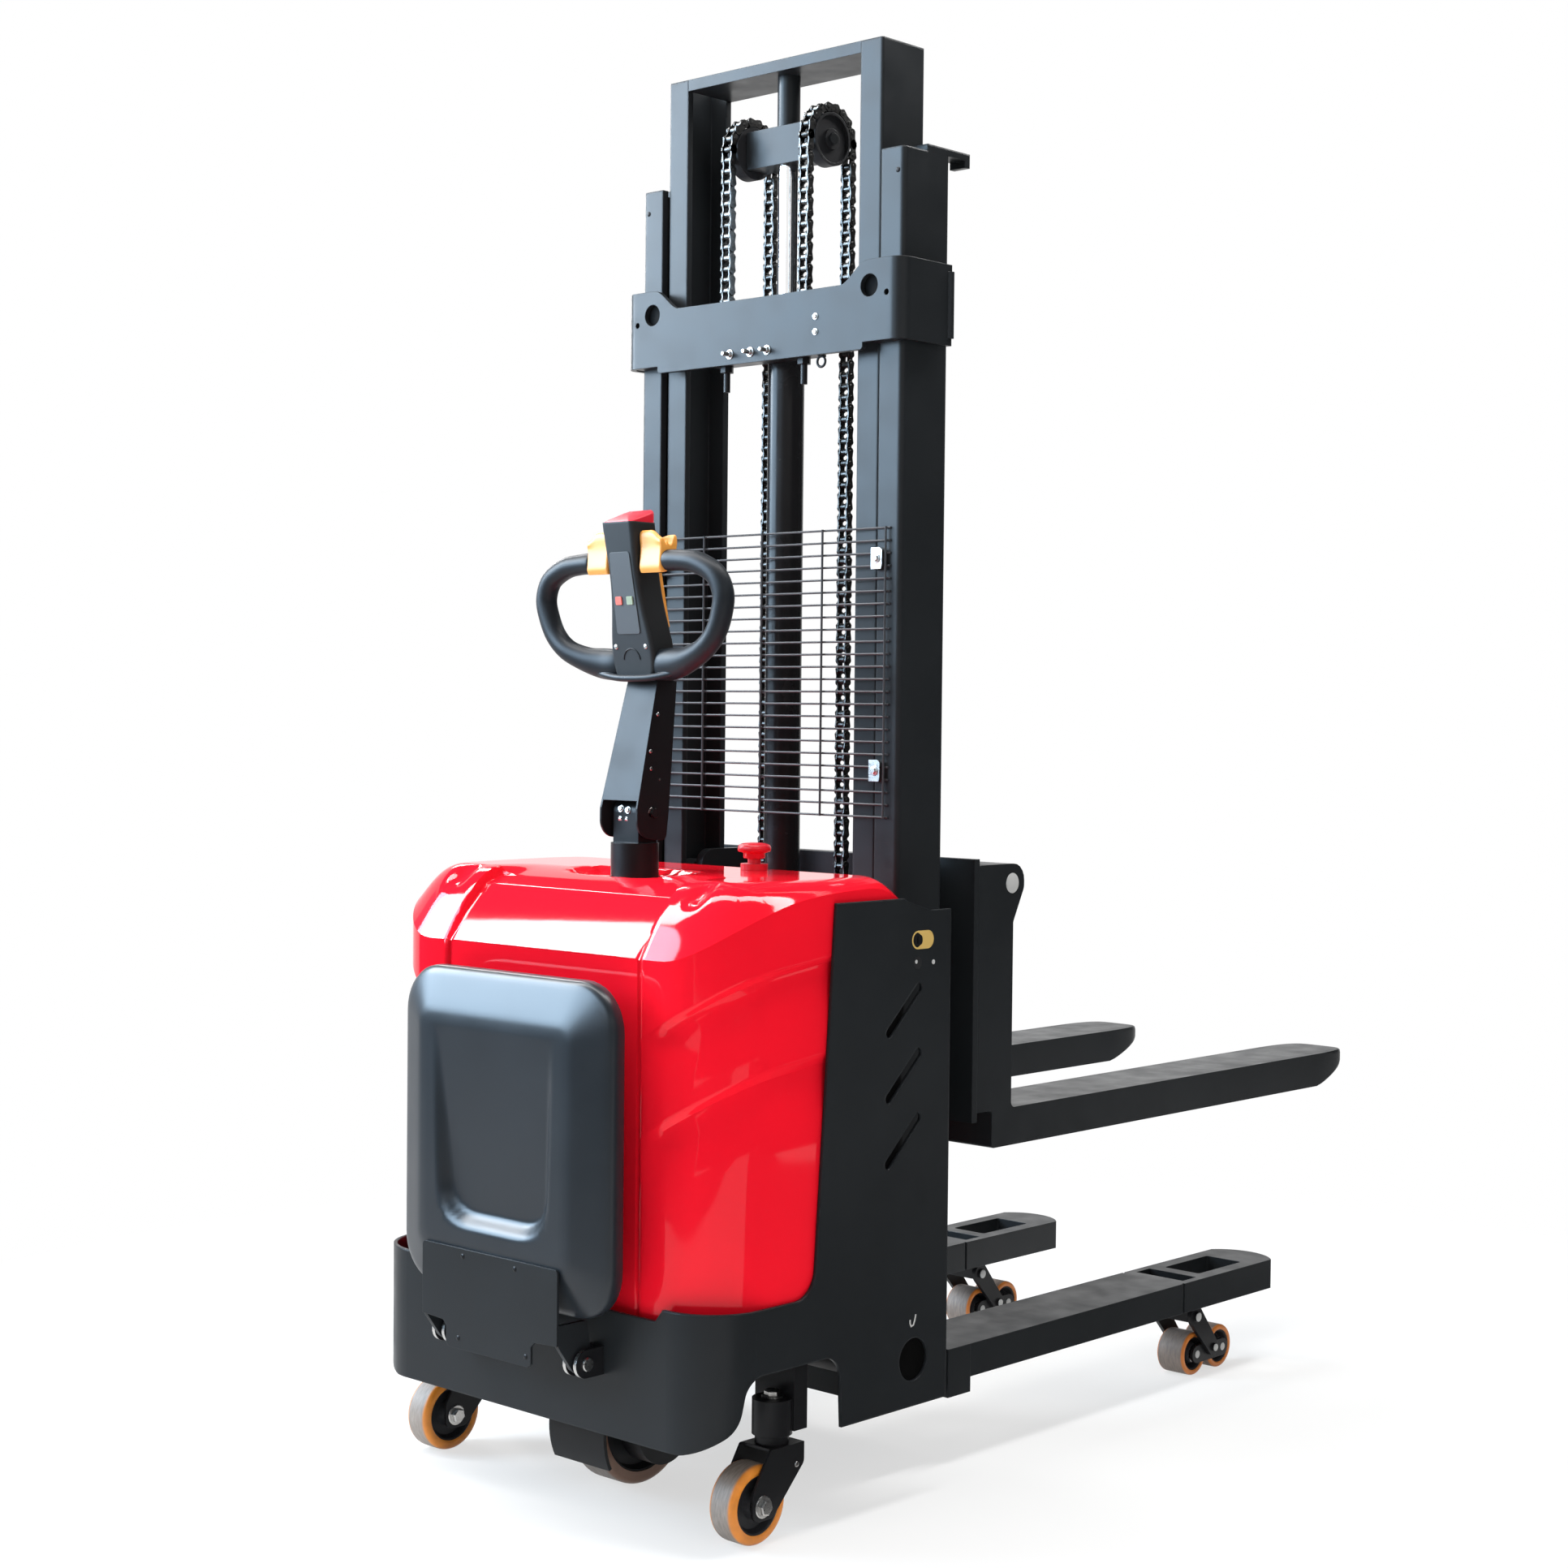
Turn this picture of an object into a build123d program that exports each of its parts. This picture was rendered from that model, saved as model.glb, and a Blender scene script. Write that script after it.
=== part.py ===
from build123d import *
import os
from math import acos, asin, atan2, cos, hypot, pi, radians, sin

# Self-loading stacker, millimetres. Y = 0 is the rear face of the outer mast
# columns while modelling, +Y points along the forks, +X is the machine's right
# hand side and Z = 0 is the floor. The finished parts are shifted along Y so
# that the origin lies under the middle of the machine.

# Outer mast columns
OUTER_HALF = 310.0
OUTER_TOP = 2225.0
COLUMN_WIDTH = 50.0
COLUMN_DEPTH = 120.0
COLUMN_WEB = 12.0
COLUMN_FLANGE = 14.0
COLUMN_ROUND = 9.0
STOP_THICKNESS = 12.0
STOP_WIDTH = 34.0
STOP_REACH = 52.0

# Inner mast, drawn at the height that it has at rest
INNER_GAP = 57.0
INNER_WIDTH = 48.0
INNER_DEPTH = 110.0
INNER_REAR = 8.0
INNER_WEB = 10.0
INNER_FLANGE = 12.0
INNER_TOP = 2415.0
INNER_BOTTOM = 325.0
TOP_BAR_THICKNESS = 20.0
BOTTOM_BAR_DEPTH = 20.0
BOTTOM_BAR_HEIGHT = 60.0

# Rollers of the mast and the carriage
ROLLER_PLAY = 0.5
ROLLER_WIDTH = 32.0
ROLLER_STUB_R = 17.0
ROLLER_BORE_PLAY = 0.1
ROLLER_FACE_GAP = 3.0
GUIDE_ROLLER_RISE = 62.0

# Roller chains and their wheels
CHAIN_X = 92.0
CHAIN_PITCH = 19.05
CHAIN_WIDTH = 24.0
CHAIN_PLATE_HALF = 8.5
CHAIN_WAIST_HALF = 6.0
CHAIN_PLATE_FLAT = 5.0
WRAP_LINKS = 9
WHEEL_CENTRE_Y = 52.0
WHEEL_CENTRE_Z = 2273.0
WHEEL_CLEARANCE = 0.6
WHEEL_DISH = 5.0
WHEEL_HUB_R = 18.0
WHEEL_PIN_R = 10.0
CLEVIS_HEIGHT = 24.0
ANCHOR_ROD_R = 6.0
ANCHOR_ROD_LENGTH = 46.0

# Crosshead, post and lift cylinder
CROSSHEAD_HALF = 78.0
CROSSHEAD_DEPTH = 50.0
CROSSHEAD_HEIGHT = 66.0
POST_R = 20.0
ROD_R = 18.0
ROD_FOOT = 540.0
PISTON_LENGTH = 40.0
BARREL_R = 32.0
BARREL_BORE_R = 25.0
BARREL_TOP = 1972.0
BARREL_FLOOR = 20.0
GLAND_R = 36.0
GLAND_HEIGHT = 28.0
SLIDE_FIT = 0.06

# Crossmember round the outer columns
SLEEVE_STAND_OFF = 16.0
SLEEVE_THICKNESS = 10.0
SLEEVE_BOTTOM = 1903.0
SLEEVE_END_HEIGHT = 136.0
SLEEVE_MID_HEIGHT = 99.0
SLEEVE_MID_DROP = 12.0
SLEEVE_SIDE_DEPTH = 132.0
SLEEVE_EAR_INNER = 208.0
SLEEVE_EAR_ROUND = 24.0
SLEEVE_WEB_ROUND = 40.0
SLEEVE_LIP = 5.0
SLEEVE_HOLE_R = 15.0
SLEEVE_HOLE_X = 258.0
SLEEVE_HOLE_DROP = 43.0
SLEEVE_SMALL_R = 4.5
SLEEVE_SMALL_X = 296.0
SHELF_HALF = 124.0
SHELF_THICKNESS = 10.0
SHELF_BARREL_GAP = 2.0

# Mast foot and leg root
FOOT_BOTTOM = 118.0
FOOT_TOP = 158.0
ROOT_LENGTH = 61.0

# Support legs
LEG_X = 266.0
LEG_WIDTH = 140.0
LEG_TOP = 201.0
LEG_HEIGHT = 57.0
LEG_WALL = 8.0
LEG_SEAM_Y = 828.0
LEG_END_Y = 1175.0
LEG_NOSE = 35.0
LEG_SEAM_WIDTH = 7.0
LEG_SEAM_DEPTH = 3.0
POCKET_START = 928.0
POCKET_LENGTH = 150.0
POCKET_WIDTH = 80.0
SLOT_START = 852.0
SLOT_LENGTH = 46.0
SLOT_WIDTH = 108.0
SLOT_DEPTH = 40.0

# Load rollers, bogies and their brackets
LOAD_ROLLER_R = 42.0
LOAD_ROLLER_WIDTH = 60.0
LOAD_ROLLER_HUB_R = 20.0
LOAD_ROLLER_DISH = 5.0
AXLE_R = 8.0
AXLE_PLAY = 0.08
BOGIE_Y = 975.0
BOGIE_SPACING = 88.0
BOGIE_PIVOT_Z = 50.0
BOGIE_SIDE_GAP = 1.5
BOGIE_PLATE = 6.0
BOGIE_PLATE_HALF = 17.0
LINK_PLATE = 8.0
LINK_GAP = 0.5
LINK_TOP_Y = 914.0
LINK_TOP_Z = 130.0
LINK_R = 20.0
LINK_BLOCK_LENGTH = 40.0
LINK_BLOCK_DROP = 33.0
BOLT_HEAD = 4.0

# Carriage and forks
CARRIAGE_BOTTOM = 580.0
CARRIAGE_TOP = 1035.0
CARRIAGE_FRONT = 200.0
CARRIAGE_PLATE = 14.0
CARRIAGE_HALF = 328.0
CARRIAGE_BAR_DEPTH = 18.0
CARRIAGE_BAR_HEIGHT = 76.0
CARRIAGE_SIDE = 16.0
CARRIAGE_SIDE_GAP = 6.0
CARRIAGE_SIDE_REAR = 38.0
CARRIAGE_CORNER = 28.0
CARRIAGE_ROLLER_INSET = 62.0
CHAIN_SEAT_WIDTH = 34.0
CHAIN_SEAT_HEIGHT = 64.0
CHAIN_SEAT_RISE = 24.0
FORK_X = 258.0
FORK_WIDTH = 140.0
FORK_BOTTOM = 530.0
FORK_THICKNESS = 66.0
FORK_SHANK = 96.0
FORK_LENGTH = 1154.0
FORK_TAPER = 118.0
FORK_EDGE = 6.0
FORK_NOSE_BEND = 30.0
FORK_HEEL_BEND = 10.0
FORK_TIP = 22.0
FORK_TIP_WIDTH = 84.0
FORK_HEEL_STEP = 42.0
FORK_WALL = 14.0
SHAFT_R = 18.0
SHAFT_Z = 990.0
SHAFT_INSET = 4.0
LUG_R = 34.0
SHAFT_PLAY = 0.1

# Chassis shell
BODY_HALF = 412.0
SKIRT_REAR = -532.0
SKIRT_CORNER = 100.0
SHELL = 6.0
SHELL_BOTTOM = 155.0
SKIRT_TOP = 372.0
SKIRT_DIP = 20.0
SKIRT_DIP_HALF = 287.0
SKIRT_DIP_SLANT = 16.0
SKIRT_ROUND = 45.0
PANEL_TOP = 986.0
PANEL_TAB_TOP = 964.0
PANEL_FRONT = 20.0
PANEL_REAR_TOP = -263.0
PANEL_REAR_LOW = -306.0
PANEL_SHOULDER_SHARE = 0.55
PANEL_TAB_SHARE = 0.82
PANEL_ROUND = 25.0
ARCH_TOP = 271.0
ARCH_REAR = -452.0
ARCH_FRONT = -246.0
ARCH_FLARE = 16.0
ARCH_FLARE_Z = 195.0
ARCH_FLARE_ROUND = 60.0
ARCH_ROUND = 36.0
VENT_Y = -97.0
VENT_Z = 805.0
VENT_STEP = 106.0
VENT_COUNT = 3
VENT_LENGTH = 116.0
VENT_WIDTH = 16.0
VENT_ANGLE = 43.0
JACK_HOLE_R = 35.0
JACK_HOLE_Y = -65.0
JACK_HOLE_Z = 232.0
KEY_Y = -65.0
KEY_Z = 917.0
KEY_R = 11.8
KEY_HOLE_PLAY = 0.2
KEY_LENGTH = 12.0
KEY_SLOT_HALF = 1.4
KEY_SLOT_REACH = 7.0

# Base plate and what stands on it
BASE_TOP = 284.0
BASE_THICKNESS = 8.0
BASE_EDGE_GAP = 0.5
BASE_HOLE_R = 80.0
REST_LENGTH = 60.0
REST_DEPTH = 14.0
BATTERY_SIDE_GAP = 154.0
BATTERY_DEPTH = 156.0
BATTERY_HEIGHT = 350.0
BATTERY_FRONT = -36.0
BATTERY_LID_INSET = 5.0
BATTERY_LID_HEIGHT = 15.0
BATTERY_POST_R = 10.0
BATTERY_POST_HEIGHT = 30.0
BATTERY_POST_INSET = 75.0
PUMP_SIDE_GAP = 174.0
PUMP_Y = -372.0
PUMP_MOTOR_R = 62.0
PUMP_MOTOR_HEIGHT = 180.0
TANK_LENGTH = 190.0
TANK_DEPTH = 110.0
TANK_HEIGHT = 150.0
VALVE_HALF = 43.0

# Hood
HOOD_GAP = 2.0
HOOD_REAR_GAP = 10.0
HOOD_FRONT = -30.0
HOOD_TOP = 1020.0
HOOD_BOTTOM = 332.0
HOOD_CORNER = 130.0
HOOD_FRONT_CORNER = 95.0
HOOD_SHOULDER = 112.0
HOOD_FRONT_DROP = 56.0
HOOD_EDGE = 16.0
HOOD_WALL = 5.0
HOOD_GROOVE_X = 228.0
HOOD_GROOVE_WIDTH = 6.0
HOOD_GROOVE_DEPTH = 3.0
HOOD_FLUTE_DEPTH = 4.5
HOOD_FLUTE_Z = 776.0
HOOD_FLUTE_STEP = 152.0
HOOD_FLUTE_RISE_X = 0.55
HOOD_FLUTE_RISE_Y = 0.12
HOOD_FLUTE_WIDTH = 34.0
HOOD_COLUMN_PLAY = 6.0

# Emergency stop
STOP_X = 125.0
STOP_Y = -150.0
STOP_COLLAR_R = 23.0
STOP_COLLAR_HEIGHT = 11.0
STOP_NECK_R = 11.0
STOP_KNOB_R = 28.0
STOP_KNOB_HEIGHT = 21.0
STOP_KNOB_CHAMFER = 5.0
STOP_KNOB_GAP = 6.0
STOP_TRAVEL = 8.0
STOP_PLAY = 0.3

# Steered drive
STEER_Y = -307.0
DRIVE_WHEEL_R = 105.0
DRIVE_WHEEL_WIDTH = 70.0
DRIVE_WHEEL_BORE_R = 22.0
DRIVE_WHEEL_DISH = 12.0
DRIVE_HUB_PLAY = 0.1
GEARBOX_GAP = 5.0
GEARBOX_WIDTH = 46.0
GEARBOX_R = 62.0
NECK_R = 74.0
NECK_BOTTOM = 214.0
RING_R = 106.0
RING_HEIGHT = 12.0
SEAT_GAP = 0.3
MOTOR_R = 66.0
MOTOR_HEIGHT = 172.0
GUARD_GAP = 11.0
GUARD_THICKNESS = 6.0
GUARD_HALF = 66.0
GUARD_START = 95.0
GUARD_END = 207.0
STEER_TUBE_R = 24.0
TILLER_BASE_R = 40.0
TILLER_BASE_TOP = 1066.0
TILLER_PIVOT_Z = 1116.0
TILLER_PIN_R = 8.0
PIVOT_BLOCK_HALF = 30.0
PIVOT_BLOCK_R = 21.0

# Tiller arm
ARM_HALF_LOW = 45.0
ARM_HALF_HIGH = 35.0
ARM_SHEET = 4.0
ARM_TOP = 1335.0
ARM_OPEN_TOP = 1136.0
ARM_FOOT_GAP = 3.0
ARM_FOOT_RISE = 8.0
ARM_HEEL_ROUND = 30.0
ARM_TOE_ROUND = 12.0
ARM_LOW_REAR = -345.0
ARM_LOW_FRONT = -279.0
ARM_HIGH_REAR = -292.0
ARM_HIGH_FRONT = -247.0

# Tiller head
HEAD_HALF = 36.0
HEAD_FLARE_HALF = 49.0
HEAD_FOOT_HALF = 42.0
HEAD_FLARE_Z = 1390.0
HEAD_WAIST_Z = 1472.0
HEAD_TOP = 1594.0
HEAD_FOOT_REAR = -310.0
HEAD_FOOT_FRONT = -256.0
HEAD_TOP_REAR = -357.0
HEAD_TOP_FRONT = -298.0
HEAD_ROUND = 8.0
CAP_HEIGHT = 20.0
CAP_TRAVEL = 4.0
CAP_STEM_INSET = 9.0
CAP_STEM = 11.0
CAP_BROW = 8.0
CAP_BACK = 26.0
PANEL_BUTTON = 14.0
PANEL_BUTTON_Z = 1466.0
PANEL_BUTTON_X = 13.0
PANEL_BUTTON_PROUD = 3.0
PANEL_BUTTON_DEPTH = 6.0
PANEL_BUTTON_TRAVEL = 2.0
PANEL_BUTTON_ROUND = 2.0
BUTTON_PLAY = 0.3
GRIP_R = 18.0
GRIP_REACH = 210.0
GRIP_TOP = 1530.0
GRIP_DROP = 166.0
GRIP_SET_IN = 23.0
GRIP_LEAN = 4.0
GRIP_BEND = 58.0
GRIP_START = 90.0
GRIP_NECK_R = 9.0
YOKE_START = 150.0
YOKE_FULL = 88.0
YOKE_HEIGHT = 58.0
YOKE_DEPTH = 40.0
YOKE_TUCK = 14.0
YOKE_SECTIONS = 4
PADDLE_GAP = 2.0
PADDLE_HUB_R = 14.0
PADDLE_UP = 50.0
PADDLE_DOWN = 20.0
PADDLE_LIP = 4.0
PADDLE_WING = 15.0
PADDLE_ROUND = 5.0
PADDLE_PLAY = 0.1
LEVER_PIVOT_Z = 1520.0
LEVER_LENGTH = 96.0
LEVER_HALF = 13.0
LEVER_STAND_OFF = 16.0
LEVER_FOOT_GAP = 22.0
LEVER_THICKNESS = 6.0
LEVER_BARREL_R = 6.0
LEVER_PIN_R = 2.5
LEVER_EAR = 4.0

# Folding platform
PAD_HALF = 248.0
PAD_BOTTOM = 345.0
PAD_TOP = 868.0
PAD_FRONT = -560.0
PAD_THICKNESS = 56.0
PAD_BEVEL = 30.0
PAD_BEVEL_WIDTH = 74.0
PAD_CORNER = 78.0
PAD_FACE_CORNER = 20.0
PAD_RECESS_DEPTH = 20.0
PAD_RECESS_TOP = 772.0
PAD_RECESS_LOW = 453.0
PAD_RECESS_TOP_HALF = 146.0
PAD_RECESS_LOW_HALF = 134.0
PAD_RECESS_ROUND = 68.0
PAD_RECESS_SLOPE = 34.0
PLATE_THICKNESS = 6.0
PLATE_HALF = 162.0
PLATE_TOP = 424.0
PLATE_BOTTOM = 262.0
PLATE_EAR_RISE = 44.0
PLATE_EAR_SLOPE = 10.0
PLATE_EAR_WIDTH = 32.0
PLATE_ROUND = 6.0
PLATE_LUG = 8.0
HINGE_Y = -568.0
HINGE_Z = 272.0
HINGE_PIN_R = 8.0
HINGE_EAR = 8.0
HINGE_EAR_GAP = 4.0
HINGE_EAR_R = 22.0
HINGE_PLAY = 0.1

# Casters
TYRE_SHARE = 0.8
CASTER_INSET = 47.0
CASTER_Y = -351.0
CASTER_TRAIL = 55.0
CASTER_WHEEL_R = 62.5
CASTER_WHEEL_WIDTH = 50.0
CASTER_HUB_R = 26.0
CASTER_DISH = 6.0
CASTER_SIDE_GAP = 4.0
CASTER_SHEET = 5.0
CASTER_HEAD_TOP = 146.0
CASTER_HEAD_HALF = 38.0
CASTER_BOSS = 22.0
CASTER_CHEEK_Z = 114.0
CASTER_ROUND = 14.0
CASTER_SPINDLE_R = 12.0
CASTER_COLLAR_R = 27.0
HOUSING_R = 32.0
HOUSING_BOTTOM = 160.0
HOUSING_TOP = 216.0
HOUSING_ARM_WIDTH = 84.0
HOUSING_ARM_DEPTH = 30.0

# Wire mesh guard
MESH_WIRE_R = 2.0
MESH_HALF = 290.0
MESH_BOTTOM = 1110.0
MESH_TOP = 1594.0
MESH_ROWS = 24
MESH_UPRIGHTS = 5
MESH_UPRIGHT_HALF = 283.0
MESH_TOUCH = 0.05

# Values worked out from the sizes above
INNER_OUTSIDE = OUTER_HALF - INNER_GAP
INNER_INSIDE = INNER_OUTSIDE - INNER_WIDTH
INNER_FRONT = INNER_REAR + INNER_DEPTH
OUTER_INSIDE = OUTER_HALF - COLUMN_WIDTH
CHAIN_RADIUS = CHAIN_PITCH / (2 * sin(pi / (2 * WRAP_LINKS)))
FRONT_CHAIN_Y = WHEEL_CENTRE_Y - CHAIN_RADIUS
REAR_CHAIN_Y = WHEEL_CENTRE_Y + CHAIN_RADIUS
CROSSHEAD_BOTTOM = WHEEL_CENTRE_Z - CROSSHEAD_HEIGHT / 2
CROSSHEAD_TOP = WHEEL_CENTRE_Z + CROSSHEAD_HEIGHT / 2
SLEEVE_END_TOP = SLEEVE_BOTTOM + SLEEVE_END_HEIGHT
SLEEVE_MID_TOP = SLEEVE_BOTTOM + SLEEVE_MID_HEIGHT
SLEEVE_REAR = -SLEEVE_STAND_OFF - SLEEVE_THICKNESS
SLEEVE_HALF = OUTER_HALF + SLEEVE_STAND_OFF / 2 + SLEEVE_THICKNESS
SHELF_TOP = SLEEVE_BOTTOM
LOWER_BAR_TOP = CARRIAGE_BOTTOM + CARRIAGE_BAR_HEIGHT
FRONT_LINKS = int((WHEEL_CENTRE_Z - SHELF_TOP - CLEVIS_HEIGHT) / CHAIN_PITCH)
REAR_LINKS = int((WHEEL_CENTRE_Z - LOWER_BAR_TOP - CHAIN_SEAT_RISE) / CHAIN_PITCH)
FRONT_CHAIN_END = WHEEL_CENTRE_Z - FRONT_LINKS * CHAIN_PITCH
REAR_CHAIN_END = WHEEL_CENTRE_Z - REAR_LINKS * CHAIN_PITCH
ROOT_FRONT = COLUMN_DEPTH + ROOT_LENGTH
LEG_BOTTOM = LEG_TOP - LEG_HEIGHT
FORK_FRONT = CARRIAGE_FRONT + FORK_SHANK
FORK_TIP_Y = FORK_FRONT + FORK_LENGTH
FORK_TOP = FORK_BOTTOM + FORK_THICKNESS
SHAFT_Y = FORK_FRONT - SHAFT_INSET
PAD_REAR = PAD_FRONT - PAD_THICKNESS
PLATE_REAR = PAD_REAR - PLATE_THICKNESS
BASE_BOTTOM = BASE_TOP - BASE_THICKNESS
HOOD_HALF = BODY_HALF - SHELL - HOOD_GAP
HOOD_REAR = SKIRT_REAR + SHELL + HOOD_REAR_GAP
BATTERY_HALF = HOOD_HALF - BATTERY_SIDE_GAP
PUMP_X = PUMP_SIDE_GAP - HOOD_HALF
CASTER_X = BODY_HALF - CASTER_INSET
REAR_END = PLATE_REAR
Y_MID = (REAR_END + FORK_TIP_Y) / 2


def box(x_limits, y_limits, z_limits):
    """Block between three pairs of limits."""
    limits = (x_limits, y_limits, z_limits)
    sizes = [high - low for low, high in limits]
    middles = [(high + low) / 2 for low, high in limits]
    return Pos(*middles) * Box(*sizes)


def rod_x(y, z, radius, x_low, x_high):
    """Round bar along X."""
    return Pos((x_low + x_high) / 2, y, z) * Rot(0, 90, 0) * Cylinder(radius, x_high - x_low)


def rod_z(x, y, radius, z_low, z_high):
    """Round bar along Z."""
    return Pos(x, y, (z_low + z_high) / 2) * Cylinder(radius, z_high - z_low)


def rounded(points, radii):
    """Closed outline with a radius at each corner."""
    return make_face(FilletPolyline(*points, radius=radii, close=True))


def capsule(first, second):
    """Outline drawn tightly round two circles, each given as (y, z, radius)."""
    (y_1, z_1, r_1), (y_2, z_2, r_2) = first, second
    tilt = atan2(z_2 - z_1, y_2 - y_1)
    spread = acos((r_1 - r_2) / hypot(z_2 - z_1, y_2 - y_1))
    turns = ((first, spread), (second, spread), (second, -spread), (first, -spread))
    touch = [(y + r * cos(tilt + turn), z + r * sin(tilt + turn)) for (y, z, r), turn in turns]
    ends = Pos(y_1, z_1) * Circle(r_1) + Pos(y_2, z_2) * Circle(r_2)
    return make_face(Polyline(*touch, close=True)) + ends


def plate_x(face, x_low, x_high):
    """Outline in (y, z) with thickness along X."""
    return extrude(Plane.YZ.offset(x_low) * face, amount=x_high - x_low)


def plate_y(face, y_low, y_high):
    """Outline in (x, z) with thickness along Y."""
    return extrude(Plane.XZ.offset(-y_high) * face, amount=y_high - y_low)


def plate_z(face, z_low, z_high):
    """Outline in (x, y) with thickness along Z."""
    return extrude(Plane.XY.offset(z_low) * face, amount=z_high - z_low)


def mirrored(shape):
    """The same shape on the machine's left hand side."""
    return mirror(shape, about=Plane.YZ)


def both(shape):
    """The shape and its mirror image in one group."""
    return shape + mirrored(shape)


def along(start, end, share):
    """Value between two others."""
    return start + (end - start) * share


# Outer mast

def channel_section(x_limits, y_limits, web, flange, radius):
    """Plan of a right hand channel, open towards the middle and rounded outside."""
    (x_in, x_out), (y_low, y_high) = x_limits, y_limits
    web_x = x_out - web
    corners = [(x_in, y_low), (x_out, y_low), (x_out, y_high), (x_in, y_high), (x_in, y_high - flange),
               (web_x, y_high - flange), (web_x, y_low + flange), (x_in, y_low + flange)]
    return rounded(corners, [0, radius, radius, 0, 0, 0, 0, 0])


def outer_column():
    """Right channel, open towards the middle, with the stop bracket on its top end."""
    section = channel_section((OUTER_INSIDE, OUTER_HALF), (0, COLUMN_DEPTH), COLUMN_WEB, COLUMN_FLANGE,
                              COLUMN_ROUND)
    channel = plate_z(section, FOOT_TOP, OUTER_TOP)
    stop_x = (OUTER_HALF - STOP_WIDTH, OUTER_HALF)
    stop_y = (COLUMN_DEPTH / 2, COLUMN_DEPTH + STOP_REACH)
    stop = box(stop_x, stop_y, (OUTER_TOP, OUTER_TOP + STOP_THICKNESS))
    lip = box(stop_x, (stop_y[1] - STOP_THICKNESS, stop_y[1]), (OUTER_TOP - STOP_THICKNESS, OUTER_TOP))
    return channel + stop + lip


def sleeve_face():
    """Rear view of the crossmember: two tall ears and a lower web between them."""
    low = SLEEVE_BOTTOM
    ear = SLEEVE_EAR_INNER
    step = OUTER_INSIDE - COLUMN_FLANGE
    top_x = OUTER_INSIDE - SLEEVE_MID_DROP
    right = [(step, low), (SLEEVE_HALF, low), (SLEEVE_HALF, SLEEVE_END_TOP), (top_x, SLEEVE_END_TOP),
             (ear, SLEEVE_MID_TOP)]
    left = [(-x, z) for x, z in reversed(right)]
    middle_low = [(-step, low - SLEEVE_MID_DROP), (step, low - SLEEVE_MID_DROP)]
    side_radii = [0, SLEEVE_LIP, SLEEVE_LIP, SLEEVE_EAR_ROUND, SLEEVE_WEB_ROUND]
    return rounded(right + left + middle_low, side_radii + side_radii[::-1] + [SLEEVE_LIP, SLEEVE_LIP])


def crossmember():
    """Bent plate round both outer columns with packing, and the shelf for chain ends."""
    face_plate = plate_y(sleeve_face(), SLEEVE_REAR, SLEEVE_REAR + SLEEVE_THICKNESS)
    height = (SLEEVE_BOTTOM, SLEEVE_END_TOP)
    side_y = (SLEEVE_REAR, SLEEVE_REAR + SLEEVE_SIDE_DEPTH)
    side = box((SLEEVE_HALF - SLEEVE_THICKNESS, SLEEVE_HALF), side_y, height)
    lip = box((SLEEVE_HALF, SLEEVE_HALF + SLEEVE_LIP), (side_y[1] - 2 * SLEEVE_LIP, side_y[1]),
              (SLEEVE_BOTTOM + SLEEVE_MID_DROP, SLEEVE_END_TOP - SLEEVE_MID_DROP))
    rear_packing = box((OUTER_INSIDE, OUTER_HALF), (-SLEEVE_STAND_OFF, 0), height)
    side_packing = box((OUTER_HALF, SLEEVE_HALF - SLEEVE_THICKNESS), (COLUMN_ROUND, side_y[1]), height)
    shelf_y = (-SLEEVE_STAND_OFF, WHEEL_CENTRE_Y - BARREL_R - SHELF_BARREL_GAP)
    shelf = box((-SHELF_HALF, SHELF_HALF), shelf_y, (SHELF_TOP - SHELF_THICKNESS, SHELF_TOP))
    hole_z = SLEEVE_END_TOP - SLEEVE_HOLE_DROP
    holes = plate_y(Pos(SLEEVE_HOLE_X, hole_z) * Circle(SLEEVE_HOLE_R), SLEEVE_REAR, -SLEEVE_STAND_OFF)
    holes += plate_y(Pos(SLEEVE_SMALL_X, hole_z - SLEEVE_HOLE_R) * Circle(SLEEVE_SMALL_R),
                     SLEEVE_REAR, -SLEEVE_STAND_OFF)
    rod_hole = rod_z(CHAIN_X, FRONT_CHAIN_Y, ANCHOR_ROD_R + SLIDE_FIT, SHELF_TOP - SHELF_THICKNESS, SHELF_TOP)
    return face_plate + shelf + both(side + lip + rear_packing + side_packing) - both(holes + rod_hole)


def foot_beam():
    """Beam under the outer columns, with the taller root that the legs are welded to."""
    foot = box((-OUTER_HALF, OUTER_HALF), (0, COLUMN_DEPTH), (FOOT_BOTTOM, FOOT_TOP))
    root_half = LEG_X + LEG_WIDTH / 2
    root = box((-root_half, root_half), (COLUMN_DEPTH, ROOT_FRONT), (FOOT_BOTTOM, LEG_TOP))
    return foot + root


def cylinder_barrel():
    """Lift cylinder tube with a closed foot, standing on the foot beam."""
    tube = rod_z(0, WHEEL_CENTRE_Y, BARREL_R, FOOT_TOP, BARREL_TOP)
    return tube - rod_z(0, WHEEL_CENTRE_Y, BARREL_BORE_R, FOOT_TOP + BARREL_FLOOR, BARREL_TOP)


def cylinder_gland():
    """Collar screwed on the top of the barrel, which guides the rod."""
    ring = rod_z(0, WHEEL_CENTRE_Y, GLAND_R, BARREL_TOP, BARREL_TOP + GLAND_HEIGHT)
    return ring - rod_z(0, WHEEL_CENTRE_Y, ROD_R + SLIDE_FIT, BARREL_TOP, BARREL_TOP + GLAND_HEIGHT)


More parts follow.
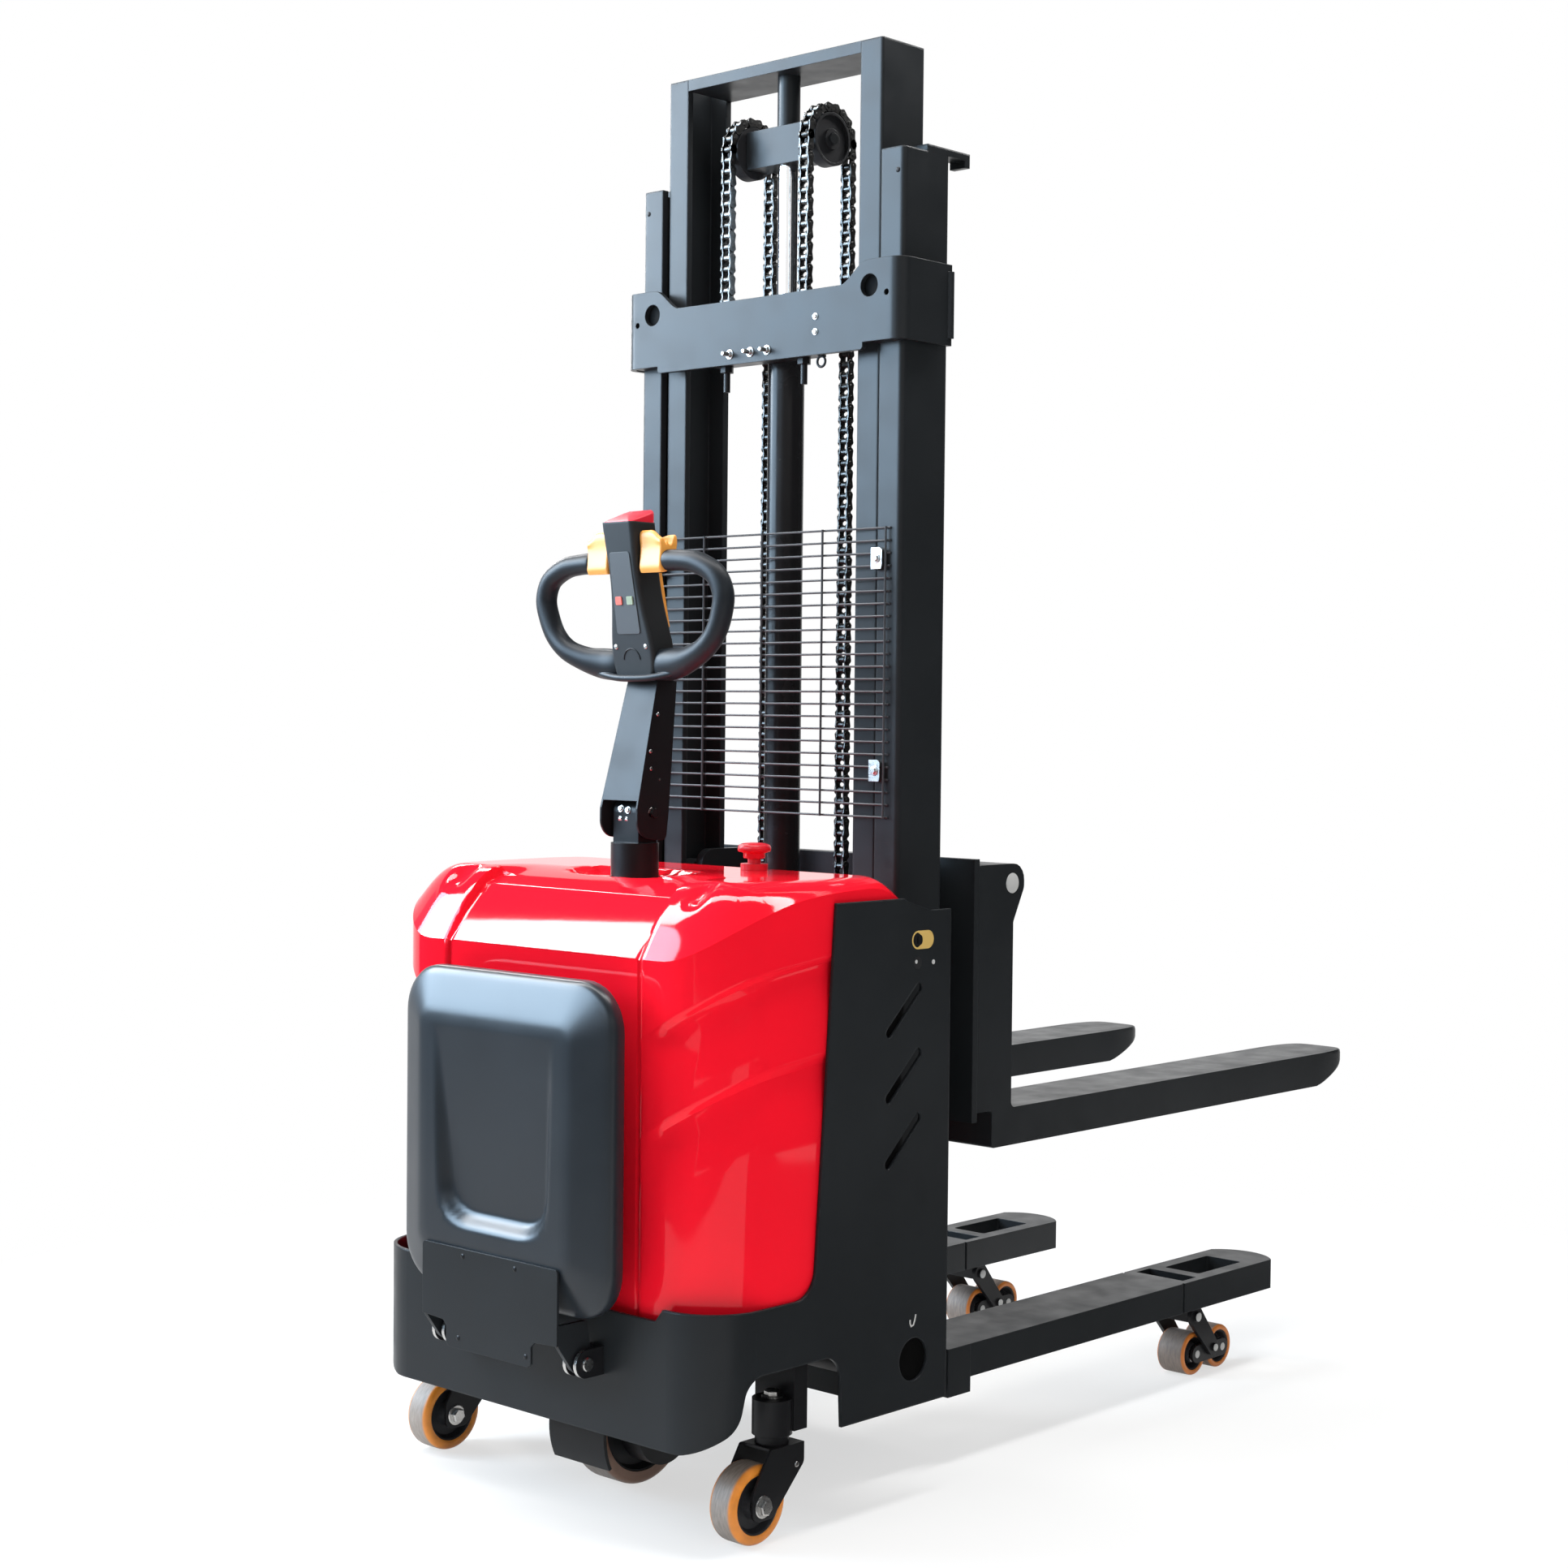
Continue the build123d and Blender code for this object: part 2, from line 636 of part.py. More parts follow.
def mesh_guard():
    """Welded mesh of six-sided wires across the rear of the outer columns."""
    row_y = -MESH_WIRE_R - MESH_TOUCH
    upright_y = row_y - 2 * MESH_WIRE_R - MESH_TOUCH
    rise = (MESH_TOP - MESH_BOTTOM) / (MESH_ROWS - 1)
    spread = 2 * MESH_UPRIGHT_HALF / (MESH_UPRIGHTS - 1)
    row = plate_x(Pos(row_y, MESH_BOTTOM) * RegularPolygon(MESH_WIRE_R, 6), -MESH_HALF, MESH_HALF)
    upright = plate_z(Pos(-MESH_UPRIGHT_HALF, upright_y) * RegularPolygon(MESH_WIRE_R, 6, rotation=30),
                      MESH_BOTTOM - MESH_WIRE_R, MESH_TOP + MESH_WIRE_R)
    wires = [Pos(0, 0, i * rise) * row for i in range(MESH_ROWS)]
    wires += [Pos(i * spread, 0, 0) * upright for i in range(MESH_UPRIGHTS)]
    return Compound(children=wires)


# Inner mast

def inner_column():
    """Right channel of the inner mast, open towards the middle, with its roller stub."""
    section = channel_section((INNER_INSIDE, INNER_OUTSIDE), (INNER_REAR, INNER_FRONT), INNER_WEB,
                              INNER_FLANGE, COLUMN_ROUND / 2)
    channel = plate_z(section, INNER_BOTTOM, INNER_TOP)
    stub_end = OUTER_INSIDE + ROLLER_FACE_GAP + ROLLER_WIDTH
    stub = rod_x(COLUMN_DEPTH / 2, INNER_BOTTOM + GUIDE_ROLLER_RISE, ROLLER_STUB_R, INNER_OUTSIDE, stub_end)
    return channel + stub


def inner_top_bar():
    """Flat bar that ties the inner columns together at the top."""
    height = (INNER_TOP - TOP_BAR_THICKNESS, INNER_TOP)
    return box((-INNER_INSIDE, INNER_INSIDE), (INNER_REAR, INNER_FRONT), height)


def inner_bottom_bar():
    """Bar between the lower ends of the inner columns, in front of the cylinder."""
    return box((-INNER_INSIDE, INNER_INSIDE), (INNER_FRONT - BOTTOM_BAR_DEPTH, INNER_FRONT),
               (INNER_BOTTOM, INNER_BOTTOM + BOTTOM_BAR_HEIGHT))


def crosshead():
    """Head on the piston rod, with the pins of the chain wheels and the post up to the top bar."""
    half_depth = CROSSHEAD_DEPTH / 2
    head = box((-CROSSHEAD_HALF, CROSSHEAD_HALF), (WHEEL_CENTRE_Y - half_depth, WHEEL_CENTRE_Y + half_depth),
               (CROSSHEAD_BOTTOM, CROSSHEAD_TOP))
    pin_end = CHAIN_X + CHAIN_WIDTH / 2 + BOLT_HEAD
    pin = rod_x(WHEEL_CENTRE_Y, WHEEL_CENTRE_Z, WHEEL_PIN_R, CROSSHEAD_HALF, pin_end)
    post = rod_z(0, WHEEL_CENTRE_Y, POST_R, CROSSHEAD_TOP, INNER_TOP - TOP_BAR_THICKNESS)
    return head + both(pin) + post


def piston_rod():
    """Rod from the crosshead down into the barrel, with its piston."""
    rod = rod_z(0, WHEEL_CENTRE_Y, ROD_R, ROD_FOOT, CROSSHEAD_BOTTOM)
    return rod + rod_z(0, WHEEL_CENTRE_Y, BARREL_BORE_R - SLIDE_FIT, ROD_FOOT, ROD_FOOT + PISTON_LENGTH)


def guide_roller(y, z, radius, x_low):
    """Plain roller with a bore for its stub."""
    body = rod_x(y, z, radius, x_low, x_low + ROLLER_WIDTH)
    return body - rod_x(y, z, ROLLER_STUB_R + ROLLER_BORE_PLAY, x_low, x_low + ROLLER_WIDTH)


def inner_guide_rollers():
    """Rollers of the inner mast, which run inside the outer columns."""
    radius = COLUMN_DEPTH / 2 - COLUMN_FLANGE - ROLLER_PLAY
    return both(guide_roller(COLUMN_DEPTH / 2, INNER_BOTTOM + GUIDE_ROLLER_RISE, radius,
                             OUTER_INSIDE + ROLLER_FACE_GAP))


def chain_wheels():
    """Wheels at the ends of the crosshead: a rim that carries the links, dished round the hub."""
    rim_r = CHAIN_RADIUS - CHAIN_PLATE_HALF - WHEEL_CLEARANCE
    face_x = (CHAIN_X - CHAIN_WIDTH / 2, CHAIN_X + CHAIN_WIDTH / 2)
    body = rod_x(WHEEL_CENTRE_Y, WHEEL_CENTRE_Z, rim_r, *face_x)
    dish = rod_x(WHEEL_CENTRE_Y, WHEEL_CENTRE_Z, rim_r - WHEEL_DISH, face_x[1] - WHEEL_DISH, face_x[1])
    hub = rod_x(WHEEL_CENTRE_Y, WHEEL_CENTRE_Z, WHEEL_HUB_R, face_x[1] - WHEEL_DISH, face_x[1])
    bore = rod_x(WHEEL_CENTRE_Y, WHEEL_CENTRE_Z, WHEEL_PIN_R + ROLLER_BORE_PLAY, *face_x)
    return both(body - dish + hub - bore)


# Chains

def chain_run(y, z_top, links):
    """Straight run of links seen from the side: full plates at each pin, waists between them."""
    near_pin = CHAIN_PLATE_FLAT
    near_waist = CHAIN_PITCH / 2
    edge = [(CHAIN_PLATE_HALF, z_top)]
    for i in range(links):
        pin = z_top - i * CHAIN_PITCH
        next_pin = pin - CHAIN_PITCH
        edge += [(CHAIN_PLATE_HALF, pin - near_pin), (CHAIN_WAIST_HALF, pin - near_waist),
                 (CHAIN_PLATE_HALF, next_pin + near_pin)]
    edge.append((CHAIN_PLATE_HALF, z_top - links * CHAIN_PITCH))
    outline = [(y + w, z) for w, z in edge] + [(y - w, z) for w, z in reversed(edge)]
    half = CHAIN_WIDTH / 2
    return plate_x(make_face(Polyline(*outline, close=True)), CHAIN_X - half, CHAIN_X + half)


def chain_wrap():
    """Links bent over the top of a chain wheel."""
    turn = 180.0 / WRAP_LINKS
    steps = [(i * turn / 2, i % 2 == 0) for i in range(2 * WRAP_LINKS + 1)]

    def at(angle, radius):
        swing = radians(angle)
        return (WHEEL_CENTRE_Y + radius * cos(swing), WHEEL_CENTRE_Z + radius * sin(swing))

    waist = CHAIN_RADIUS * cos(radians(turn / 2)) + CHAIN_WAIST_HALF
    outer = [at(angle, CHAIN_RADIUS + CHAIN_PLATE_HALF if pin else waist) for angle, pin in steps]
    inner = [at(angle, CHAIN_RADIUS - CHAIN_PLATE_HALF) for angle in (180, 90, 0)]
    edges = Polyline(*outer) + Line(outer[-1], inner[0]) + ThreePointArc(*inner) + Line(inner[-1], outer[0])
    return plate_x(make_face(edges), CHAIN_X - CHAIN_WIDTH / 2, CHAIN_X + CHAIN_WIDTH / 2)


def chain_anchors():
    """Clevis and threaded rod at the end of each front run, through the shelf."""
    half = CHAIN_WIDTH / 2
    clevis_y = (FRONT_CHAIN_Y - CHAIN_PLATE_HALF, FRONT_CHAIN_Y + CHAIN_PLATE_HALF)
    clevis = box((CHAIN_X - half, CHAIN_X + half), clevis_y, (SHELF_TOP, FRONT_CHAIN_END))
    nut_top = SHELF_TOP - SHELF_THICKNESS
    rod = rod_z(CHAIN_X, FRONT_CHAIN_Y, ANCHOR_ROD_R, nut_top - ANCHOR_ROD_LENGTH, SHELF_TOP)
    nut_face = Pos(CHAIN_X, FRONT_CHAIN_Y) * RegularPolygon(2 * ANCHOR_ROD_R, 6)
    return both(clevis + rod + plate_z(nut_face, nut_top - CLEVIS_HEIGHT / 2, nut_top))


# Carriage and forks

def carriage_roller_y():
    return INNER_REAR + INNER_DEPTH / 2


def carriage_roller_z():
    return (CARRIAGE_BOTTOM + CARRIAGE_ROLLER_INSET, CARRIAGE_TOP - CARRIAGE_ROLLER_INSET)


def carriage_side():
    """Right side plate of the carriage, with the stubs of its two rollers."""
    outside = INNER_INSIDE - CARRIAGE_SIDE_GAP
    corners = [(CARRIAGE_SIDE_REAR, CARRIAGE_BOTTOM), (CARRIAGE_FRONT - CARRIAGE_PLATE, CARRIAGE_BOTTOM),
               (CARRIAGE_FRONT - CARRIAGE_PLATE, CARRIAGE_TOP), (CARRIAGE_SIDE_REAR, CARRIAGE_TOP)]
    face = rounded(corners, [CARRIAGE_CORNER, 0, 0, CARRIAGE_CORNER])
    plate = plate_x(face, outside - CARRIAGE_SIDE, outside)
    stub_end = INNER_INSIDE + ROLLER_FACE_GAP + ROLLER_WIDTH
    for z in carriage_roller_z():
        plate += rod_x(carriage_roller_y(), z, ROLLER_STUB_R, outside, stub_end)
    return plate


def carriage_frame():
    """Side plates, front plate with its window, cross bars and the seats of the chain ends."""
    plate_y_limits = (CARRIAGE_FRONT - CARRIAGE_PLATE, CARRIAGE_FRONT)
    front = box((-CARRIAGE_HALF, CARRIAGE_HALF), plate_y_limits, (CARRIAGE_BOTTOM, CARRIAGE_TOP))
    window_half = INNER_INSIDE - CARRIAGE_SIDE_GAP - 2 * CARRIAGE_SIDE
    window = box((-window_half, window_half), plate_y_limits,
                 (LOWER_BAR_TOP, CARRIAGE_TOP - CARRIAGE_BAR_HEIGHT))
    inside = INNER_INSIDE - CARRIAGE_SIDE_GAP - CARRIAGE_SIDE
    bar_y = (plate_y_limits[0] - CARRIAGE_BAR_DEPTH, plate_y_limits[0])
    lower_bar = box((-inside, inside), bar_y, (CARRIAGE_BOTTOM, LOWER_BAR_TOP))
    upper_bar = box((-inside, inside), bar_y, (CARRIAGE_TOP - CARRIAGE_BAR_HEIGHT, CARRIAGE_TOP))
    seat_z = (REAR_CHAIN_END - CHAIN_SEAT_HEIGHT, REAR_CHAIN_END)
    seat = box((CHAIN_X - CHAIN_SEAT_WIDTH / 2, CHAIN_X + CHAIN_SEAT_WIDTH / 2),
               (REAR_CHAIN_Y - CHAIN_PLATE_HALF, bar_y[0]), seat_z)
    return front - window + lower_bar + upper_bar + both(carriage_side() + seat)


def carriage_rollers(z):
    """Left and right carriage roller on one axis, inside the inner columns."""
    radius = INNER_DEPTH / 2 - INNER_FLANGE - ROLLER_PLAY
    return both(guide_roller(carriage_roller_y(), z, radius, INNER_INSIDE + ROLLER_FACE_GAP))


def fork():
    """Right fork: shank with a rounded shaft lug, stepped heel and a tapered blade, hollow underneath."""
    heel_rear = CARRIAGE_FRONT + FORK_HEEL_STEP
    lug_top = SHAFT_Z + LUG_R
    lug_front = SHAFT_Y + LUG_R
    taper_y = FORK_TIP_Y - FORK_TAPER
    corners = [(CARRIAGE_FRONT, FORK_TOP), (heel_rear, FORK_TOP), (heel_rear, FORK_BOTTOM),
               (taper_y, FORK_BOTTOM), (FORK_TIP_Y, FORK_TOP - FORK_TIP), (FORK_TIP_Y, FORK_TOP),
               (FORK_FRONT, FORK_TOP), (FORK_FRONT, SHAFT_Z - 2 * LUG_R), (lug_front, SHAFT_Z - LUG_R / 4),
               (lug_front, lug_top), (CARRIAGE_FRONT, lug_top)]
    radii = [0, FORK_EDGE, FORK_EDGE, FORK_NOSE_BEND, FORK_EDGE, FORK_EDGE, FORK_HEEL_BEND, FORK_HEEL_BEND,
             0.7 * LUG_R, 0.9 * LUG_R, FORK_EDGE]
    side_view = rounded(corners, radii) - Pos(SHAFT_Y, SHAFT_Z) * Circle(SHAFT_R + SHAFT_PLAY)
    half = FORK_WIDTH / 2
    body = plate_x(side_view, FORK_X - half, FORK_X + half)
    tip_half = FORK_TIP_WIDTH / 2
    start = (FORK_X + along(half, tip_half, -0.2), taper_y - 0.2 * FORK_TAPER)
    end = (FORK_X + along(half, tip_half, 1.2), FORK_TIP_Y + 0.2 * FORK_TAPER)
    flank_face = make_face(Polyline(start, end, (start[0], end[1]), close=True))
    flank = plate_z(flank_face, FORK_BOTTOM - LUG_R, FORK_TOP + LUG_R)
    body -= flank + mirror(flank, about=Plane.YZ.offset(FORK_X))
    wall = FORK_WALL
    hollow = box((FORK_X - half + wall, FORK_X + half - wall), (FORK_FRONT + wall, taper_y - wall),
                 (FORK_BOTTOM, FORK_TOP - wall))
    return body - hollow


def fork_shaft():
    """Shaft through the lugs of both forks."""
    end = FORK_X + FORK_WIDTH / 2
    return rod_x(SHAFT_Y, SHAFT_Z, SHAFT_R, -end, end)


# Chassis

def u_band(height):
    """Plan band of the shell: rounded at the rear, open to the front."""
    def face(inset):
        half = BODY_HALF - inset
        rear = SKIRT_REAR + inset
        corners = [(-half, PANEL_FRONT), (-half, rear), (half, rear), (half, PANEL_FRONT)]
        radius = SKIRT_CORNER - inset
        return rounded(corners, [0, radius, radius, 0])

    return plate_z(face(0) - face(SHELL), *height)


def wheel_arch():
    """Side view of the cut-out for a caster, flared towards the rear."""
    low = SHELL_BOTTOM - SHELL
    corners = [(SKIRT_REAR - SHELL, low), (ARCH_REAR - ARCH_FLARE, ARCH_FLARE_Z), (ARCH_REAR, ARCH_TOP),
               (ARCH_FRONT, ARCH_TOP), (ARCH_FRONT + SHELL, low)]
    return rounded(corners, [0, ARCH_FLARE_ROUND, ARCH_ROUND, ARCH_ROUND, 0])


def panel_cuts():
    """Side view of all that is open above the skirt and along the panel's top edge."""
    above = PANEL_TOP + 2 * SKIRT_CORNER
    rear = [(SKIRT_REAR - SHELL, SKIRT_TOP), (PANEL_REAR_LOW, SKIRT_TOP), (PANEL_REAR_TOP, PANEL_TOP),
            (PANEL_REAR_TOP, above), (SKIRT_REAR - SHELL, above)]
    shoulder = along(PANEL_REAR_TOP, PANEL_FRONT, PANEL_SHOULDER_SHARE)
    tab = along(PANEL_REAR_TOP, PANEL_FRONT, PANEL_TAB_SHARE)
    end = PANEL_FRONT + SHELL
    front = [(shoulder, above), (shoulder, PANEL_TOP), (tab, PANEL_TAB_TOP), (end, PANEL_TAB_TOP),
             (end, above)]
    return rounded(rear, [0, SKIRT_ROUND, 0, 0, 0]), rounded(front, [0, PANEL_ROUND, PANEL_ROUND, 0, 0])


def vent_slots():
    """Slanted slots in a side panel, one above the other."""
    slot = Rot(0, 0, VENT_ANGLE) * SlotCenterToCenter(VENT_LENGTH - VENT_WIDTH, VENT_WIDTH)
    return [Pos(VENT_Y, VENT_Z - i * VENT_STEP) * slot for i in range(VENT_COUNT)]


def chassis_shell():
    """Bent steel U: rear skirt, wheel arches and tall side panels."""
    shell = u_band((SHELL_BOTTOM, PANEL_TOP))
    across = (-BODY_HALF - SHELL, BODY_HALF + SHELL)
    for face in (wheel_arch(), *panel_cuts(), *vent_slots()):
        shell -= plate_x(face, *across)
    low_half, top_half = SKIRT_DIP_HALF, SKIRT_DIP_HALF + SKIRT_DIP_SLANT
    dip_low = SKIRT_TOP - SKIRT_DIP
    dip_edge = Polyline((-top_half, SKIRT_TOP), (-low_half, dip_low), (low_half, dip_low),
                        (top_half, SKIRT_TOP), close=True)
    dip = plate_y(make_face(dip_edge), SKIRT_REAR - SHELL, SKIRT_REAR + SKIRT_CORNER / 2)
    right_wall = (BODY_HALF - 2 * SHELL, BODY_HALF + SHELL)
    holes = plate_x(Pos(KEY_Y, KEY_Z) * Circle(KEY_R + KEY_HOLE_PLAY), *right_wall)
    jack = plate_x(Pos(JACK_HOLE_Y, JACK_HOLE_Z) * Circle(JACK_HOLE_R), *across)
    return shell - dip - holes - jack


def hood_rests():
    """Blocks on the base plate that the hood's lower edge stands on."""
    height = (BASE_TOP, HOOD_BOTTOM)
    half_length = REST_LENGTH / 2
    side_y = along(HOOD_REAR, HOOD_FRONT, 0.45)
    side = box((HOOD_HALF - REST_DEPTH, HOOD_HALF), (side_y - half_length, side_y + half_length), height)
    rear = box((HOOD_GROOVE_X - half_length, HOOD_GROOVE_X + half_length),
               (HOOD_REAR, HOOD_REAR + REST_DEPTH), height)
    return both(side + rear)


def base_plate():
    """Floor of the power compartment, between the shell and the mast, with the hood's rests."""
    half = BODY_HALF - SHELL - BASE_EDGE_GAP
    rear = SKIRT_REAR + SHELL + BASE_EDGE_GAP
    radius = SKIRT_CORNER - SHELL - BASE_EDGE_GAP
    face = rounded([(-half, 0), (-half, rear), (half, rear), (half, 0)], [0, radius, radius, 0])
    return plate_z(face - Pos(0, STEER_Y) * Circle(BASE_HOLE_R), BASE_BOTTOM, BASE_TOP) + hood_rests()


def battery_pack():
    """Battery box with a lid and two terminal posts."""
    y_limits = (BATTERY_FRONT - BATTERY_DEPTH, BATTERY_FRONT)
    lid_z = BASE_TOP + BATTERY_HEIGHT
    case = box((-BATTERY_HALF, BATTERY_HALF), y_limits, (BASE_TOP, lid_z))
    lid_half = BATTERY_HALF - BATTERY_LID_INSET
    lid_y = (y_limits[0] + BATTERY_LID_INSET, y_limits[1] - BATTERY_LID_INSET)
    lid = box((-lid_half, lid_half), lid_y, (lid_z, lid_z + BATTERY_LID_HEIGHT))
    post = rod_z(BATTERY_HALF - BATTERY_POST_INSET, sum(y_limits) / 2, BATTERY_POST_R, lid_z,
                 lid_z + BATTERY_POST_HEIGHT)
    return case + lid + both(post)


def hydraulic_power_unit():
    """Oil tank, valve block and upright pump motor."""
    tank_y = (PUMP_Y - TANK_DEPTH / 2, PUMP_Y + TANK_DEPTH / 2)
    tank_x = (PUMP_X - TANK_LENGTH / 2, PUMP_X + TANK_LENGTH / 2)
    tank = box(tank_x, tank_y, (BASE_TOP, BASE_TOP + TANK_HEIGHT))
    top = BASE_TOP + TANK_HEIGHT
    motor_low = top + VALVE_HALF
    block = box((PUMP_X - VALVE_HALF, PUMP_X + VALVE_HALF), (PUMP_Y - VALVE_HALF, PUMP_Y + VALVE_HALF),
                (top, motor_low))
    motor = rod_z(PUMP_X, PUMP_Y, PUMP_MOTOR_R, motor_low, motor_low + PUMP_MOTOR_HEIGHT)
    return tank + block + motor


def leg():
    """Right support leg: welded box with a pocketed, rounded tip."""
    half = LEG_WIDTH / 2
    x_limits = (LEG_X - half, LEG_X + half)
    tube = box(x_limits, (ROOT_FRONT, LEG_SEAM_Y), (LEG_BOTTOM, LEG_TOP))
    tube -= box((x_limits[0] + LEG_WALL, x_limits[1] - LEG_WALL), (ROOT_FRONT, LEG_SEAM_Y - LEG_WALL),
                (LEG_BOTTOM + LEG_WALL, LEG_TOP - LEG_WALL))
    nose_y = LEG_END_Y - LEG_NOSE
    outline = Polyline((x_limits[1], nose_y), (x_limits[1], LEG_SEAM_Y), (x_limits[0], LEG_SEAM_Y),
                       (x_limits[0], nose_y)) + ThreePointArc((x_limits[0], nose_y), (LEG_X, LEG_END_Y),
                                                              (x_limits[1], nose_y))
    tip = plate_z(make_face(outline), LEG_BOTTOM, LEG_TOP)
    pocket = Pos(LEG_X, POCKET_START + POCKET_LENGTH / 2) * RectangleRounded(POCKET_WIDTH, POCKET_LENGTH, 6)
    tip -= plate_z(pocket, LEG_BOTTOM, LEG_TOP)
    tip -= box((LEG_X - SLOT_WIDTH / 2, LEG_X + SLOT_WIDTH / 2), (SLOT_START, SLOT_START + SLOT_LENGTH),
               (LEG_TOP - SLOT_DEPTH, LEG_TOP))
    seam_y = (LEG_SEAM_Y, LEG_SEAM_Y + LEG_SEAM_WIDTH)
    seam = box((x_limits[1] - LEG_SEAM_DEPTH, x_limits[1]), seam_y, (LEG_BOTTOM, LEG_TOP))
    seam += box((x_limits[0], x_limits[0] + LEG_SEAM_DEPTH), seam_y, (LEG_BOTTOM, LEG_TOP))
    return tube + tip - seam


def shoulder_inset(z, drop):
    """How far a rounded top edge of a given drop has come in at a height."""
    rise = (z - HOOD_TOP) / drop + 1
    return drop * (1 - cos(asin(min(max(rise, 0), 1))))


def hood_section(z, inset):
    """Plan of the hood at a height of its outer form, drawn in all round by an inset."""
    half = HOOD_HALF - shoulder_inset(z, HOOD_EDGE) - inset
    rear = HOOD_REAR + shoulder_inset(z, HOOD_SHOULDER) + inset
    front = HOOD_FRONT - shoulder_inset(z, HOOD_FRONT_DROP) - inset
    front_radius = HOOD_FRONT_CORNER - inset
    rear_radius = HOOD_CORNER - inset
    sink = inset * max(z - (HOOD_TOP - HOOD_SHOULDER), 0.0) / HOOD_SHOULDER
    outline = rounded([(-half, front), (-half, rear), (half, rear), (half, front)],
                      [front_radius, rear_radius, rear_radius, front_radius])
    return Plane.XY.offset(z - sink) * outline


def hood_form(inset):
    """Outer form of the hood: an upright wall and a shoulder that is tall at the rear only."""
    turns = (-12, 0, 20, 40, 58, 72, 82, 90)
    heights = [HOOD_TOP - HOOD_SHOULDER * (1 - sin(radians(turn))) for turn in turns]
    shoulder = loft([hood_section(z, inset) for z in heights])
    return extrude(hood_section(HOOD_BOTTOM, inset), amount=heights[0] - HOOD_BOTTOM) + shoulder


def hood_flute(z_low):
    """Slanted slab of one moulded flute on the right, rising outwards and towards the mast."""
    reach = 2 * HOOD_HALF
    start = Plane(origin=(HOOD_GROOVE_X, HOOD_REAR, z_low), z_dir=(-HOOD_FLUTE_RISE_X, -HOOD_FLUTE_RISE_Y, 1))
    slab = extrude(start * Rectangle(2 * reach, 2 * reach), amount=-HOOD_FLUTE_WIDTH)
    return slab & box((HOOD_GROOVE_X + HOOD_GROOVE_WIDTH, reach), (2 * HOOD_REAR, 0), (0, 2 * HOOD_TOP))


def hood():
    """Moulded cover: shell with panel grooves, side flutes and holes for column and stop."""
    form = hood_form(0)
    shell = form - hood_form(HOOD_WALL)
    groove_skin = form - hood_form(HOOD_GROOVE_DEPTH)
    flute_skin = form - hood_form(HOOD_FLUTE_DEPTH)
    groove_half = HOOD_GROOVE_WIDTH / 2
    for side in (-1, 1):
        middle = side * HOOD_GROOVE_X
        shell -= groove_skin & box((middle - groove_half, middle + groove_half),
                                   (HOOD_REAR - HOOD_WALL, STEER_Y), (HOOD_BOTTOM, HOOD_TOP + HOOD_WALL))
    for i in range(2):
        shell -= flute_skin & both(hood_flute(HOOD_FLUTE_Z - i * HOOD_FLUTE_STEP))
    top = (HOOD_TOP - 2 * HOOD_WALL, HOOD_TOP)
    shell -= rod_z(0, STEER_Y, TILLER_BASE_R + HOOD_COLUMN_PLAY, *top)
    return shell - rod_z(STOP_X, STOP_Y, STOP_NECK_R + STOP_PLAY, *top)


def estop_collar():
    """Fixed collar of the emergency stop, on the hood."""
    top = HOOD_TOP + STOP_COLLAR_HEIGHT
    ring = rod_z(STOP_X, STOP_Y, STOP_COLLAR_R, HOOD_TOP, top)
    return ring - rod_z(STOP_X, STOP_Y, STOP_NECK_R + STOP_PLAY, HOOD_TOP, top)


def estop_knob():
    """Mushroom knob on a neck that slides down through the collar."""
    low = HOOD_TOP + STOP_COLLAR_HEIGHT + STOP_TRAVEL + STOP_KNOB_GAP
    high = low + STOP_KNOB_HEIGHT
    edge = STOP_KNOB_CHAMFER
    rim, face = STOP_KNOB_R, STOP_KNOB_R - edge
    profile = Polyline((0, low), (face, low), (rim, low + edge), (rim, high - edge), (face, high), (0, high),
                       close=True)
    head = revolve(Plane.XZ * make_face(profile), axis=Axis.Z)
    neck = rod_z(STOP_X, STOP_Y, STOP_NECK_R, HOOD_TOP - 2 * HOOD_WALL, low)
    return Pos(STOP_X, STOP_Y, 0) * head + neck


def key_switch():
    """Round switch barrel in the right side panel, with a slot for the key."""
    barrel = rod_x(KEY_Y, KEY_Z, KEY_R, BODY_HALF - KEY_LENGTH, BODY_HALF)
    slot = box((BODY_HALF - SHELL, BODY_HALF), (KEY_Y - KEY_SLOT_HALF, KEY_Y + KEY_SLOT_HALF),
               (KEY_Z - KEY_SLOT_REACH, KEY_Z + KEY_SLOT_REACH))
    return barrel - slot


# Casters

def caster_bracket():
    """Right swivel housing on its arm below the base plate."""
    housing = rod_z(CASTER_X, CASTER_Y, HOUSING_R, HOUSING_BOTTOM, HOUSING_TOP)
    arm_y = (CASTER_Y + HOUSING_R / 2, CASTER_Y + HOUSING_R / 2 + HOUSING_ARM_DEPTH)
    arm_x = (CASTER_X + HOUSING_R - HOUSING_ARM_WIDTH, CASTER_X + HOUSING_R)
    arm = box(arm_x, arm_y, (HOUSING_BOTTOM + CASTER_SHEET, BASE_BOTTOM))
    bore = rod_z(CASTER_X, CASTER_Y, CASTER_SPINDLE_R + SLIDE_FIT, HOUSING_BOTTOM, HOUSING_TOP)
    return housing + arm - bore


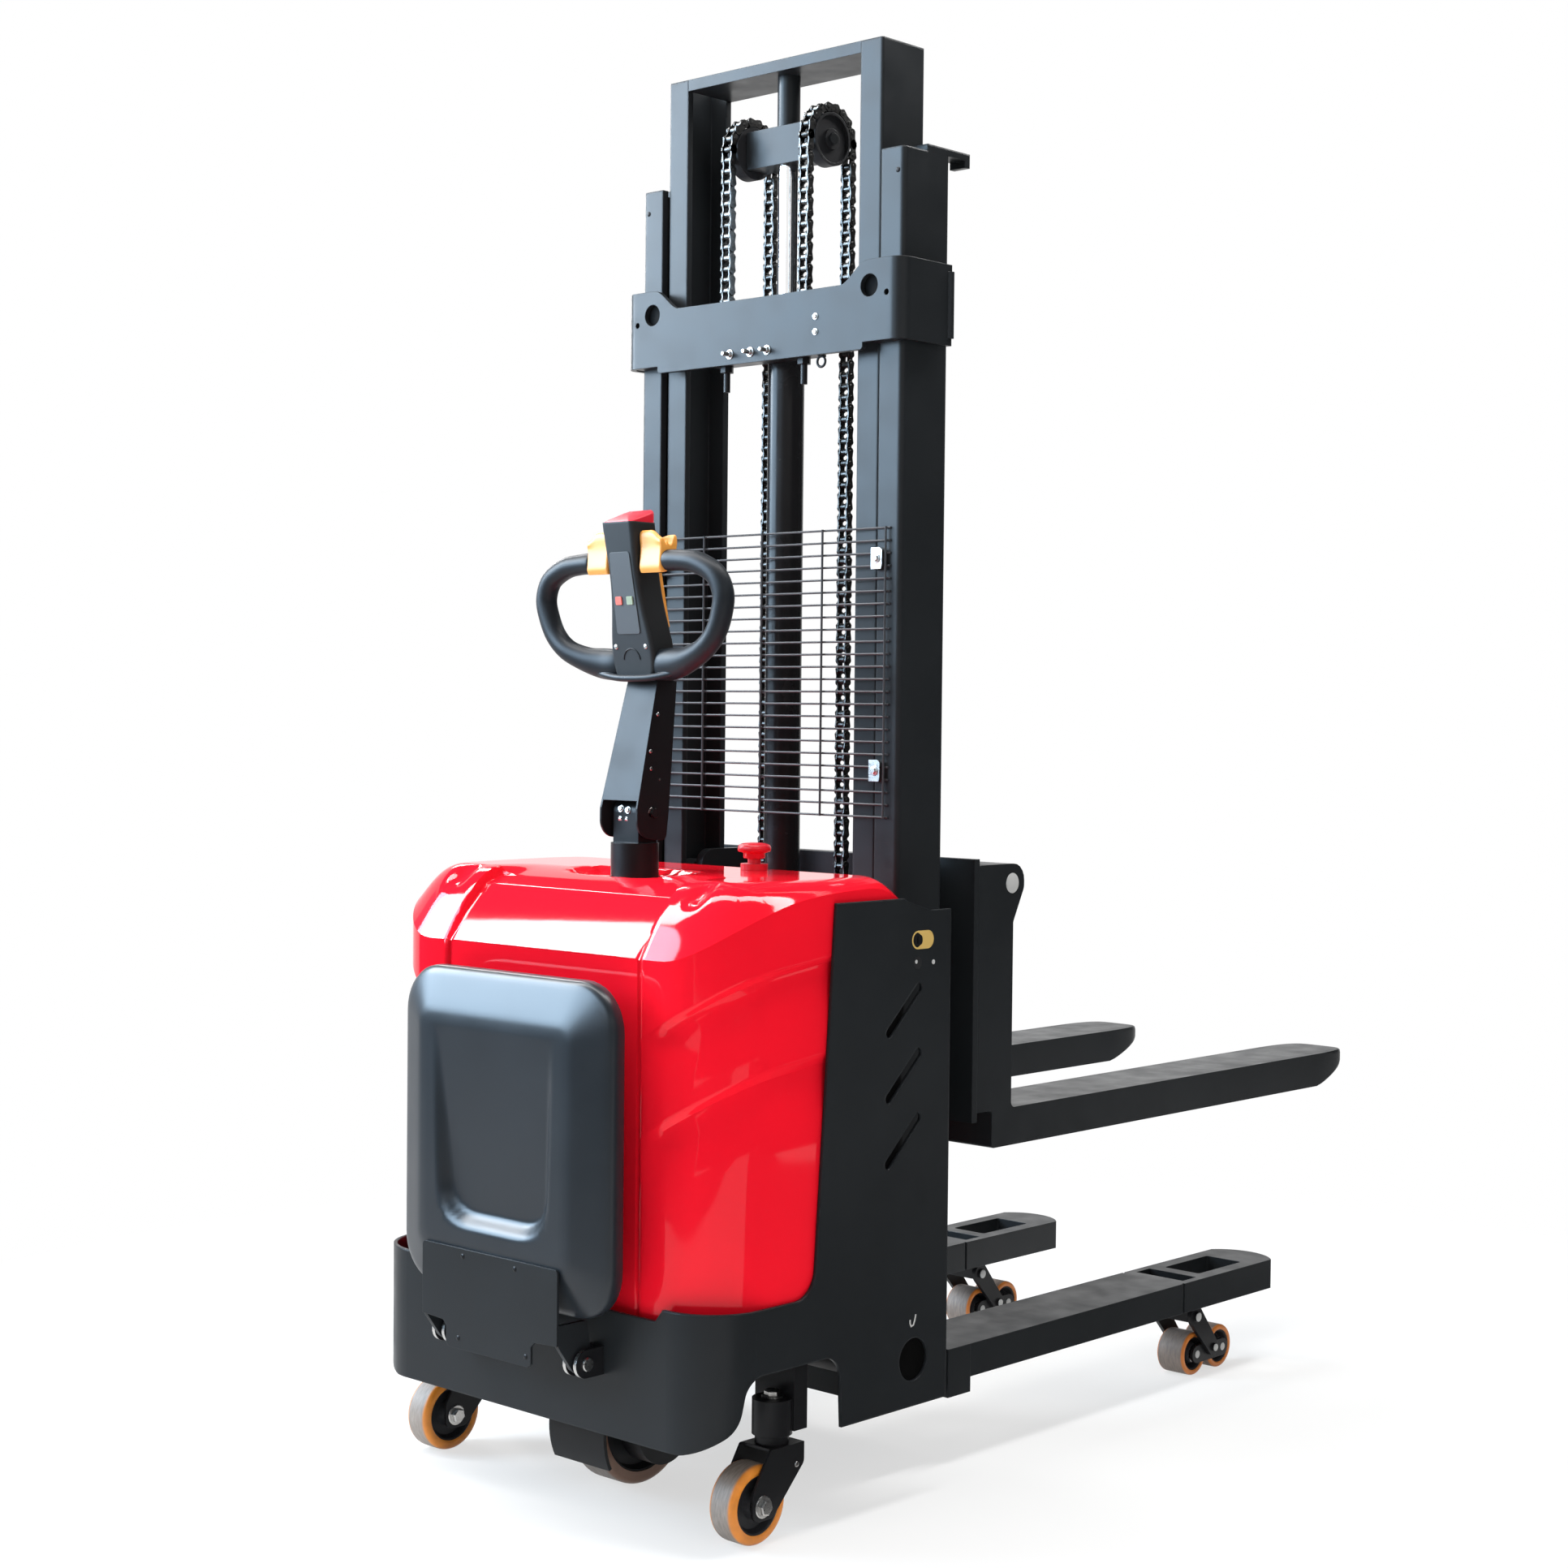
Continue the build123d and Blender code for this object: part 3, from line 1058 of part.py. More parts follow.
def caster_fork():
    """Right caster fork: spindle, collar, head plate, two cheeks and the axle bolt."""
    inner = CASTER_WHEEL_WIDTH / 2 + CASTER_SIDE_GAP
    outer = inner + CASTER_SHEET
    head_low = CASTER_HEAD_TOP - CASTER_SHEET
    axle_y = CASTER_Y - CASTER_TRAIL
    axle_z = CASTER_WHEEL_R
    boss = CASTER_BOSS
    head_y = (CASTER_Y - CASTER_HEAD_HALF, CASTER_Y + CASTER_HEAD_HALF)
    corners = [(head_y[0], CASTER_HEAD_TOP), (axle_y - boss, axle_z + boss), (axle_y - boss, axle_z - boss),
               (axle_y + boss, axle_z - boss), (head_y[1], CASTER_CHEEK_Z), (head_y[1], CASTER_HEAD_TOP)]
    cheek = plate_x(rounded(corners, [CASTER_SHEET] + 4 * [CASTER_ROUND] + [CASTER_SHEET]), inner, outer)
    head = box((-outer, outer), (head_y[0] + CASTER_SHEET, head_y[1]), (head_low, CASTER_HEAD_TOP))
    axle = rod_x(axle_y, axle_z, AXLE_R, -outer - BOLT_HEAD, outer + BOLT_HEAD)
    collar = rod_z(0, CASTER_Y, CASTER_COLLAR_R, CASTER_HEAD_TOP, HOUSING_BOTTOM - SEAT_GAP)
    spindle = rod_z(0, CASTER_Y, CASTER_SPINDLE_R, CASTER_HEAD_TOP, HOUSING_TOP + BOLT_HEAD)
    return Pos(CASTER_X, 0, 0) * (both(cheek) + head + axle + collar + spindle)


def wheel(radius, width, bore, hub, dish):
    """Wheel about the X axis at the origin: chamfered tyre, dished faces and a hub."""
    half = width / 2
    web = half - dish
    tyre = radius * TYRE_SHARE
    edge = min(dish, (radius - tyre) / 2)
    right = [(half, bore), (half, hub), (web, hub), (web, tyre), (half, tyre), (half, radius - edge),
             (half - edge, radius)]
    left = [(-x, r) for x, r in reversed(right)]
    return revolve(make_face(Polyline(*right, *left, close=True)), axis=Axis.X)


def caster_wheel():
    tyre = wheel(CASTER_WHEEL_R, CASTER_WHEEL_WIDTH, AXLE_R + AXLE_PLAY, CASTER_HUB_R, CASTER_DISH)
    return Pos(CASTER_X, CASTER_Y - CASTER_TRAIL, CASTER_WHEEL_R) * tyre


# Load rollers

def bogie_plate_x():
    """Inner and outer face of a bogie plate, from the middle of the leg."""
    inner = LOAD_ROLLER_WIDTH / 2 + BOGIE_SIDE_GAP
    return inner, inner + BOGIE_PLATE


def roller_bracket():
    """Block under the leg tip with two link plates down to the bogie pivots."""
    inner = bogie_plate_x()[1] + LINK_GAP
    outer = inner + LINK_PLATE
    block = box((-inner, inner), (LINK_TOP_Y - LINK_BLOCK_LENGTH / 2, LINK_TOP_Y + LINK_BLOCK_LENGTH / 2),
                (LEG_BOTTOM - LINK_BLOCK_DROP, LEG_BOTTOM))
    ends = capsule((LINK_TOP_Y, LINK_TOP_Z - LINK_R / 2, LINK_R), (BOGIE_Y, BOGIE_PIVOT_Z, LINK_R * 0.8))
    link = plate_x(ends, inner, outer) & box((inner, outer), (LINK_TOP_Y - 2 * LINK_R, BOGIE_Y + 2 * LINK_R),
                                             (0, LEG_BOTTOM))
    pivot = rod_x(BOGIE_Y, BOGIE_PIVOT_Z, AXLE_R, bogie_plate_x()[0], outer + BOLT_HEAD)
    head = rod_x(LINK_TOP_Y, LINK_TOP_Z - LINK_R / 2, LINK_R / 2, outer, outer + BOLT_HEAD)
    return Pos(LEG_X, 0, 0) * (block + both(link + pivot + head))


def bogie():
    """Two side plates that rock on the pivots, joined by the roller axles."""
    inner, outer = bogie_plate_x()
    reach = BOGIE_SPACING / 2
    ends = capsule((BOGIE_Y - reach, LOAD_ROLLER_R, BOGIE_PLATE_HALF),
                   (BOGIE_Y + reach, LOAD_ROLLER_R, BOGIE_PLATE_HALF))
    face = ends - Pos(BOGIE_Y, BOGIE_PIVOT_Z) * Circle(AXLE_R + AXLE_PLAY)
    plates = both(plate_x(face, inner, outer))
    for side in (-1, 1):
        plates += rod_x(BOGIE_Y + side * reach, LOAD_ROLLER_R, AXLE_R, -outer, outer)
    return Pos(LEG_X, 0, 0) * plates


def load_roller(side):
    """Roller behind (-1) or in front (+1) of the right bogie's pivot."""
    body = wheel(LOAD_ROLLER_R, LOAD_ROLLER_WIDTH, AXLE_R + AXLE_PLAY, LOAD_ROLLER_HUB_R, LOAD_ROLLER_DISH)
    return Pos(LEG_X, BOGIE_Y + side * BOGIE_SPACING / 2, LOAD_ROLLER_R) * body


# Steered drive and tiller

def drive_unit():
    """Turntable ring on the base plate, drive motor above it, gearbox beside the wheel, guard."""
    gear_x = (DRIVE_WHEEL_WIDTH / 2 + GEARBOX_GAP, DRIVE_WHEEL_WIDTH / 2 + GEARBOX_GAP + GEARBOX_WIDTH)
    ring_low = BASE_TOP + SEAT_GAP
    neck = rod_z(0, STEER_Y, NECK_R, NECK_BOTTOM, ring_low + RING_HEIGHT)
    ring = rod_z(0, STEER_Y, RING_R, ring_low, ring_low + RING_HEIGHT)
    motor = rod_z(0, STEER_Y, MOTOR_R, ring_low + RING_HEIGHT, ring_low + RING_HEIGHT + MOTOR_HEIGHT)
    gear_face = capsule((STEER_Y, DRIVE_WHEEL_R, GEARBOX_R), (STEER_Y, NECK_BOTTOM, GEARBOX_R * 0.7))
    gearbox = plate_x(gear_face, *gear_x) - box(gear_x, (STEER_Y - RING_R, STEER_Y + RING_R),
                                                (BASE_BOTTOM - SEAT_GAP, BASE_TOP))
    axle = rod_x(STEER_Y, DRIVE_WHEEL_R, DRIVE_WHEEL_BORE_R, -DRIVE_WHEEL_WIDTH / 2, gear_x[0])
    guard_r = DRIVE_WHEEL_R + GUARD_GAP
    reach = 3 * guard_r
    turns = (GUARD_START, (GUARD_START + GUARD_END) / 2, GUARD_END)
    fan = [(reach * cos(radians(turn)), reach * sin(radians(turn))) for turn in turns]
    sector = make_face(Polyline((0, 0), *fan, close=True))
    ring_face = (Circle(guard_r + GUARD_THICKNESS) - Circle(guard_r)) & sector
    guard = plate_x(Pos(STEER_Y, DRIVE_WHEEL_R) * ring_face, -GUARD_HALF, GUARD_HALF)
    return neck + ring + motor + gearbox + axle + guard


def drive_wheel():
    bore = DRIVE_WHEEL_BORE_R + DRIVE_HUB_PLAY
    body = wheel(DRIVE_WHEEL_R, DRIVE_WHEEL_WIDTH, bore, DRIVE_WHEEL_BORE_R * 2, DRIVE_WHEEL_DISH)
    return Pos(0, STEER_Y, DRIVE_WHEEL_R) * body


def steering_column():
    """Tube up from the drive motor, tiller base and the fork that holds the tiller pin."""
    motor_top = BASE_TOP + SEAT_GAP + RING_HEIGHT + MOTOR_HEIGHT
    tube = rod_z(0, STEER_Y, STEER_TUBE_R, motor_top, TILLER_BASE_TOP)
    base = rod_z(0, STEER_Y, TILLER_BASE_R, HOOD_TOP - HOOD_SHOULDER / 2, TILLER_BASE_TOP)
    block_face = capsule((STEER_Y, TILLER_PIVOT_Z, PIVOT_BLOCK_R), (STEER_Y, TILLER_BASE_TOP, PIVOT_BLOCK_R))
    block = plate_x(block_face, -PIVOT_BLOCK_HALF, PIVOT_BLOCK_HALF)
    block &= box((-ARM_HALF_LOW, ARM_HALF_LOW), (STEER_Y - ARM_HALF_LOW, STEER_Y + ARM_HALF_LOW),
                 (TILLER_BASE_TOP, TILLER_PIVOT_Z + PIVOT_BLOCK_R))
    pin_half = ARM_HALF_LOW + BOLT_HEAD
    pin = rod_x(STEER_Y, TILLER_PIVOT_Z, TILLER_PIN_R, -pin_half, pin_half)
    return tube + base + block + pin


def arm_taper(inset):
    """Front view of the arm, narrower towards the head."""
    low = TILLER_BASE_TOP - ARM_HALF_LOW
    high = ARM_TOP
    half_low = ARM_HALF_LOW - inset
    half_high = ARM_HALF_HIGH - inset
    points = [(-half_low, low), (half_low, low), (half_low, TILLER_PIVOT_Z), (half_high, high),
              (-half_high, high), (-half_low, TILLER_PIVOT_Z)]
    face = make_face(Polyline(*points, close=True))
    return plate_y(face, ARM_LOW_REAR - half_low, ARM_HIGH_FRONT + half_low)


def tiller_arm():
    """Folded channel: two side plates and a rear plate, open at the foot and to the front."""
    foot = TILLER_BASE_TOP + ARM_FOOT_GAP
    width = (-ARM_HALF_LOW, ARM_HALF_LOW)
    outline = [(ARM_LOW_REAR, foot + ARM_FOOT_RISE), (ARM_LOW_FRONT, foot), (ARM_HIGH_FRONT, ARM_TOP),
               (ARM_HIGH_REAR, ARM_TOP), (ARM_LOW_REAR, TILLER_PIVOT_Z + ARM_FOOT_RISE)]
    solid = plate_x(rounded(outline, [ARM_HEEL_ROUND, ARM_TOE_ROUND, 0, 0, 0]), *width) & arm_taper(0)
    rear, front = ARM_LOW_REAR - ARM_SHEET, ARM_HIGH_FRONT + ARM_SHEET
    inside = [(ARM_LOW_REAR + ARM_SHEET, ARM_OPEN_TOP), (ARM_HIGH_REAR + ARM_SHEET, ARM_TOP),
              (front, ARM_TOP), (front, foot), (rear, foot), (rear, ARM_OPEN_TOP)]
    hollow = plate_x(make_face(Polyline(*inside, close=True)), *width) & arm_taper(ARM_SHEET)
    return solid - hollow - rod_x(STEER_Y, TILLER_PIVOT_Z, TILLER_PIN_R + AXLE_PLAY, *width)


def head_lean_y(z, front):
    """Y of the head's rear or front face at a height."""
    low, high = (HEAD_FOOT_FRONT, HEAD_TOP_FRONT) if front else (HEAD_FOOT_REAR, HEAD_TOP_REAR)
    return along(low, high, (z - ARM_TOP) / (HEAD_TOP - ARM_TOP))


def head_plane(z):
    """Plane on the head's rear face at a height, looking out towards the operator."""
    lean = Vector(0, HEAD_TOP_REAR - HEAD_FOOT_REAR, HEAD_TOP - ARM_TOP).normalized()
    outward = Vector(0, -lean.Z, lean.Y)
    return Plane(origin=(0, head_lean_y(z, False), z), x_dir=(1, 0, 0), z_dir=outward)


def head_section(z, half):
    """Plan of the head at a height: a rounded rectangle between its leaning faces."""
    rear, front = head_lean_y(z, False), head_lean_y(z, True)
    return Pos(0, (rear + front) / 2, z) * RectangleRounded(2 * half, front - rear, HEAD_ROUND)


def head_form():
    """Outer form of the head: leaning in side view, flared over its foot in rear view."""
    middle = (HEAD_FLARE_Z + HEAD_WAIST_Z) / 2
    stations = [(ARM_TOP, HEAD_FOOT_HALF), (HEAD_FLARE_Z, HEAD_FLARE_HALF),
                (middle, (HEAD_FLARE_HALF + HEAD_HALF) / 2), (HEAD_WAIST_Z, HEAD_HALF), (HEAD_TOP, HEAD_HALF)]
    return loft([head_section(z, half) for z, half in stations])


def tiller_head():
    """Head of the tiller with wells for the cap and the panel buttons, and the lever's ears."""
    body = head_form()
    well = CAP_STEM_INSET - BUTTON_PLAY
    depth = CAP_STEM + CAP_TRAVEL
    body -= box((well - HEAD_HALF, HEAD_HALF - well), (HEAD_TOP_REAR + well, HEAD_TOP_FRONT - well),
                (HEAD_TOP - depth, HEAD_TOP))
    side = PANEL_BUTTON + 2 * BUTTON_PLAY
    button_depth = PANEL_BUTTON_DEPTH + PANEL_BUTTON_TRAVEL
    for x in (-PANEL_BUTTON_X, PANEL_BUTTON_X):
        face = head_plane(PANEL_BUTTON_Z).offset(-button_depth) * Pos(x, 0) * Rectangle(side, side)
        body -= extrude(face, amount=button_depth + PANEL_BUTTON_PROUD)
    pin_y = head_lean_y(LEVER_PIVOT_Z, True) + LEVER_STAND_OFF
    ear_face = capsule((pin_y, LEVER_PIVOT_Z, LEVER_BARREL_R),
                       (pin_y - LEVER_STAND_OFF, LEVER_PIVOT_Z, LEVER_BARREL_R))
    ear_x = LEVER_HALF + BUTTON_PLAY
    body += both(plate_x(ear_face, ear_x, ear_x + LEVER_EAR))
    return body + rod_x(pin_y, LEVER_PIVOT_Z, LEVER_PIN_R, -ear_x, ear_x)


def reverse_button():
    """Red cap on top of the head with a stem that slides in the head's well."""
    low = HEAD_TOP + CAP_TRAVEL + BUTTON_PLAY
    top = low + CAP_HEIGHT
    corners = [(HEAD_TOP_REAR, low), (HEAD_TOP_FRONT, low), (HEAD_TOP_FRONT - CAP_TRAVEL, top),
               (HEAD_TOP_REAR + CAP_HEIGHT, top)]
    crown = plate_x(rounded(corners, [0, 0, CAP_BROW, CAP_BACK]), -HEAD_HALF, HEAD_HALF)
    inset = CAP_STEM_INSET
    stem = box((inset - HEAD_HALF, HEAD_HALF - inset), (HEAD_TOP_REAR + inset, HEAD_TOP_FRONT - inset),
               (HEAD_TOP - CAP_STEM, low))
    return crown + stem


def panel_button(x):
    """Square push button in the head's rear face."""
    foot = head_plane(PANEL_BUTTON_Z).offset(-PANEL_BUTTON_DEPTH)
    face = foot * Pos(x, 0) * RectangleRounded(PANEL_BUTTON, PANEL_BUTTON, PANEL_BUTTON_ROUND)
    return extrude(face, amount=PANEL_BUTTON_DEPTH + PANEL_BUTTON_PROUD)


def horn_lever():
    """Lever on the mast side of the head, on the pin between the ears."""
    pin_y = head_lean_y(LEVER_PIVOT_Z, True) + LEVER_STAND_OFF
    foot_z = LEVER_PIVOT_Z - LEVER_LENGTH
    foot_y = head_lean_y(foot_z, True) + LEVER_FOOT_GAP
    edge = LEVER_THICKNESS / 3
    width = (-LEVER_HALF, LEVER_HALF)
    blade = rounded([(pin_y, LEVER_PIVOT_Z + LEVER_THICKNESS / 2), (pin_y + LEVER_THICKNESS, LEVER_PIVOT_Z),
                     (foot_y + LEVER_THICKNESS, foot_z), (foot_y, foot_z),
                     (pin_y, LEVER_PIVOT_Z - LEVER_BARREL_R)], [0, edge, edge, edge, 0])
    body = plate_x(blade, *width) + rod_x(pin_y, LEVER_PIVOT_Z, LEVER_BARREL_R, *width)
    return body - rod_x(pin_y, LEVER_PIVOT_Z, LEVER_PIN_R + AXLE_PLAY, *width)


def grip_plane():
    """Leaning plane of the two loop grips, x to the side and y up the lean."""
    y = head_lean_y(GRIP_TOP, False) + GRIP_SET_IN
    lean = radians(GRIP_LEAN)
    return Plane(origin=(0, y, GRIP_TOP), x_dir=(1, 0, 0), z_dir=(0, -cos(lean), -sin(lean)))


def grip_yoke():
    """Lower bar of the right grip, swelling from a round to a tall oval as it runs in under the head."""
    plane = grip_plane()
    start = plane.from_local_coords(Vector(YOKE_START, -GRIP_DROP))
    sections = []
    for step in range(YOKE_SECTIONS):
        share = step / (YOKE_SECTIONS - 1)
        swell = (1 - cos(pi * share)) / 2
        centre = (along(YOKE_START, YOKE_FULL, share), start.Y + YOKE_TUCK * swell, start.Z)
        oval = Ellipse(along(GRIP_R, YOKE_HEIGHT / 2, swell), along(GRIP_R, YOKE_DEPTH / 2, swell))
        sections.append(Plane(origin=centre, x_dir=plane.y_dir, z_dir=(-1, 0, 0)) * oval)
    return loft(sections) + extrude(sections[-1], amount=YOKE_FULL - HEAD_HALF)


def tiller_grip():
    """Right loop grip: a tube from the head's neck out, down and back in through the yoke to the head."""
    corners = [(GRIP_START, 0), (GRIP_REACH, 0), (GRIP_REACH, -GRIP_DROP), (YOKE_START, -GRIP_DROP)]
    line = grip_plane() * FilletPolyline(*corners, radius=GRIP_BEND)
    tube = sweep(Plane(origin=line @ 0, z_dir=line % 0) * Circle(GRIP_R), path=line)
    neck = rod_x(grip_plane().origin.Y, GRIP_TOP, GRIP_NECK_R, HEAD_HALF - HEAD_ROUND, GRIP_START)
    return tube + neck + grip_yoke() - head_form()


def throttle_paddle():
    """Right thumb paddle: a hub that turns on the grip's neck, with an upper and a lower wing."""
    y = grip_plane().origin.Y
    hub = Pos(y, GRIP_TOP) * Circle(PADDLE_HUB_R)
    tip_y = y - PADDLE_HUB_R - PADDLE_LIP
    top, low = GRIP_TOP + PADDLE_UP, GRIP_TOP - PADDLE_DOWN
    wing = rounded([(tip_y, top), (tip_y + PADDLE_WING, top), (y, GRIP_TOP), (y, low), (tip_y, low),
                    (y - PADDLE_HUB_R, GRIP_TOP)], [PADDLE_ROUND] * 5 + [PADDLE_HUB_R])
    face = hub + wing - Pos(y, GRIP_TOP) * Circle(GRIP_NECK_R + PADDLE_PLAY)
    return plate_x(face, HEAD_HALF + PADDLE_GAP, GRIP_START - PADDLE_GAP)


# Folding platform

def pad_outline(inset):
    """Rear view of the pad, drawn in by an inset."""
    half = PAD_HALF - inset
    low, high = PAD_BOTTOM + inset, PAD_TOP - inset
    radius = along(PAD_CORNER, PAD_FACE_CORNER, inset / PAD_BEVEL_WIDTH)
    return rounded([(-half, low), (half, low), (half, high), (-half, high)], [radius] * 4)


def pad_recess(inset, radius):
    """Rear view of the tapered recess in the pad's face, drawn in by an inset at its foot."""
    top_half = PAD_RECESS_TOP_HALF - inset / 4
    low_half = PAD_RECESS_LOW_HALF - inset * 0.7
    low = PAD_RECESS_LOW + inset
    corners = [(-low_half, low), (low_half, low), (top_half, PAD_RECESS_TOP), (-top_half, PAD_RECESS_TOP)]
    return rounded(corners, [radius, radius, 0, 0])


def platform_pad():
    """Moulded pad folded up against the rear: bevelled border and a recess that fades out upwards."""
    bevel_y = PAD_REAR + PAD_BEVEL
    slab = plate_y(pad_outline(0), bevel_y, PAD_FRONT)
    face_plane = Plane.XZ.offset(-PAD_REAR)
    border = loft([Plane.XZ.offset(-bevel_y) * pad_outline(0), face_plane * pad_outline(PAD_BEVEL_WIDTH)])
    floor_y = PAD_REAR + PAD_RECESS_DEPTH
    floor = pad_recess(PAD_RECESS_SLOPE, PAD_RECESS_ROUND - PAD_RECESS_SLOPE)
    well = loft([face_plane * pad_recess(0, PAD_RECESS_ROUND), Plane.XZ.offset(-floor_y) * floor])
    wedge = [(PAD_REAR, PAD_RECESS_TOP), (floor_y, PAD_RECESS_LOW + PAD_RECESS_SLOPE),
             (floor_y, PAD_RECESS_LOW), (PAD_REAR, PAD_RECESS_LOW)]
    return slab + border - (well & plate_x(make_face(Polyline(*wedge, close=True)), -PAD_HALF, PAD_HALF))


def platform_plate():
    """Bent plate under the pad, with two lugs that turn on the hinge pins."""
    ear_z = PLATE_BOTTOM + PLATE_EAR_RISE
    tongue = PLATE_HALF - PLATE_EAR_WIDTH
    right = [(tongue, PLATE_BOTTOM), (tongue, ear_z - PLATE_EAR_SLOPE), (PLATE_HALF, ear_z),
             (PLATE_HALF, PLATE_TOP)]
    left = [(-x, z) for x, z in reversed(right)]
    radii = [PLATE_ROUND, PLATE_ROUND, 0, PLATE_ROUND]
    sheet = plate_y(rounded(right + left, radii + radii[::-1]), PLATE_REAR, PAD_REAR)
    lug_x = (PLATE_HALF - PLATE_LUG, PLATE_HALF)
    lug_top = PAD_BOTTOM - HINGE_EAR
    corners = [(PAD_REAR, ear_z), (HINGE_Y - HINGE_EAR_R, HINGE_Z), (HINGE_Y, HINGE_Z - HINGE_EAR_R),
               (HINGE_Y + HINGE_EAR_R, HINGE_Z), (HINGE_Y + HINGE_EAR_R / 2, lug_top), (PAD_REAR, lug_top)]
    flange = rounded(corners, [0, HINGE_EAR, 2 * HINGE_EAR, HINGE_EAR, PLATE_ROUND, 0])
    lug = plate_x(flange - Pos(HINGE_Y, HINGE_Z) * Circle(HINGE_PIN_R + HINGE_PLAY), *lug_x)
    return sheet + both(lug)


def platform_brackets():
    """Pairs of ears on the skirt with the hinge pins through them."""
    inner = (PLATE_HALF - PLATE_LUG - HINGE_EAR_GAP - HINGE_EAR, PLATE_HALF - PLATE_LUG - HINGE_EAR_GAP)
    outer = (PLATE_HALF + HINGE_EAR_GAP, PLATE_HALF + HINGE_EAR_GAP + HINGE_EAR)
    face = capsule((HINGE_Y, HINGE_Z, HINGE_EAR_R), (SKIRT_REAR, HINGE_Z, HINGE_EAR_R))
    face &= Pos(SKIRT_REAR - 2 * HINGE_EAR_R, HINGE_Z) * Rectangle(4 * HINGE_EAR_R, 4 * HINGE_EAR_R)
    ears = plate_x(face, *inner) + plate_x(face, *outer)
    pin = rod_x(HINGE_Y, HINGE_Z, HINGE_PIN_R, inner[0] - BOLT_HEAD, outer[1] + BOLT_HEAD)
    return both(ears + pin)


def all_parts():
    """Every node of the machine by name."""
    lower_z, upper_z = carriage_roller_z()
    return {
        "chassis_shell": chassis_shell(),
        "base_plate": base_plate(),
        "hood": hood(),
        "battery_pack": battery_pack(),
        "hydraulic_power_unit": hydraulic_power_unit(),
        "right_outer_column": outer_column(),
        "left_outer_column": mirrored(outer_column()),
        "mast_crossmember": crossmember(),
        "mast_foot_beam": foot_beam(),
        "cylinder_barrel": cylinder_barrel() + cylinder_gland(),
        "right_leg": leg(),
        "left_leg": mirrored(leg()),
        "mesh_guard": mesh_guard(),
        "platform_brackets": platform_brackets(),
        "chain_anchors": chain_anchors(),
        "front_chains": both(chain_run(FRONT_CHAIN_Y, WHEEL_CENTRE_Z, FRONT_LINKS)),
        "caster_brackets": both(caster_bracket()),
        "estop_collar": estop_collar(),
        "roller_brackets": both(roller_bracket()),
        "right_inner_column": inner_column(),
        "left_inner_column": mirrored(inner_column()),
        "inner_top_bar": inner_top_bar(),
        "inner_bottom_bar": inner_bottom_bar(),
        "crosshead": crosshead(),
        "piston_rod": piston_rod(),
        "chain_wraps": both(chain_wrap()),
        "chain_wheels": chain_wheels(),
        "inner_guide_rollers": inner_guide_rollers(),
        "carriage_frame": carriage_frame(),
        "carriage_lower_rollers": carriage_rollers(lower_z),
        "carriage_upper_rollers": carriage_rollers(upper_z),
        "rear_chains": both(chain_run(REAR_CHAIN_Y, WHEEL_CENTRE_Z, REAR_LINKS)),
        "fork_shaft": fork_shaft(),
        "right_fork": fork(),
        "left_fork": mirrored(fork()),
        "drive_unit": drive_unit(),
        "drive_wheel": drive_wheel(),
        "steering_column": steering_column(),
        "tiller_arm": tiller_arm(),
        "tiller_head": tiller_head(),
        "tiller_grips": both(tiller_grip()),
        "reverse_button": reverse_button(),
        "throttle_paddles": both(throttle_paddle()),
        "lift_button": panel_button(PANEL_BUTTON_X),
        "lower_button": panel_button(-PANEL_BUTTON_X),
        "horn_lever": horn_lever(),
        "estop_knob": estop_knob(),
        "key_switch": key_switch(),
        "platform_pad": platform_pad(),
        "platform_plate": platform_plate(),
        "right_caster_fork": caster_fork(),
        "left_caster_fork": mirrored(caster_fork()),
        "right_caster_wheel": caster_wheel(),
        "left_caster_wheel": mirrored(caster_wheel()),
        "right_bogie": bogie(),
        "left_bogie": mirrored(bogie()),
        "right_rear_roller": load_roller(-1),
        "right_front_roller": load_roller(1),
        "left_rear_roller": mirrored(load_roller(-1)),
        "left_front_roller": mirrored(load_roller(1)),
    }


os.makedirs("parts", exist_ok=True)
for node, shape in all_parts().items():
    export_step(Pos(0, -Y_MID, 0) * shape, f"parts/{node}.step")
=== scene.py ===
from math import atan2, cos, exp, hypot, pi, radians, sin

import bmesh
import bpy
from mathutils import Matrix, Vector


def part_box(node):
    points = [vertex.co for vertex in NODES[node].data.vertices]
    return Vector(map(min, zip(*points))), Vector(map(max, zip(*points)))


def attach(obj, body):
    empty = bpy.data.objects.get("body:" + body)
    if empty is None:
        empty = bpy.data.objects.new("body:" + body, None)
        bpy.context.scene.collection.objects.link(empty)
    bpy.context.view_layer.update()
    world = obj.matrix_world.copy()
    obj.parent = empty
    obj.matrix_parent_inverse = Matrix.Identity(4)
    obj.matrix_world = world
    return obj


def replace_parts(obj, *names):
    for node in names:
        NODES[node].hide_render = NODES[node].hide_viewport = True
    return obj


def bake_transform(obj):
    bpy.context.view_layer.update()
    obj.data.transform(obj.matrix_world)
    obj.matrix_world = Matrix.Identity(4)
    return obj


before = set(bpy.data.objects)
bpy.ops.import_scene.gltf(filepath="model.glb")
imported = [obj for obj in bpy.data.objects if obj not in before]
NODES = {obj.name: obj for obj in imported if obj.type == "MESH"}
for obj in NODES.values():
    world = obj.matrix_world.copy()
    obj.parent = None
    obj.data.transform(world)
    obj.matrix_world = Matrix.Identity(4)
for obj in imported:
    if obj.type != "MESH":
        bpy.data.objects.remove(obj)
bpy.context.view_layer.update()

# Millimetres behind the names below are measured as on the machine: X to its right hand
# side, Y forwards from the rear face of the outer mast columns, Z up from the floor.
MM = 0.001
MAST_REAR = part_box("right_outer_column")[0].y
SIDES = (("right", 1), ("left", -1))
RIGHT, BACK, UP = (1, 0, 0), (0, -1, 0), (0, 0, 1)

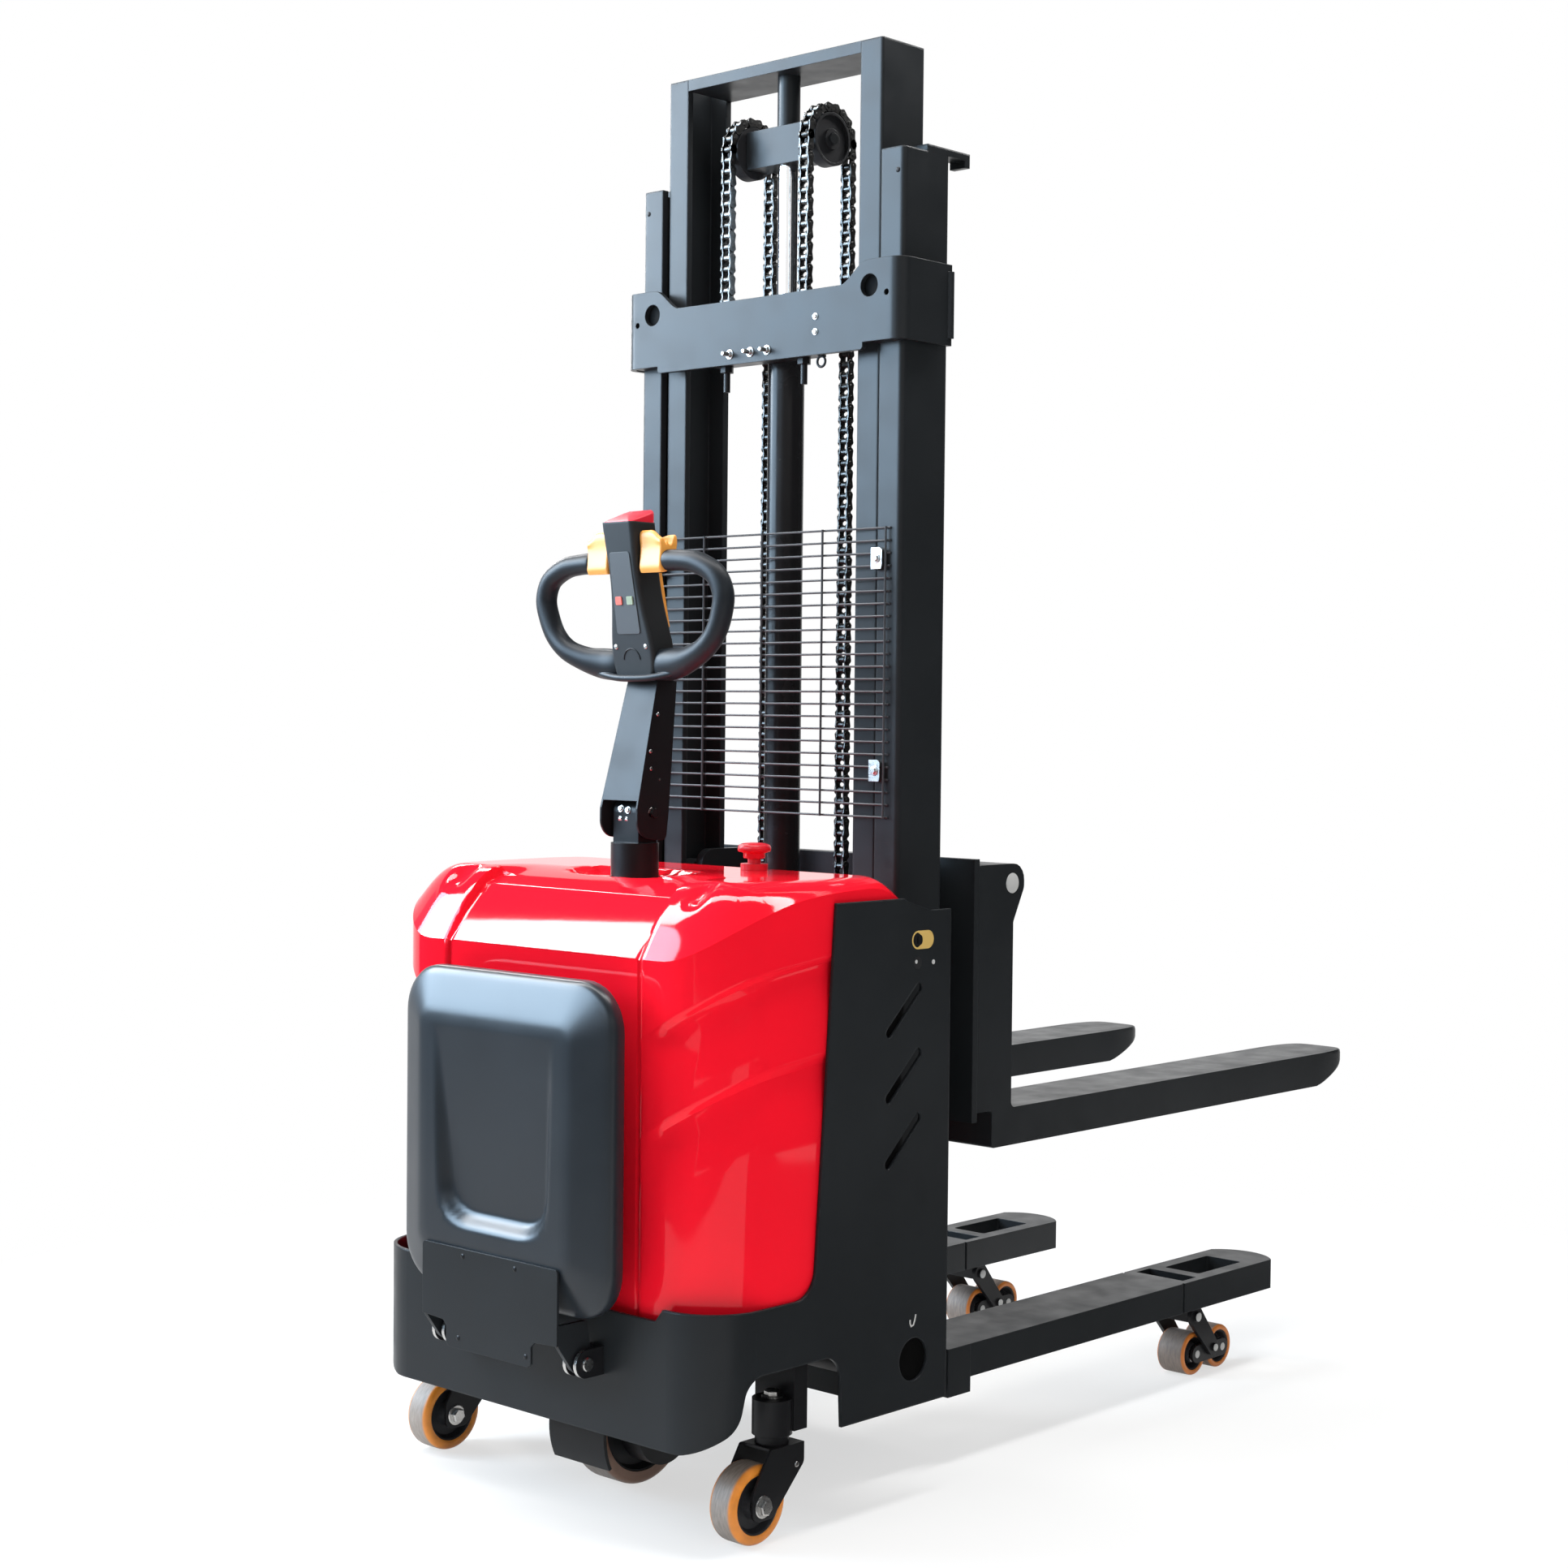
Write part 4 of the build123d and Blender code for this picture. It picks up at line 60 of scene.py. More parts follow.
# Camera of the photograph, for its square frame of PHOTO_SIZE pixels
PHOTO_SIZE = 1932
FOCAL_PIXELS = 3136.5
SENSOR = 36.0
CAMERA_AT = (3049.8, -3240.5, 1284.0)
CAMERA_TURN = 42.77
CAMERA_PITCH = 1.61
CAMERA_ROLL = 0.57


def at(x, y, z):
    """A place on the machine, in metres in the shared frame."""
    return Vector((x * MM, y * MM + MAST_REAR, z * MM))


def edges(box):
    """Low and high edge of a box along X, Y and Z, in millimetres on the machine."""
    low, high = box
    return ((low.x / MM, high.x / MM), ((low.y - MAST_REAR) / MM, (high.y - MAST_REAR) / MM),
            (low.z / MM, high.z / MM))


def smooth(low, high, value):
    """Smooth step from 0 to 1."""
    share = min(max((value - low) / (high - low), 0.0), 1.0)
    return share * share * (3 - 2 * share)


def along(start, end, share):
    """Value or vector between two others."""
    return start + (end - start) * share


def arc(start, end, steps):
    """Turns in radians from one angle to another, both given in degrees."""
    return [radians(along(start, end, i / steps)) for i in range(steps + 1)]


def circle(steps):
    """Turns in radians once round in equal steps."""
    return arc(0, 360, steps)[:-1]


def rounded(centres, radius, steps):
    """Outline of quarter arcs round four centres, from the first quarter round to the fourth."""
    return [(x + radius * cos(turn), z + radius * sin(turn))
            for i, (x, z) in enumerate(centres) for turn in arc(90 * i, 90 * i + 90, steps)]


# Materials

def rgb(red, green, blue):
    return (red, green, blue, 1.0)


def scaled(colour, factor):
    return rgb(*(min(part * factor, 1.0) for part in colour[:3]))


class Shader:
    """One procedural material, with short calls for the nodes that all of them use."""

    def __init__(self, name, **sockets):
        self.material = bpy.data.materials.new(name)
        self.material.use_nodes = True
        self.tree = self.material.node_tree
        self.principled = self.tree.nodes["Principled BSDF"]
        self.place = self.add("ShaderNodeTexCoord").outputs["Object"]
        self.surface(**sockets)

    def add(self, kind, **settings):
        node = self.tree.nodes.new(kind)
        for name, value in settings.items():
            setattr(node, name, value)
        return node

    def put(self, value, socket):
        """Links an output to an input, or sets a plain value on it."""
        if isinstance(value, bpy.types.NodeSocket):
            self.tree.links.new(value, socket)
        else:
            socket.default_value = value

    def feed(self, node, **inputs):
        """Links sockets or sets plain values by input name."""
        for name, value in inputs.items():
            self.put(value, node.inputs[name.replace("_", " ")])
        return node

    def surface(self, **inputs):
        """Feeds the inputs of the surface itself."""
        self.feed(self.principled, **inputs)

    def show(self, output):
        """Shows another surface in place of the usual one."""
        self.put(output, self.tree.nodes["Material Output"].inputs["Surface"])

    def glow(self, colour):
        """Surface that shows a plain colour in any light."""
        return self.feed(self.add("ShaderNodeEmission"), Color=colour, Strength=1.0).outputs[0]

    def stretched(self, scale):
        """Object coordinates with a scale of their own along each axis."""
        node = self.add("ShaderNodeVectorMath", operation="MULTIPLY")
        self.feed(node, Vector=self.place)
        node.inputs[1].default_value = scale
        return node.outputs["Vector"]

    def noise(self, scale, detail=2.0, place=None):
        node = self.add("ShaderNodeTexNoise")
        self.feed(node, Vector=place or self.place, Scale=scale, Detail=detail)
        return node.outputs["Fac"]

    def ranged(self, value, low, high, from_low=0.3, from_high=0.7):
        """Maps a value to a range, clamped at both ends."""
        node = self.feed(self.add("ShaderNodeMapRange"), Value=value, From_Min=from_low, From_Max=from_high,
                         To_Min=low, To_Max=high)
        return node.outputs["Result"]

    def mixed(self, share, first, second):
        """Two colours mixed by a share."""
        node = self.add("ShaderNodeMix", data_type="RGBA")
        sockets = (node.inputs["Factor"], node.inputs[6], node.inputs[7])
        for socket, value in zip(sockets, (share, first, second)):
            self.put(value, socket)
        return node.outputs[2]

    def clouded(self, colour, low, high, pattern):
        """Colour that a pattern takes from a darker to a lighter tone."""
        return self.mixed(self.ranged(pattern, 0.0, 1.0), scaled(colour, low), scaled(colour, high))

    def math(self, operation, first, second):
        node = self.add("ShaderNodeMath", operation=operation)
        for socket, value in zip(node.inputs, (first, second)):
            self.put(value, socket)
        return node.outputs[0]

    def rounded_edges(self, radius):
        """Normal that is softened along sharp edges."""
        return self.feed(self.add("ShaderNodeBevel", samples=4), Radius=radius).outputs["Normal"]

    def edge_mask(self, radius):
        """1 along sharp edges and 0 elsewhere."""
        dot = self.add("ShaderNodeVectorMath", operation="DOT_PRODUCT")
        self.put(self.rounded_edges(radius), dot.inputs[0])
        self.put(self.add("ShaderNodeNewGeometry").outputs["Normal"], dot.inputs[1])
        return self.ranged(dot.outputs["Value"], 1.0, 0.0, 0.75, 0.98)

    def bumped(self, height, strength, distance, normal=None):
        """Puts a height on the surface, over a softened normal where there is one."""
        node = self.feed(self.add("ShaderNodeBump"), Height=height, Strength=strength, Distance=distance)
        if normal is not None:
            self.feed(node, Normal=normal)
        self.surface(Normal=node.outputs["Normal"])
        return self


def painted_steel(name, colour, roughness=0.33, edge=1.6 * MM):
    """Powder coat: orange peel, faint cloudiness and lighter rubbed edges."""
    shade = Shader(name, Specular_IOR_Level=0.18)
    cloud = shade.clouded(colour, 0.88, 1.12, shade.noise(3.0, 3.0))
    edge_bands = shade.ranged(shade.noise(60.0, 4.0), 0.0, 0.55)
    rubbed = shade.math("MULTIPLY", shade.edge_mask(edge), edge_bands)
    uneven = shade.ranged(shade.noise(18.0, 4.0), roughness - 0.05, roughness + 0.07)
    shade.surface(Base_Color=shade.mixed(rubbed, cloud, scaled(colour, 2.6)), Roughness=uneven)
    return shade.bumped(shade.noise(650.0, 1.0), 0.16, 0.25 * MM, shade.rounded_edges(edge)).material


def gloss_moulding(name, colour, dust_colour):
    """Glossy moulded cover under a clear coat, with the faint waviness of a moulding."""
    shade = Shader(name, Roughness=0.3, Coat_Weight=1.0, Coat_Roughness=0.06, Coat_IOR=1.36,
                   Specular_IOR_Level=0.0)
    tone = shade.clouded(colour, 0.93, 1.05, shade.noise(2.5, 2.0))
    dust = shade.ranged(shade.noise(220.0, 5.0), 0.0, 0.05, 0.55, 0.8)
    shade.surface(Base_Color=shade.mixed(dust, tone, dust_colour))
    shade.bumped(shade.noise(9.0, 1.0), 0.05, 3.0 * MM)
    shade.surface(Coat_Normal=shade.principled.inputs["Normal"].links[0].from_socket)
    return shade.material


def moulded_plastic(name, colour, roughness, depth=0.15 * MM, edge=1.2 * MM, specular=0.5):
    """Satin plastic or rubber with a fine grain and a faintly uneven tone."""
    shade = Shader(name, Specular_IOR_Level=specular)
    tone = shade.clouded(colour, 0.93, 1.07, shade.noise(5.0, 4.0))
    uneven = shade.ranged(shade.noise(9.0, 2.0), roughness - 0.02, roughness + 0.03)
    shade.surface(Base_Color=tone, Roughness=uneven)
    return shade.bumped(shade.noise(1400.0, 2.0), 0.2, depth, shade.rounded_edges(edge)).material


def bare_metal(name, colour, roughness, stretch=(1.0, 1.0, 1.0), stain=0.5, edge=0.8 * MM):
    """Bare or plated metal with fine directional scratches and darker oil stains."""
    shade = Shader(name, Metallic=1.0)
    stained = shade.ranged(shade.noise(35.0, 5.0), 0.0, stain, 0.45, 0.75)
    scratches = shade.noise(400.0, 3.0, shade.stretched(stretch))
    shade.surface(Base_Color=shade.mixed(stained, colour, scaled(colour, 0.35)),
                  Roughness=shade.ranged(scratches, roughness * 0.75, roughness * 1.3))
    return shade.bumped(scratches, 0.12, 0.1 * MM, shade.rounded_edges(edge)).material


def cast_tyre(name, side_colour, tread_colour):
    """Cast polyurethane: clear colour on the sides, a worn and dusty tread."""
    shade = Shader(name, Specular_IOR_Level=0.45)
    facing = shade.add("ShaderNodeSeparateXYZ")
    shade.put(shade.add("ShaderNodeTexCoord").outputs["Normal"], facing.inputs[0])
    sideways = shade.ranged(shade.math("ABSOLUTE", facing.outputs["X"], 0.0), 0.0, 1.0, 0.06, 0.5)
    streaks = shade.noise(60.0, 5.0, shade.stretched((6.0, 1.0, 1.0)))
    tread = shade.clouded(tread_colour, 0.75, 1.15, streaks)
    stained = shade.ranged(shade.noise(45.0, 5.0), 0.0, 0.45, 0.45, 0.8)
    side = shade.mixed(stained, side_colour, scaled(side_colour, 0.55))
    shade.surface(Base_Color=shade.mixed(sideways, tread, side),
                  Roughness=shade.ranged(sideways, 0.62, 0.34, 0.0, 1.0))
    return shade.bumped(shade.noise(420.0, 3.0), 0.2, 0.25 * MM, shade.rounded_edges(1.0 * MM)).material


CHARCOAL = rgb(0.0150, 0.0168, 0.0186)
BLACK = rgb(0.010, 0.010, 0.011)
RED = rgb(0.90, 0.008, 0.022)
DUSTY_RED = rgb(0.85, 0.08, 0.1)
AMBER = rgb(0.76, 0.25, 0.028)
DARK_AMBER = rgb(0.62, 0.19, 0.03)
TAUPE = rgb(0.29, 0.24, 0.205)
DARK_TAUPE = rgb(0.23, 0.18, 0.15)
BROWN = rgb(0.26, 0.14, 0.09)
IRON = rgb(0.02, 0.02, 0.022)
STEEL = rgb(0.58, 0.57, 0.55)
WHITE = rgb(1.0, 1.0, 1.0)

FINISH = {
    "charcoal": painted_steel("charcoal_paint", CHARCOAL),
    "bent": painted_steel("bent_plate", CHARCOAL, edge=5.0 * MM),
    "black": painted_steel("black_paint", BLACK, 0.36),
    "wire": painted_steel("coated_wire", rgb(0.05, 0.053, 0.058), 0.4, 0.4 * MM),
    "red_hood": gloss_moulding("red_hood", RED, DUSTY_RED),
    "pad": moulded_plastic("pad_moulding", rgb(0.015, 0.019, 0.024), 0.33, 0.08 * MM, specular=0.38),
    "grip": moulded_plastic("grip_rubber", rgb(0.013, 0.016, 0.020), 0.42, specular=0.22),
    "head": moulded_plastic("head_plastic", rgb(0.016, 0.017, 0.018), 0.48, edge=4.0 * MM, specular=0.3),
    "panel": moulded_plastic("key_panel", rgb(0.045, 0.047, 0.05), 0.5, 0.06 * MM),
    "red_cap": moulded_plastic("red_cap", rgb(0.62, 0.012, 0.03), 0.36, 0.06 * MM),
    "stop_red": moulded_plastic("stop_red", rgb(0.75, 0.012, 0.03), 0.3, 0.04 * MM),
    "amber": moulded_plastic("amber_plastic", rgb(0.85, 0.36, 0.06), 0.4, 0.06 * MM),
    "red_key": moulded_plastic("red_key", rgb(0.74, 0.15, 0.11), 0.4, 0.05 * MM),
    "green_key": moulded_plastic("green_key", rgb(0.28, 0.35, 0.24), 0.4, 0.05 * MM),
    "chain": bare_metal("chain_steel", rgb(0.12, 0.118, 0.115), 0.34, stain=0.9),
    "iron": painted_steel("black_iron", IRON, 0.5),
    "chrome": bare_metal("chrome_rod", rgb(0.86, 0.86, 0.86), 0.09, (1.0, 1.0, 0.03), 0.05),
    "steel": bare_metal("bright_zinc", STEEL, 0.32),
    "zinc": painted_steel("zinc_plate", rgb(0.46, 0.46, 0.45), 0.35),
    "brass": painted_steel("brass_plate", rgb(0.60, 0.40, 0.12), 0.3),
    "barrel": painted_steel("barrel_paint", rgb(0.012, 0.012, 0.013), 0.22),
    # Painted shadow: near-black paint for holes and covered flanks that show only shade
    "painted_shadow": painted_steel("deep_shadow", rgb(0.002, 0.002, 0.002), 0.9),
    "tyre": cast_tyre("amber_tyre", AMBER, TAUPE),
    "roller_tyre": cast_tyre("dark_amber_tyre", DARK_AMBER, DARK_TAUPE),
    "drive_tyre": cast_tyre("brown_tyre", BROWN, TAUPE),
}

# CAD nodes under each finish; a star stands for right and left
NODE_FINISH = {
    "bent": "mast_crossmember chassis_shell *_outer_column *_inner_column",
    "charcoal": ("base_plate mast_foot_beam *_leg inner_top_bar inner_bottom_bar crosshead carriage_frame "
                 "*_fork platform_plate battery_pack"),
    "black": ("platform_brackets caster_brackets roller_brackets *_bogie *_caster_fork tiller_arm "
              "steering_column key_switch drive_unit hydraulic_power_unit chain_anchors"),
    "wire": "mesh_guard",
    "red_hood": "hood",
    "pad": "platform_pad",
    "grip": "tiller_grips",
    "head": "tiller_head",
    "red_cap": "reverse_button",
    "stop_red": "estop_knob estop_collar",
    "amber": "throttle_paddles horn_lever",
    "red_key": "lower_button",
    "green_key": "lift_button",
    "chain": "front_chains rear_chains chain_wraps",
    "iron": "chain_wheels inner_guide_rollers carriage_lower_rollers carriage_upper_rollers",
    "chrome": "piston_rod",
    "steel": "fork_shaft",
    "barrel": "cylinder_barrel",
}


def dress_nodes():
    """Gives the CAD nodes in the table their materials."""
    for finish, nodes in NODE_FINISH.items():
        names = [node.replace("*", side) for node in nodes.split() for side, _ in SIDES]
        for name in dict.fromkeys(names):
            NODES[name].data.materials.clear()
            NODES[name].data.materials.append(FINISH[finish])


def add_object(name, data):
    """New object in the scene."""
    made = bpy.data.objects.new(name, data)
    bpy.context.scene.collection.objects.link(made)
    return made


# Stage, in metres

FLOOR_RADIUS = 14.0
FLOOR_WHITE = 0.62
FLOOR_NEAR = 0.7
FLOOR_FAR = 2.3
WORLD_LEVEL = 0.38
DAYLIGHT = (0.56, 0.78, 1.0)
MIDDLE = (0.0, -0.4, 1.0)
HOOD_CORNER_AT = (0.3, -0.85, 0.98)
DARK_CARD = rgb(0.02, 0.02, 0.021)
GREY_CARD = rgb(0.07, 0.07, 0.072)


def add_camera():
    """Camera at the photograph's viewpoint."""
    turn, pitch, roll = radians(CAMERA_TURN), radians(CAMERA_PITCH), radians(CAMERA_ROLL)
    forward = Vector((-sin(turn) * cos(pitch), cos(turn) * cos(pitch), -sin(pitch)))
    level = Vector((cos(turn), sin(turn), 0.0))
    upright = level.cross(forward)
    right = cos(roll) * level + sin(roll) * upright
    up = cos(roll) * upright - sin(roll) * level
    camera = add_object("camera", bpy.data.cameras.new("camera"))
    camera.data.sensor_width = SENSOR
    camera.data.lens = FOCAL_PIXELS / PHOTO_SIZE * SENSOR
    facing = Matrix((right, up, -forward)).transposed().to_4x4()
    camera.matrix_world = Matrix.Translation(at(*CAMERA_AT)) @ facing
    bpy.context.scene.camera = camera


def aim(thing, place, target, front):
    """Moves an object to a place and turns its front to another."""
    thing.location = place
    thing.rotation_mode = "QUATERNION"
    thing.rotation_quaternion = (Vector(target) - Vector(place)).to_track_quat(front, "Y")


def add_lamp(name, place, target, size, power, colour=(1.0, 1.0, 1.0)):
    """Large soft lamp that looks at a place on the machine."""
    lamp = add_object(name, bpy.data.lights.new(name, "AREA"))
    lamp.data.shape = "RECTANGLE"
    lamp.data.size, lamp.data.size_y = size
    lamp.data.energy = power
    lamp.data.color = colour
    aim(lamp, place, target, "-Z")
    return lamp


def add_strip(name, start, end, target, width, power):
    """Long lamp from one place to another, which looks at a place on the machine."""
    start, end = Vector(start), Vector(end)
    place = (start + end) / 2
    lamp = add_lamp(name, place, target, ((end - start).length, width), power)
    back = (place - Vector(target)).normalized()
    level = (end - start) - back * (end - start).dot(back)
    level.normalize()
    lamp.rotation_quaternion = Matrix((level, back.cross(level), back)).transposed().to_quaternion()


def seen_by_camera(tree):
    """1 for rays from the camera and for what metal and glass show."""
    path = tree.nodes.new("ShaderNodeLightPath")
    total = path.outputs["Is Camera Ray"]
    for name in ("Is Glossy Ray", "Is Transmission Ray"):
        node = tree.nodes.new("ShaderNodeMath")
        node.operation = "MAXIMUM"
        tree.links.new(total, node.inputs[0])
        tree.links.new(path.outputs[name], node.inputs[1])
        total = node.outputs[0]
    return total


def set_world():
    """White to the camera, plain soft light to the machine."""
    world = bpy.data.worlds.new("studio")
    bpy.context.scene.world = world
    world.use_nodes = True
    tree = world.node_tree
    background = tree.nodes["Background"]
    background.inputs["Color"].default_value = WHITE
    mix = tree.nodes.new("ShaderNodeMapRange")
    mix.inputs["To Min"].default_value = WORLD_LEVEL
    tree.links.new(seen_by_camera(tree), mix.inputs["Value"])
    tree.links.new(mix.outputs["Result"], background.inputs["Strength"])


def add_floor():
    """Pale floor that keeps the shadow near the machine and fades to white far away."""
    mesh = bpy.data.meshes.new("floor")
    built = bmesh.new()
    bmesh.ops.create_circle(built, cap_ends=True, radius=FLOOR_RADIUS, segments=96)
    built.to_mesh(mesh)
    built.free()
    floor = add_object("floor", mesh)
    shade = Shader("floor", Roughness=0.9, Base_Color=rgb(0.92, 0.92, 0.91), Specular_IOR_Level=0.0)
    length = shade.add("ShaderNodeVectorMath", operation="LENGTH")
    shade.put(shade.place, length.inputs[0])
    far = shade.ranged(length.outputs["Value"], FLOOR_WHITE, 1.0, FLOOR_NEAR, FLOOR_FAR)
    share = shade.math("MULTIPLY", far, seen_by_camera(shade.tree))
    mix = shade.add("ShaderNodeMixShader")
    for socket, value in zip(mix.inputs, (share, shade.principled.outputs[0], shade.glow(WHITE))):
        shade.put(value, socket)
    shade.show(mix.outputs[0])
    mesh.materials.append(shade.material)


def add_flag(name, place, target, size, level):
    """Card of one colour beside the set, which shows only in reflections."""
    mesh = bpy.data.meshes.new(name)
    corners = [(x * size[0] / 2, y * size[1] / 2, 0) for x, y in ((-1, -1), (1, -1), (1, 1), (-1, 1))]
    mesh.from_pydata(corners, [], [(0, 1, 2, 3)])
    flag = add_object(name, mesh)
    aim(flag, place, target, "Z")
    for ray in ("visible_camera", "visible_diffuse", "visible_shadow", "visible_transmission"):
        setattr(flag, ray, False)
    shade = Shader(name)
    shade.show(shade.glow(level))
    mesh.materials.append(shade.material)


def set_stage():
    """Camera, lamps, cards and floor after the photograph."""
    bpy.context.scene.view_settings.view_transform = "Standard"
    add_camera()
    set_world()
    softbox = add_lamp("rear_softbox", (-3.8, -3.7, 2.6), MIDDLE, (2.6, 2.0), 265.0, DAYLIGHT)
    softbox.visible_glossy = False
    sheen = add_lamp("rear_sheen", (-3.55, -4.0, 3.05), (0.0, -0.4, 1.7), (5.0, 2.9), 800.0, DAYLIGHT)
    sheen.visible_diffuse = False
    bend = add_lamp("bend_sheen", (-0.3, -5.4, 3.4), (0.3, -0.4, 1.95), (3.8, 1.5), 95.0, DAYLIGHT)
    bend.visible_diffuse = False
    add_lamp("shoulder_softbox", (-2.65, -2.0, 3.25), (0.0, -0.92, 0.95), (0.7, 2.6), 135.0)
    add_lamp("ridge_strip", (-2.3, 0.2, 3.2), (0.0, -0.83, 1.0), (0.35, 2.4), 44.0)
    add_strip("left_arch", (-1.6, -1.6, 3.7), (0.25, -1.25, 4.35), HOOD_CORNER_AT, 0.5, 60.0)
    add_strip("top_arch", (0.3, -1.2, 4.35), (1.0, 0.2, 4.15), HOOD_CORNER_AT, 0.5, 50.0)
    add_strip("front_arch", (1.0, 0.25, 4.15), (0.6, 1.7, 3.35), HOOD_CORNER_AT, 0.5, 50.0)
    fill = add_lamp("right_fill", (4.6, -2.4, 2.4), MIDDLE, (2.4, 2.4), 42.0)
    fill.visible_glossy = False
    add_flag("front_flag", (2.6, 2.7, 1.3), (0.0, 0.0, 1.3), (7.4, 5.6), DARK_CARD)
    add_flag("right_flag", (6.5, -1.6, 0.7), (0.0, -0.4, 0.7), (6.4, 3.4), DARK_CARD)
    add_flag("camera_flag", (4.6, -6.0, 0.7), (0.0, -0.4, 0.7), (7.4, 3.4), DARK_CARD)
    add_flag("rear_flag", (-2.0, -3.6, 0.3), (0.0, -0.4, 0.3), (7.4, 1.7), rgb(0.03, 0.034, 0.04))
    add_flag("rear_card", (-4.4, -4.6, 2.7), (0.0, -0.4, 2.7), (9.0, 3.6), rgb(0.32, 0.40, 0.52))
    add_flag("ceiling", (0.0, -0.5, 6.0), (0.0, -0.49, 0.0), (18.0, 18.0), rgb(0.05, 0.055, 0.06))
    add_flag("right_floor_card", (3.43, 1.4, 0.004), (3.43, 1.41, 1.0), (5.95, 5.0), GREY_CARD)
    add_flag("rear_floor_card", (2.2, -3.6, 0.004), (2.2, -3.59, 1.0), (8.4, 5.0), GREY_CARD)
    add_floor()


# Pieces built here

def stud(radius, rim, top, bevel, foot=0.0):
    """Profile of a flat round head: its side up to the rim, a bevel and the top."""
    return [(radius, foot), (radius, rim), (radius - bevel, top), (0.0, top)]


class Form:
    """Collects the points and faces of one piece."""

    def __init__(self):
        self.points = []
        self.faces = []

    def grid(self, rows, wrap=False):
        """Skin over rows of points, each row closed on itself where wrap is set."""
        start, width = len(self.points), len(rows[0])
        self.points += [point for row in rows for point in row]
        for i in range(len(rows) - 1):
            for j in range(width if wrap else width - 1):
                first = start + i * width + j
                second = start + i * width + (j + 1) % width
                self.faces.append((first, second, second + width, first + width))
        return self

    def cap(self, row):
        """Flat face over a closed row of points."""
        start = len(self.points)
        self.points += row
        self.faces.append(tuple(range(start, start + len(row))))
        return self

    def loft(self, rings):
        """Solid over closed rings of points, with a face at both ends."""
        return self.grid(rings, wrap=True).cap(rings[0]).cap(rings[-1])

    def prism(self, outline, depth):
        """Solid between a flat closed outline and its copy moved by (x, y, z) millimetres."""
        return self.loft([outline, [point + MM * Vector(depth) for point in outline]])

    def lathe(self, place, axis, profile, segments=28):
        """Turned form: (radius, height) points in millimetres along an axis from a place."""
        axis = Vector(axis).normalized()
        side = axis.orthogonal().normalized()
        over = axis.cross(side)
        spokes = [side * cos(turn) + over * sin(turn) for turn in circle(segments)]
        rows = [[place + MM * (axis * height + radius * spoke) for spoke in spokes]
                for radius, height in profile]
        return self.grid(rows, wrap=True)

    def lathe_twice(self, x, y, z, profile, segments, axis=None):
        """The same turned form on the right and on the left, along an axis or else outwards."""
        for _, sign in SIDES:
            self.lathe(at(sign * x, y, z), axis or (sign, 0, 0), profile, segments)
        return self

    def bolt(self, place, axis, size):
        """Hexagon head on a washer; size is the radius over the corners."""
        high, wide = 0.28 * size, 1.35 * size
        washer = [(0.0, 0.0), (wide, 0.0), (wide, 0.7 * high), (1.25 * size, high), (0.0, high)]
        top = high + 0.62 * size
        head = [(size, high), (size, top - 0.14 * size), (0.84 * size, top), (0.0, top)]
        return self.lathe(place, axis, washer, 20).lathe(place, axis, head, 6)

    def rivet(self, place, axis, radius):
        """Domed head."""
        dome = [(radius * cos(turn), 0.5 * radius * sin(turn)) for turn in arc(0, 90, 6)]
        return self.lathe(place, axis, dome, 16)

    def tube(self, path, radius, segments=14):
        """Round bar along a path."""
        rings = []
        side = None
        for i, point in enumerate(path):
            ahead = path[min(i + 1, len(path) - 1)] - path[max(i - 1, 0)]
            ahead.normalize()
            side = (side - ahead * side.dot(ahead)).normalized() if side else ahead.orthogonal().normalized()
            over = ahead.cross(side)
            rings.append([point + radius * MM * (side * cos(turn) + over * sin(turn))
                          for turn in circle(segments)])
        return self.loft(rings)

    def mesh(self, name, finish, sharp):
        """Mesh with merged seams, outward faces and smooth shading up to an angle."""
        mesh = bpy.data.meshes.new(name)
        mesh.from_pydata(self.points, [], self.faces)
        built = bmesh.new()
        built.from_mesh(mesh)
        bmesh.ops.remove_doubles(built, verts=built.verts, dist=0.002 * MM)
        bmesh.ops.dissolve_degenerate(built, edges=built.edges, dist=0.001 * MM)
        bmesh.ops.recalc_face_normals(built, faces=built.faces)
        built.to_mesh(mesh)
        built.free()
        mesh.shade_smooth()
        mesh.set_sharp_from_angle(angle=radians(sharp))
        mesh.materials.append(FINISH[finish])
        return mesh

    def piece(self, name, finish, body=None, sharp=38.0):
        """Object made of the form, which rides on a body where one is named."""
        made = add_object(name, self.mesh(name, finish, sharp))
        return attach(made, body) if body else made


# Hood

(_, HOOD_HALF), (HOOD_REAR, HOOD_FRONT), (HOOD_BOTTOM, HOOD_TOP) = edges(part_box("hood"))
HOOD_CORNER, HOOD_FRONT_CORNER = 130.0, 95.0
CORNER_STEPS, FRONT_CORNER_STEPS = 32, 12
SIDE_STEPS, FRONT_STEPS, TOP_STEPS = 20, 8, 24
SHOULDER_STEPS, RIDGE_STEP = 36, 24
REAR_INNER_X = [0, 60, 120, 180, 205]
REAR_OUTER_X = [242, 248, 254, 261, 268]
GROOVE_X = 226.0
GROOVE_HALF = 5.0
GROOVE_DEPTH = 6.0
GROOVE_LINES = (-2, -1, -0.5, 0, 0.5, 1, 2)
PANEL_STEP = 4.0
CREASE_Z = 776.0
CREASE_STEP = 152.0
CREASE_RISE_X = 0.556
CREASE_RISE_Y = 0.12
SCOOP_DEPTH = 9.0
SCOOP_X = (GROOVE_X + 6, GROOVE_X + 70)
SCOOP_LIP = 16.0
SCOOP_FADE = (18.0, 105.0)
DIMPLE_AT = (284.0, -436.0)
DIMPLE_SIZE = (27.0, 32.0)
DIMPLE_DEPTH = 11.0
DIMPLE_FADE = (0.1, 1.15)
COLUMN_Y = -307.0
COLUMN_HOLE = 47.0
COLUMN_HOLE_DEEP = 30.0
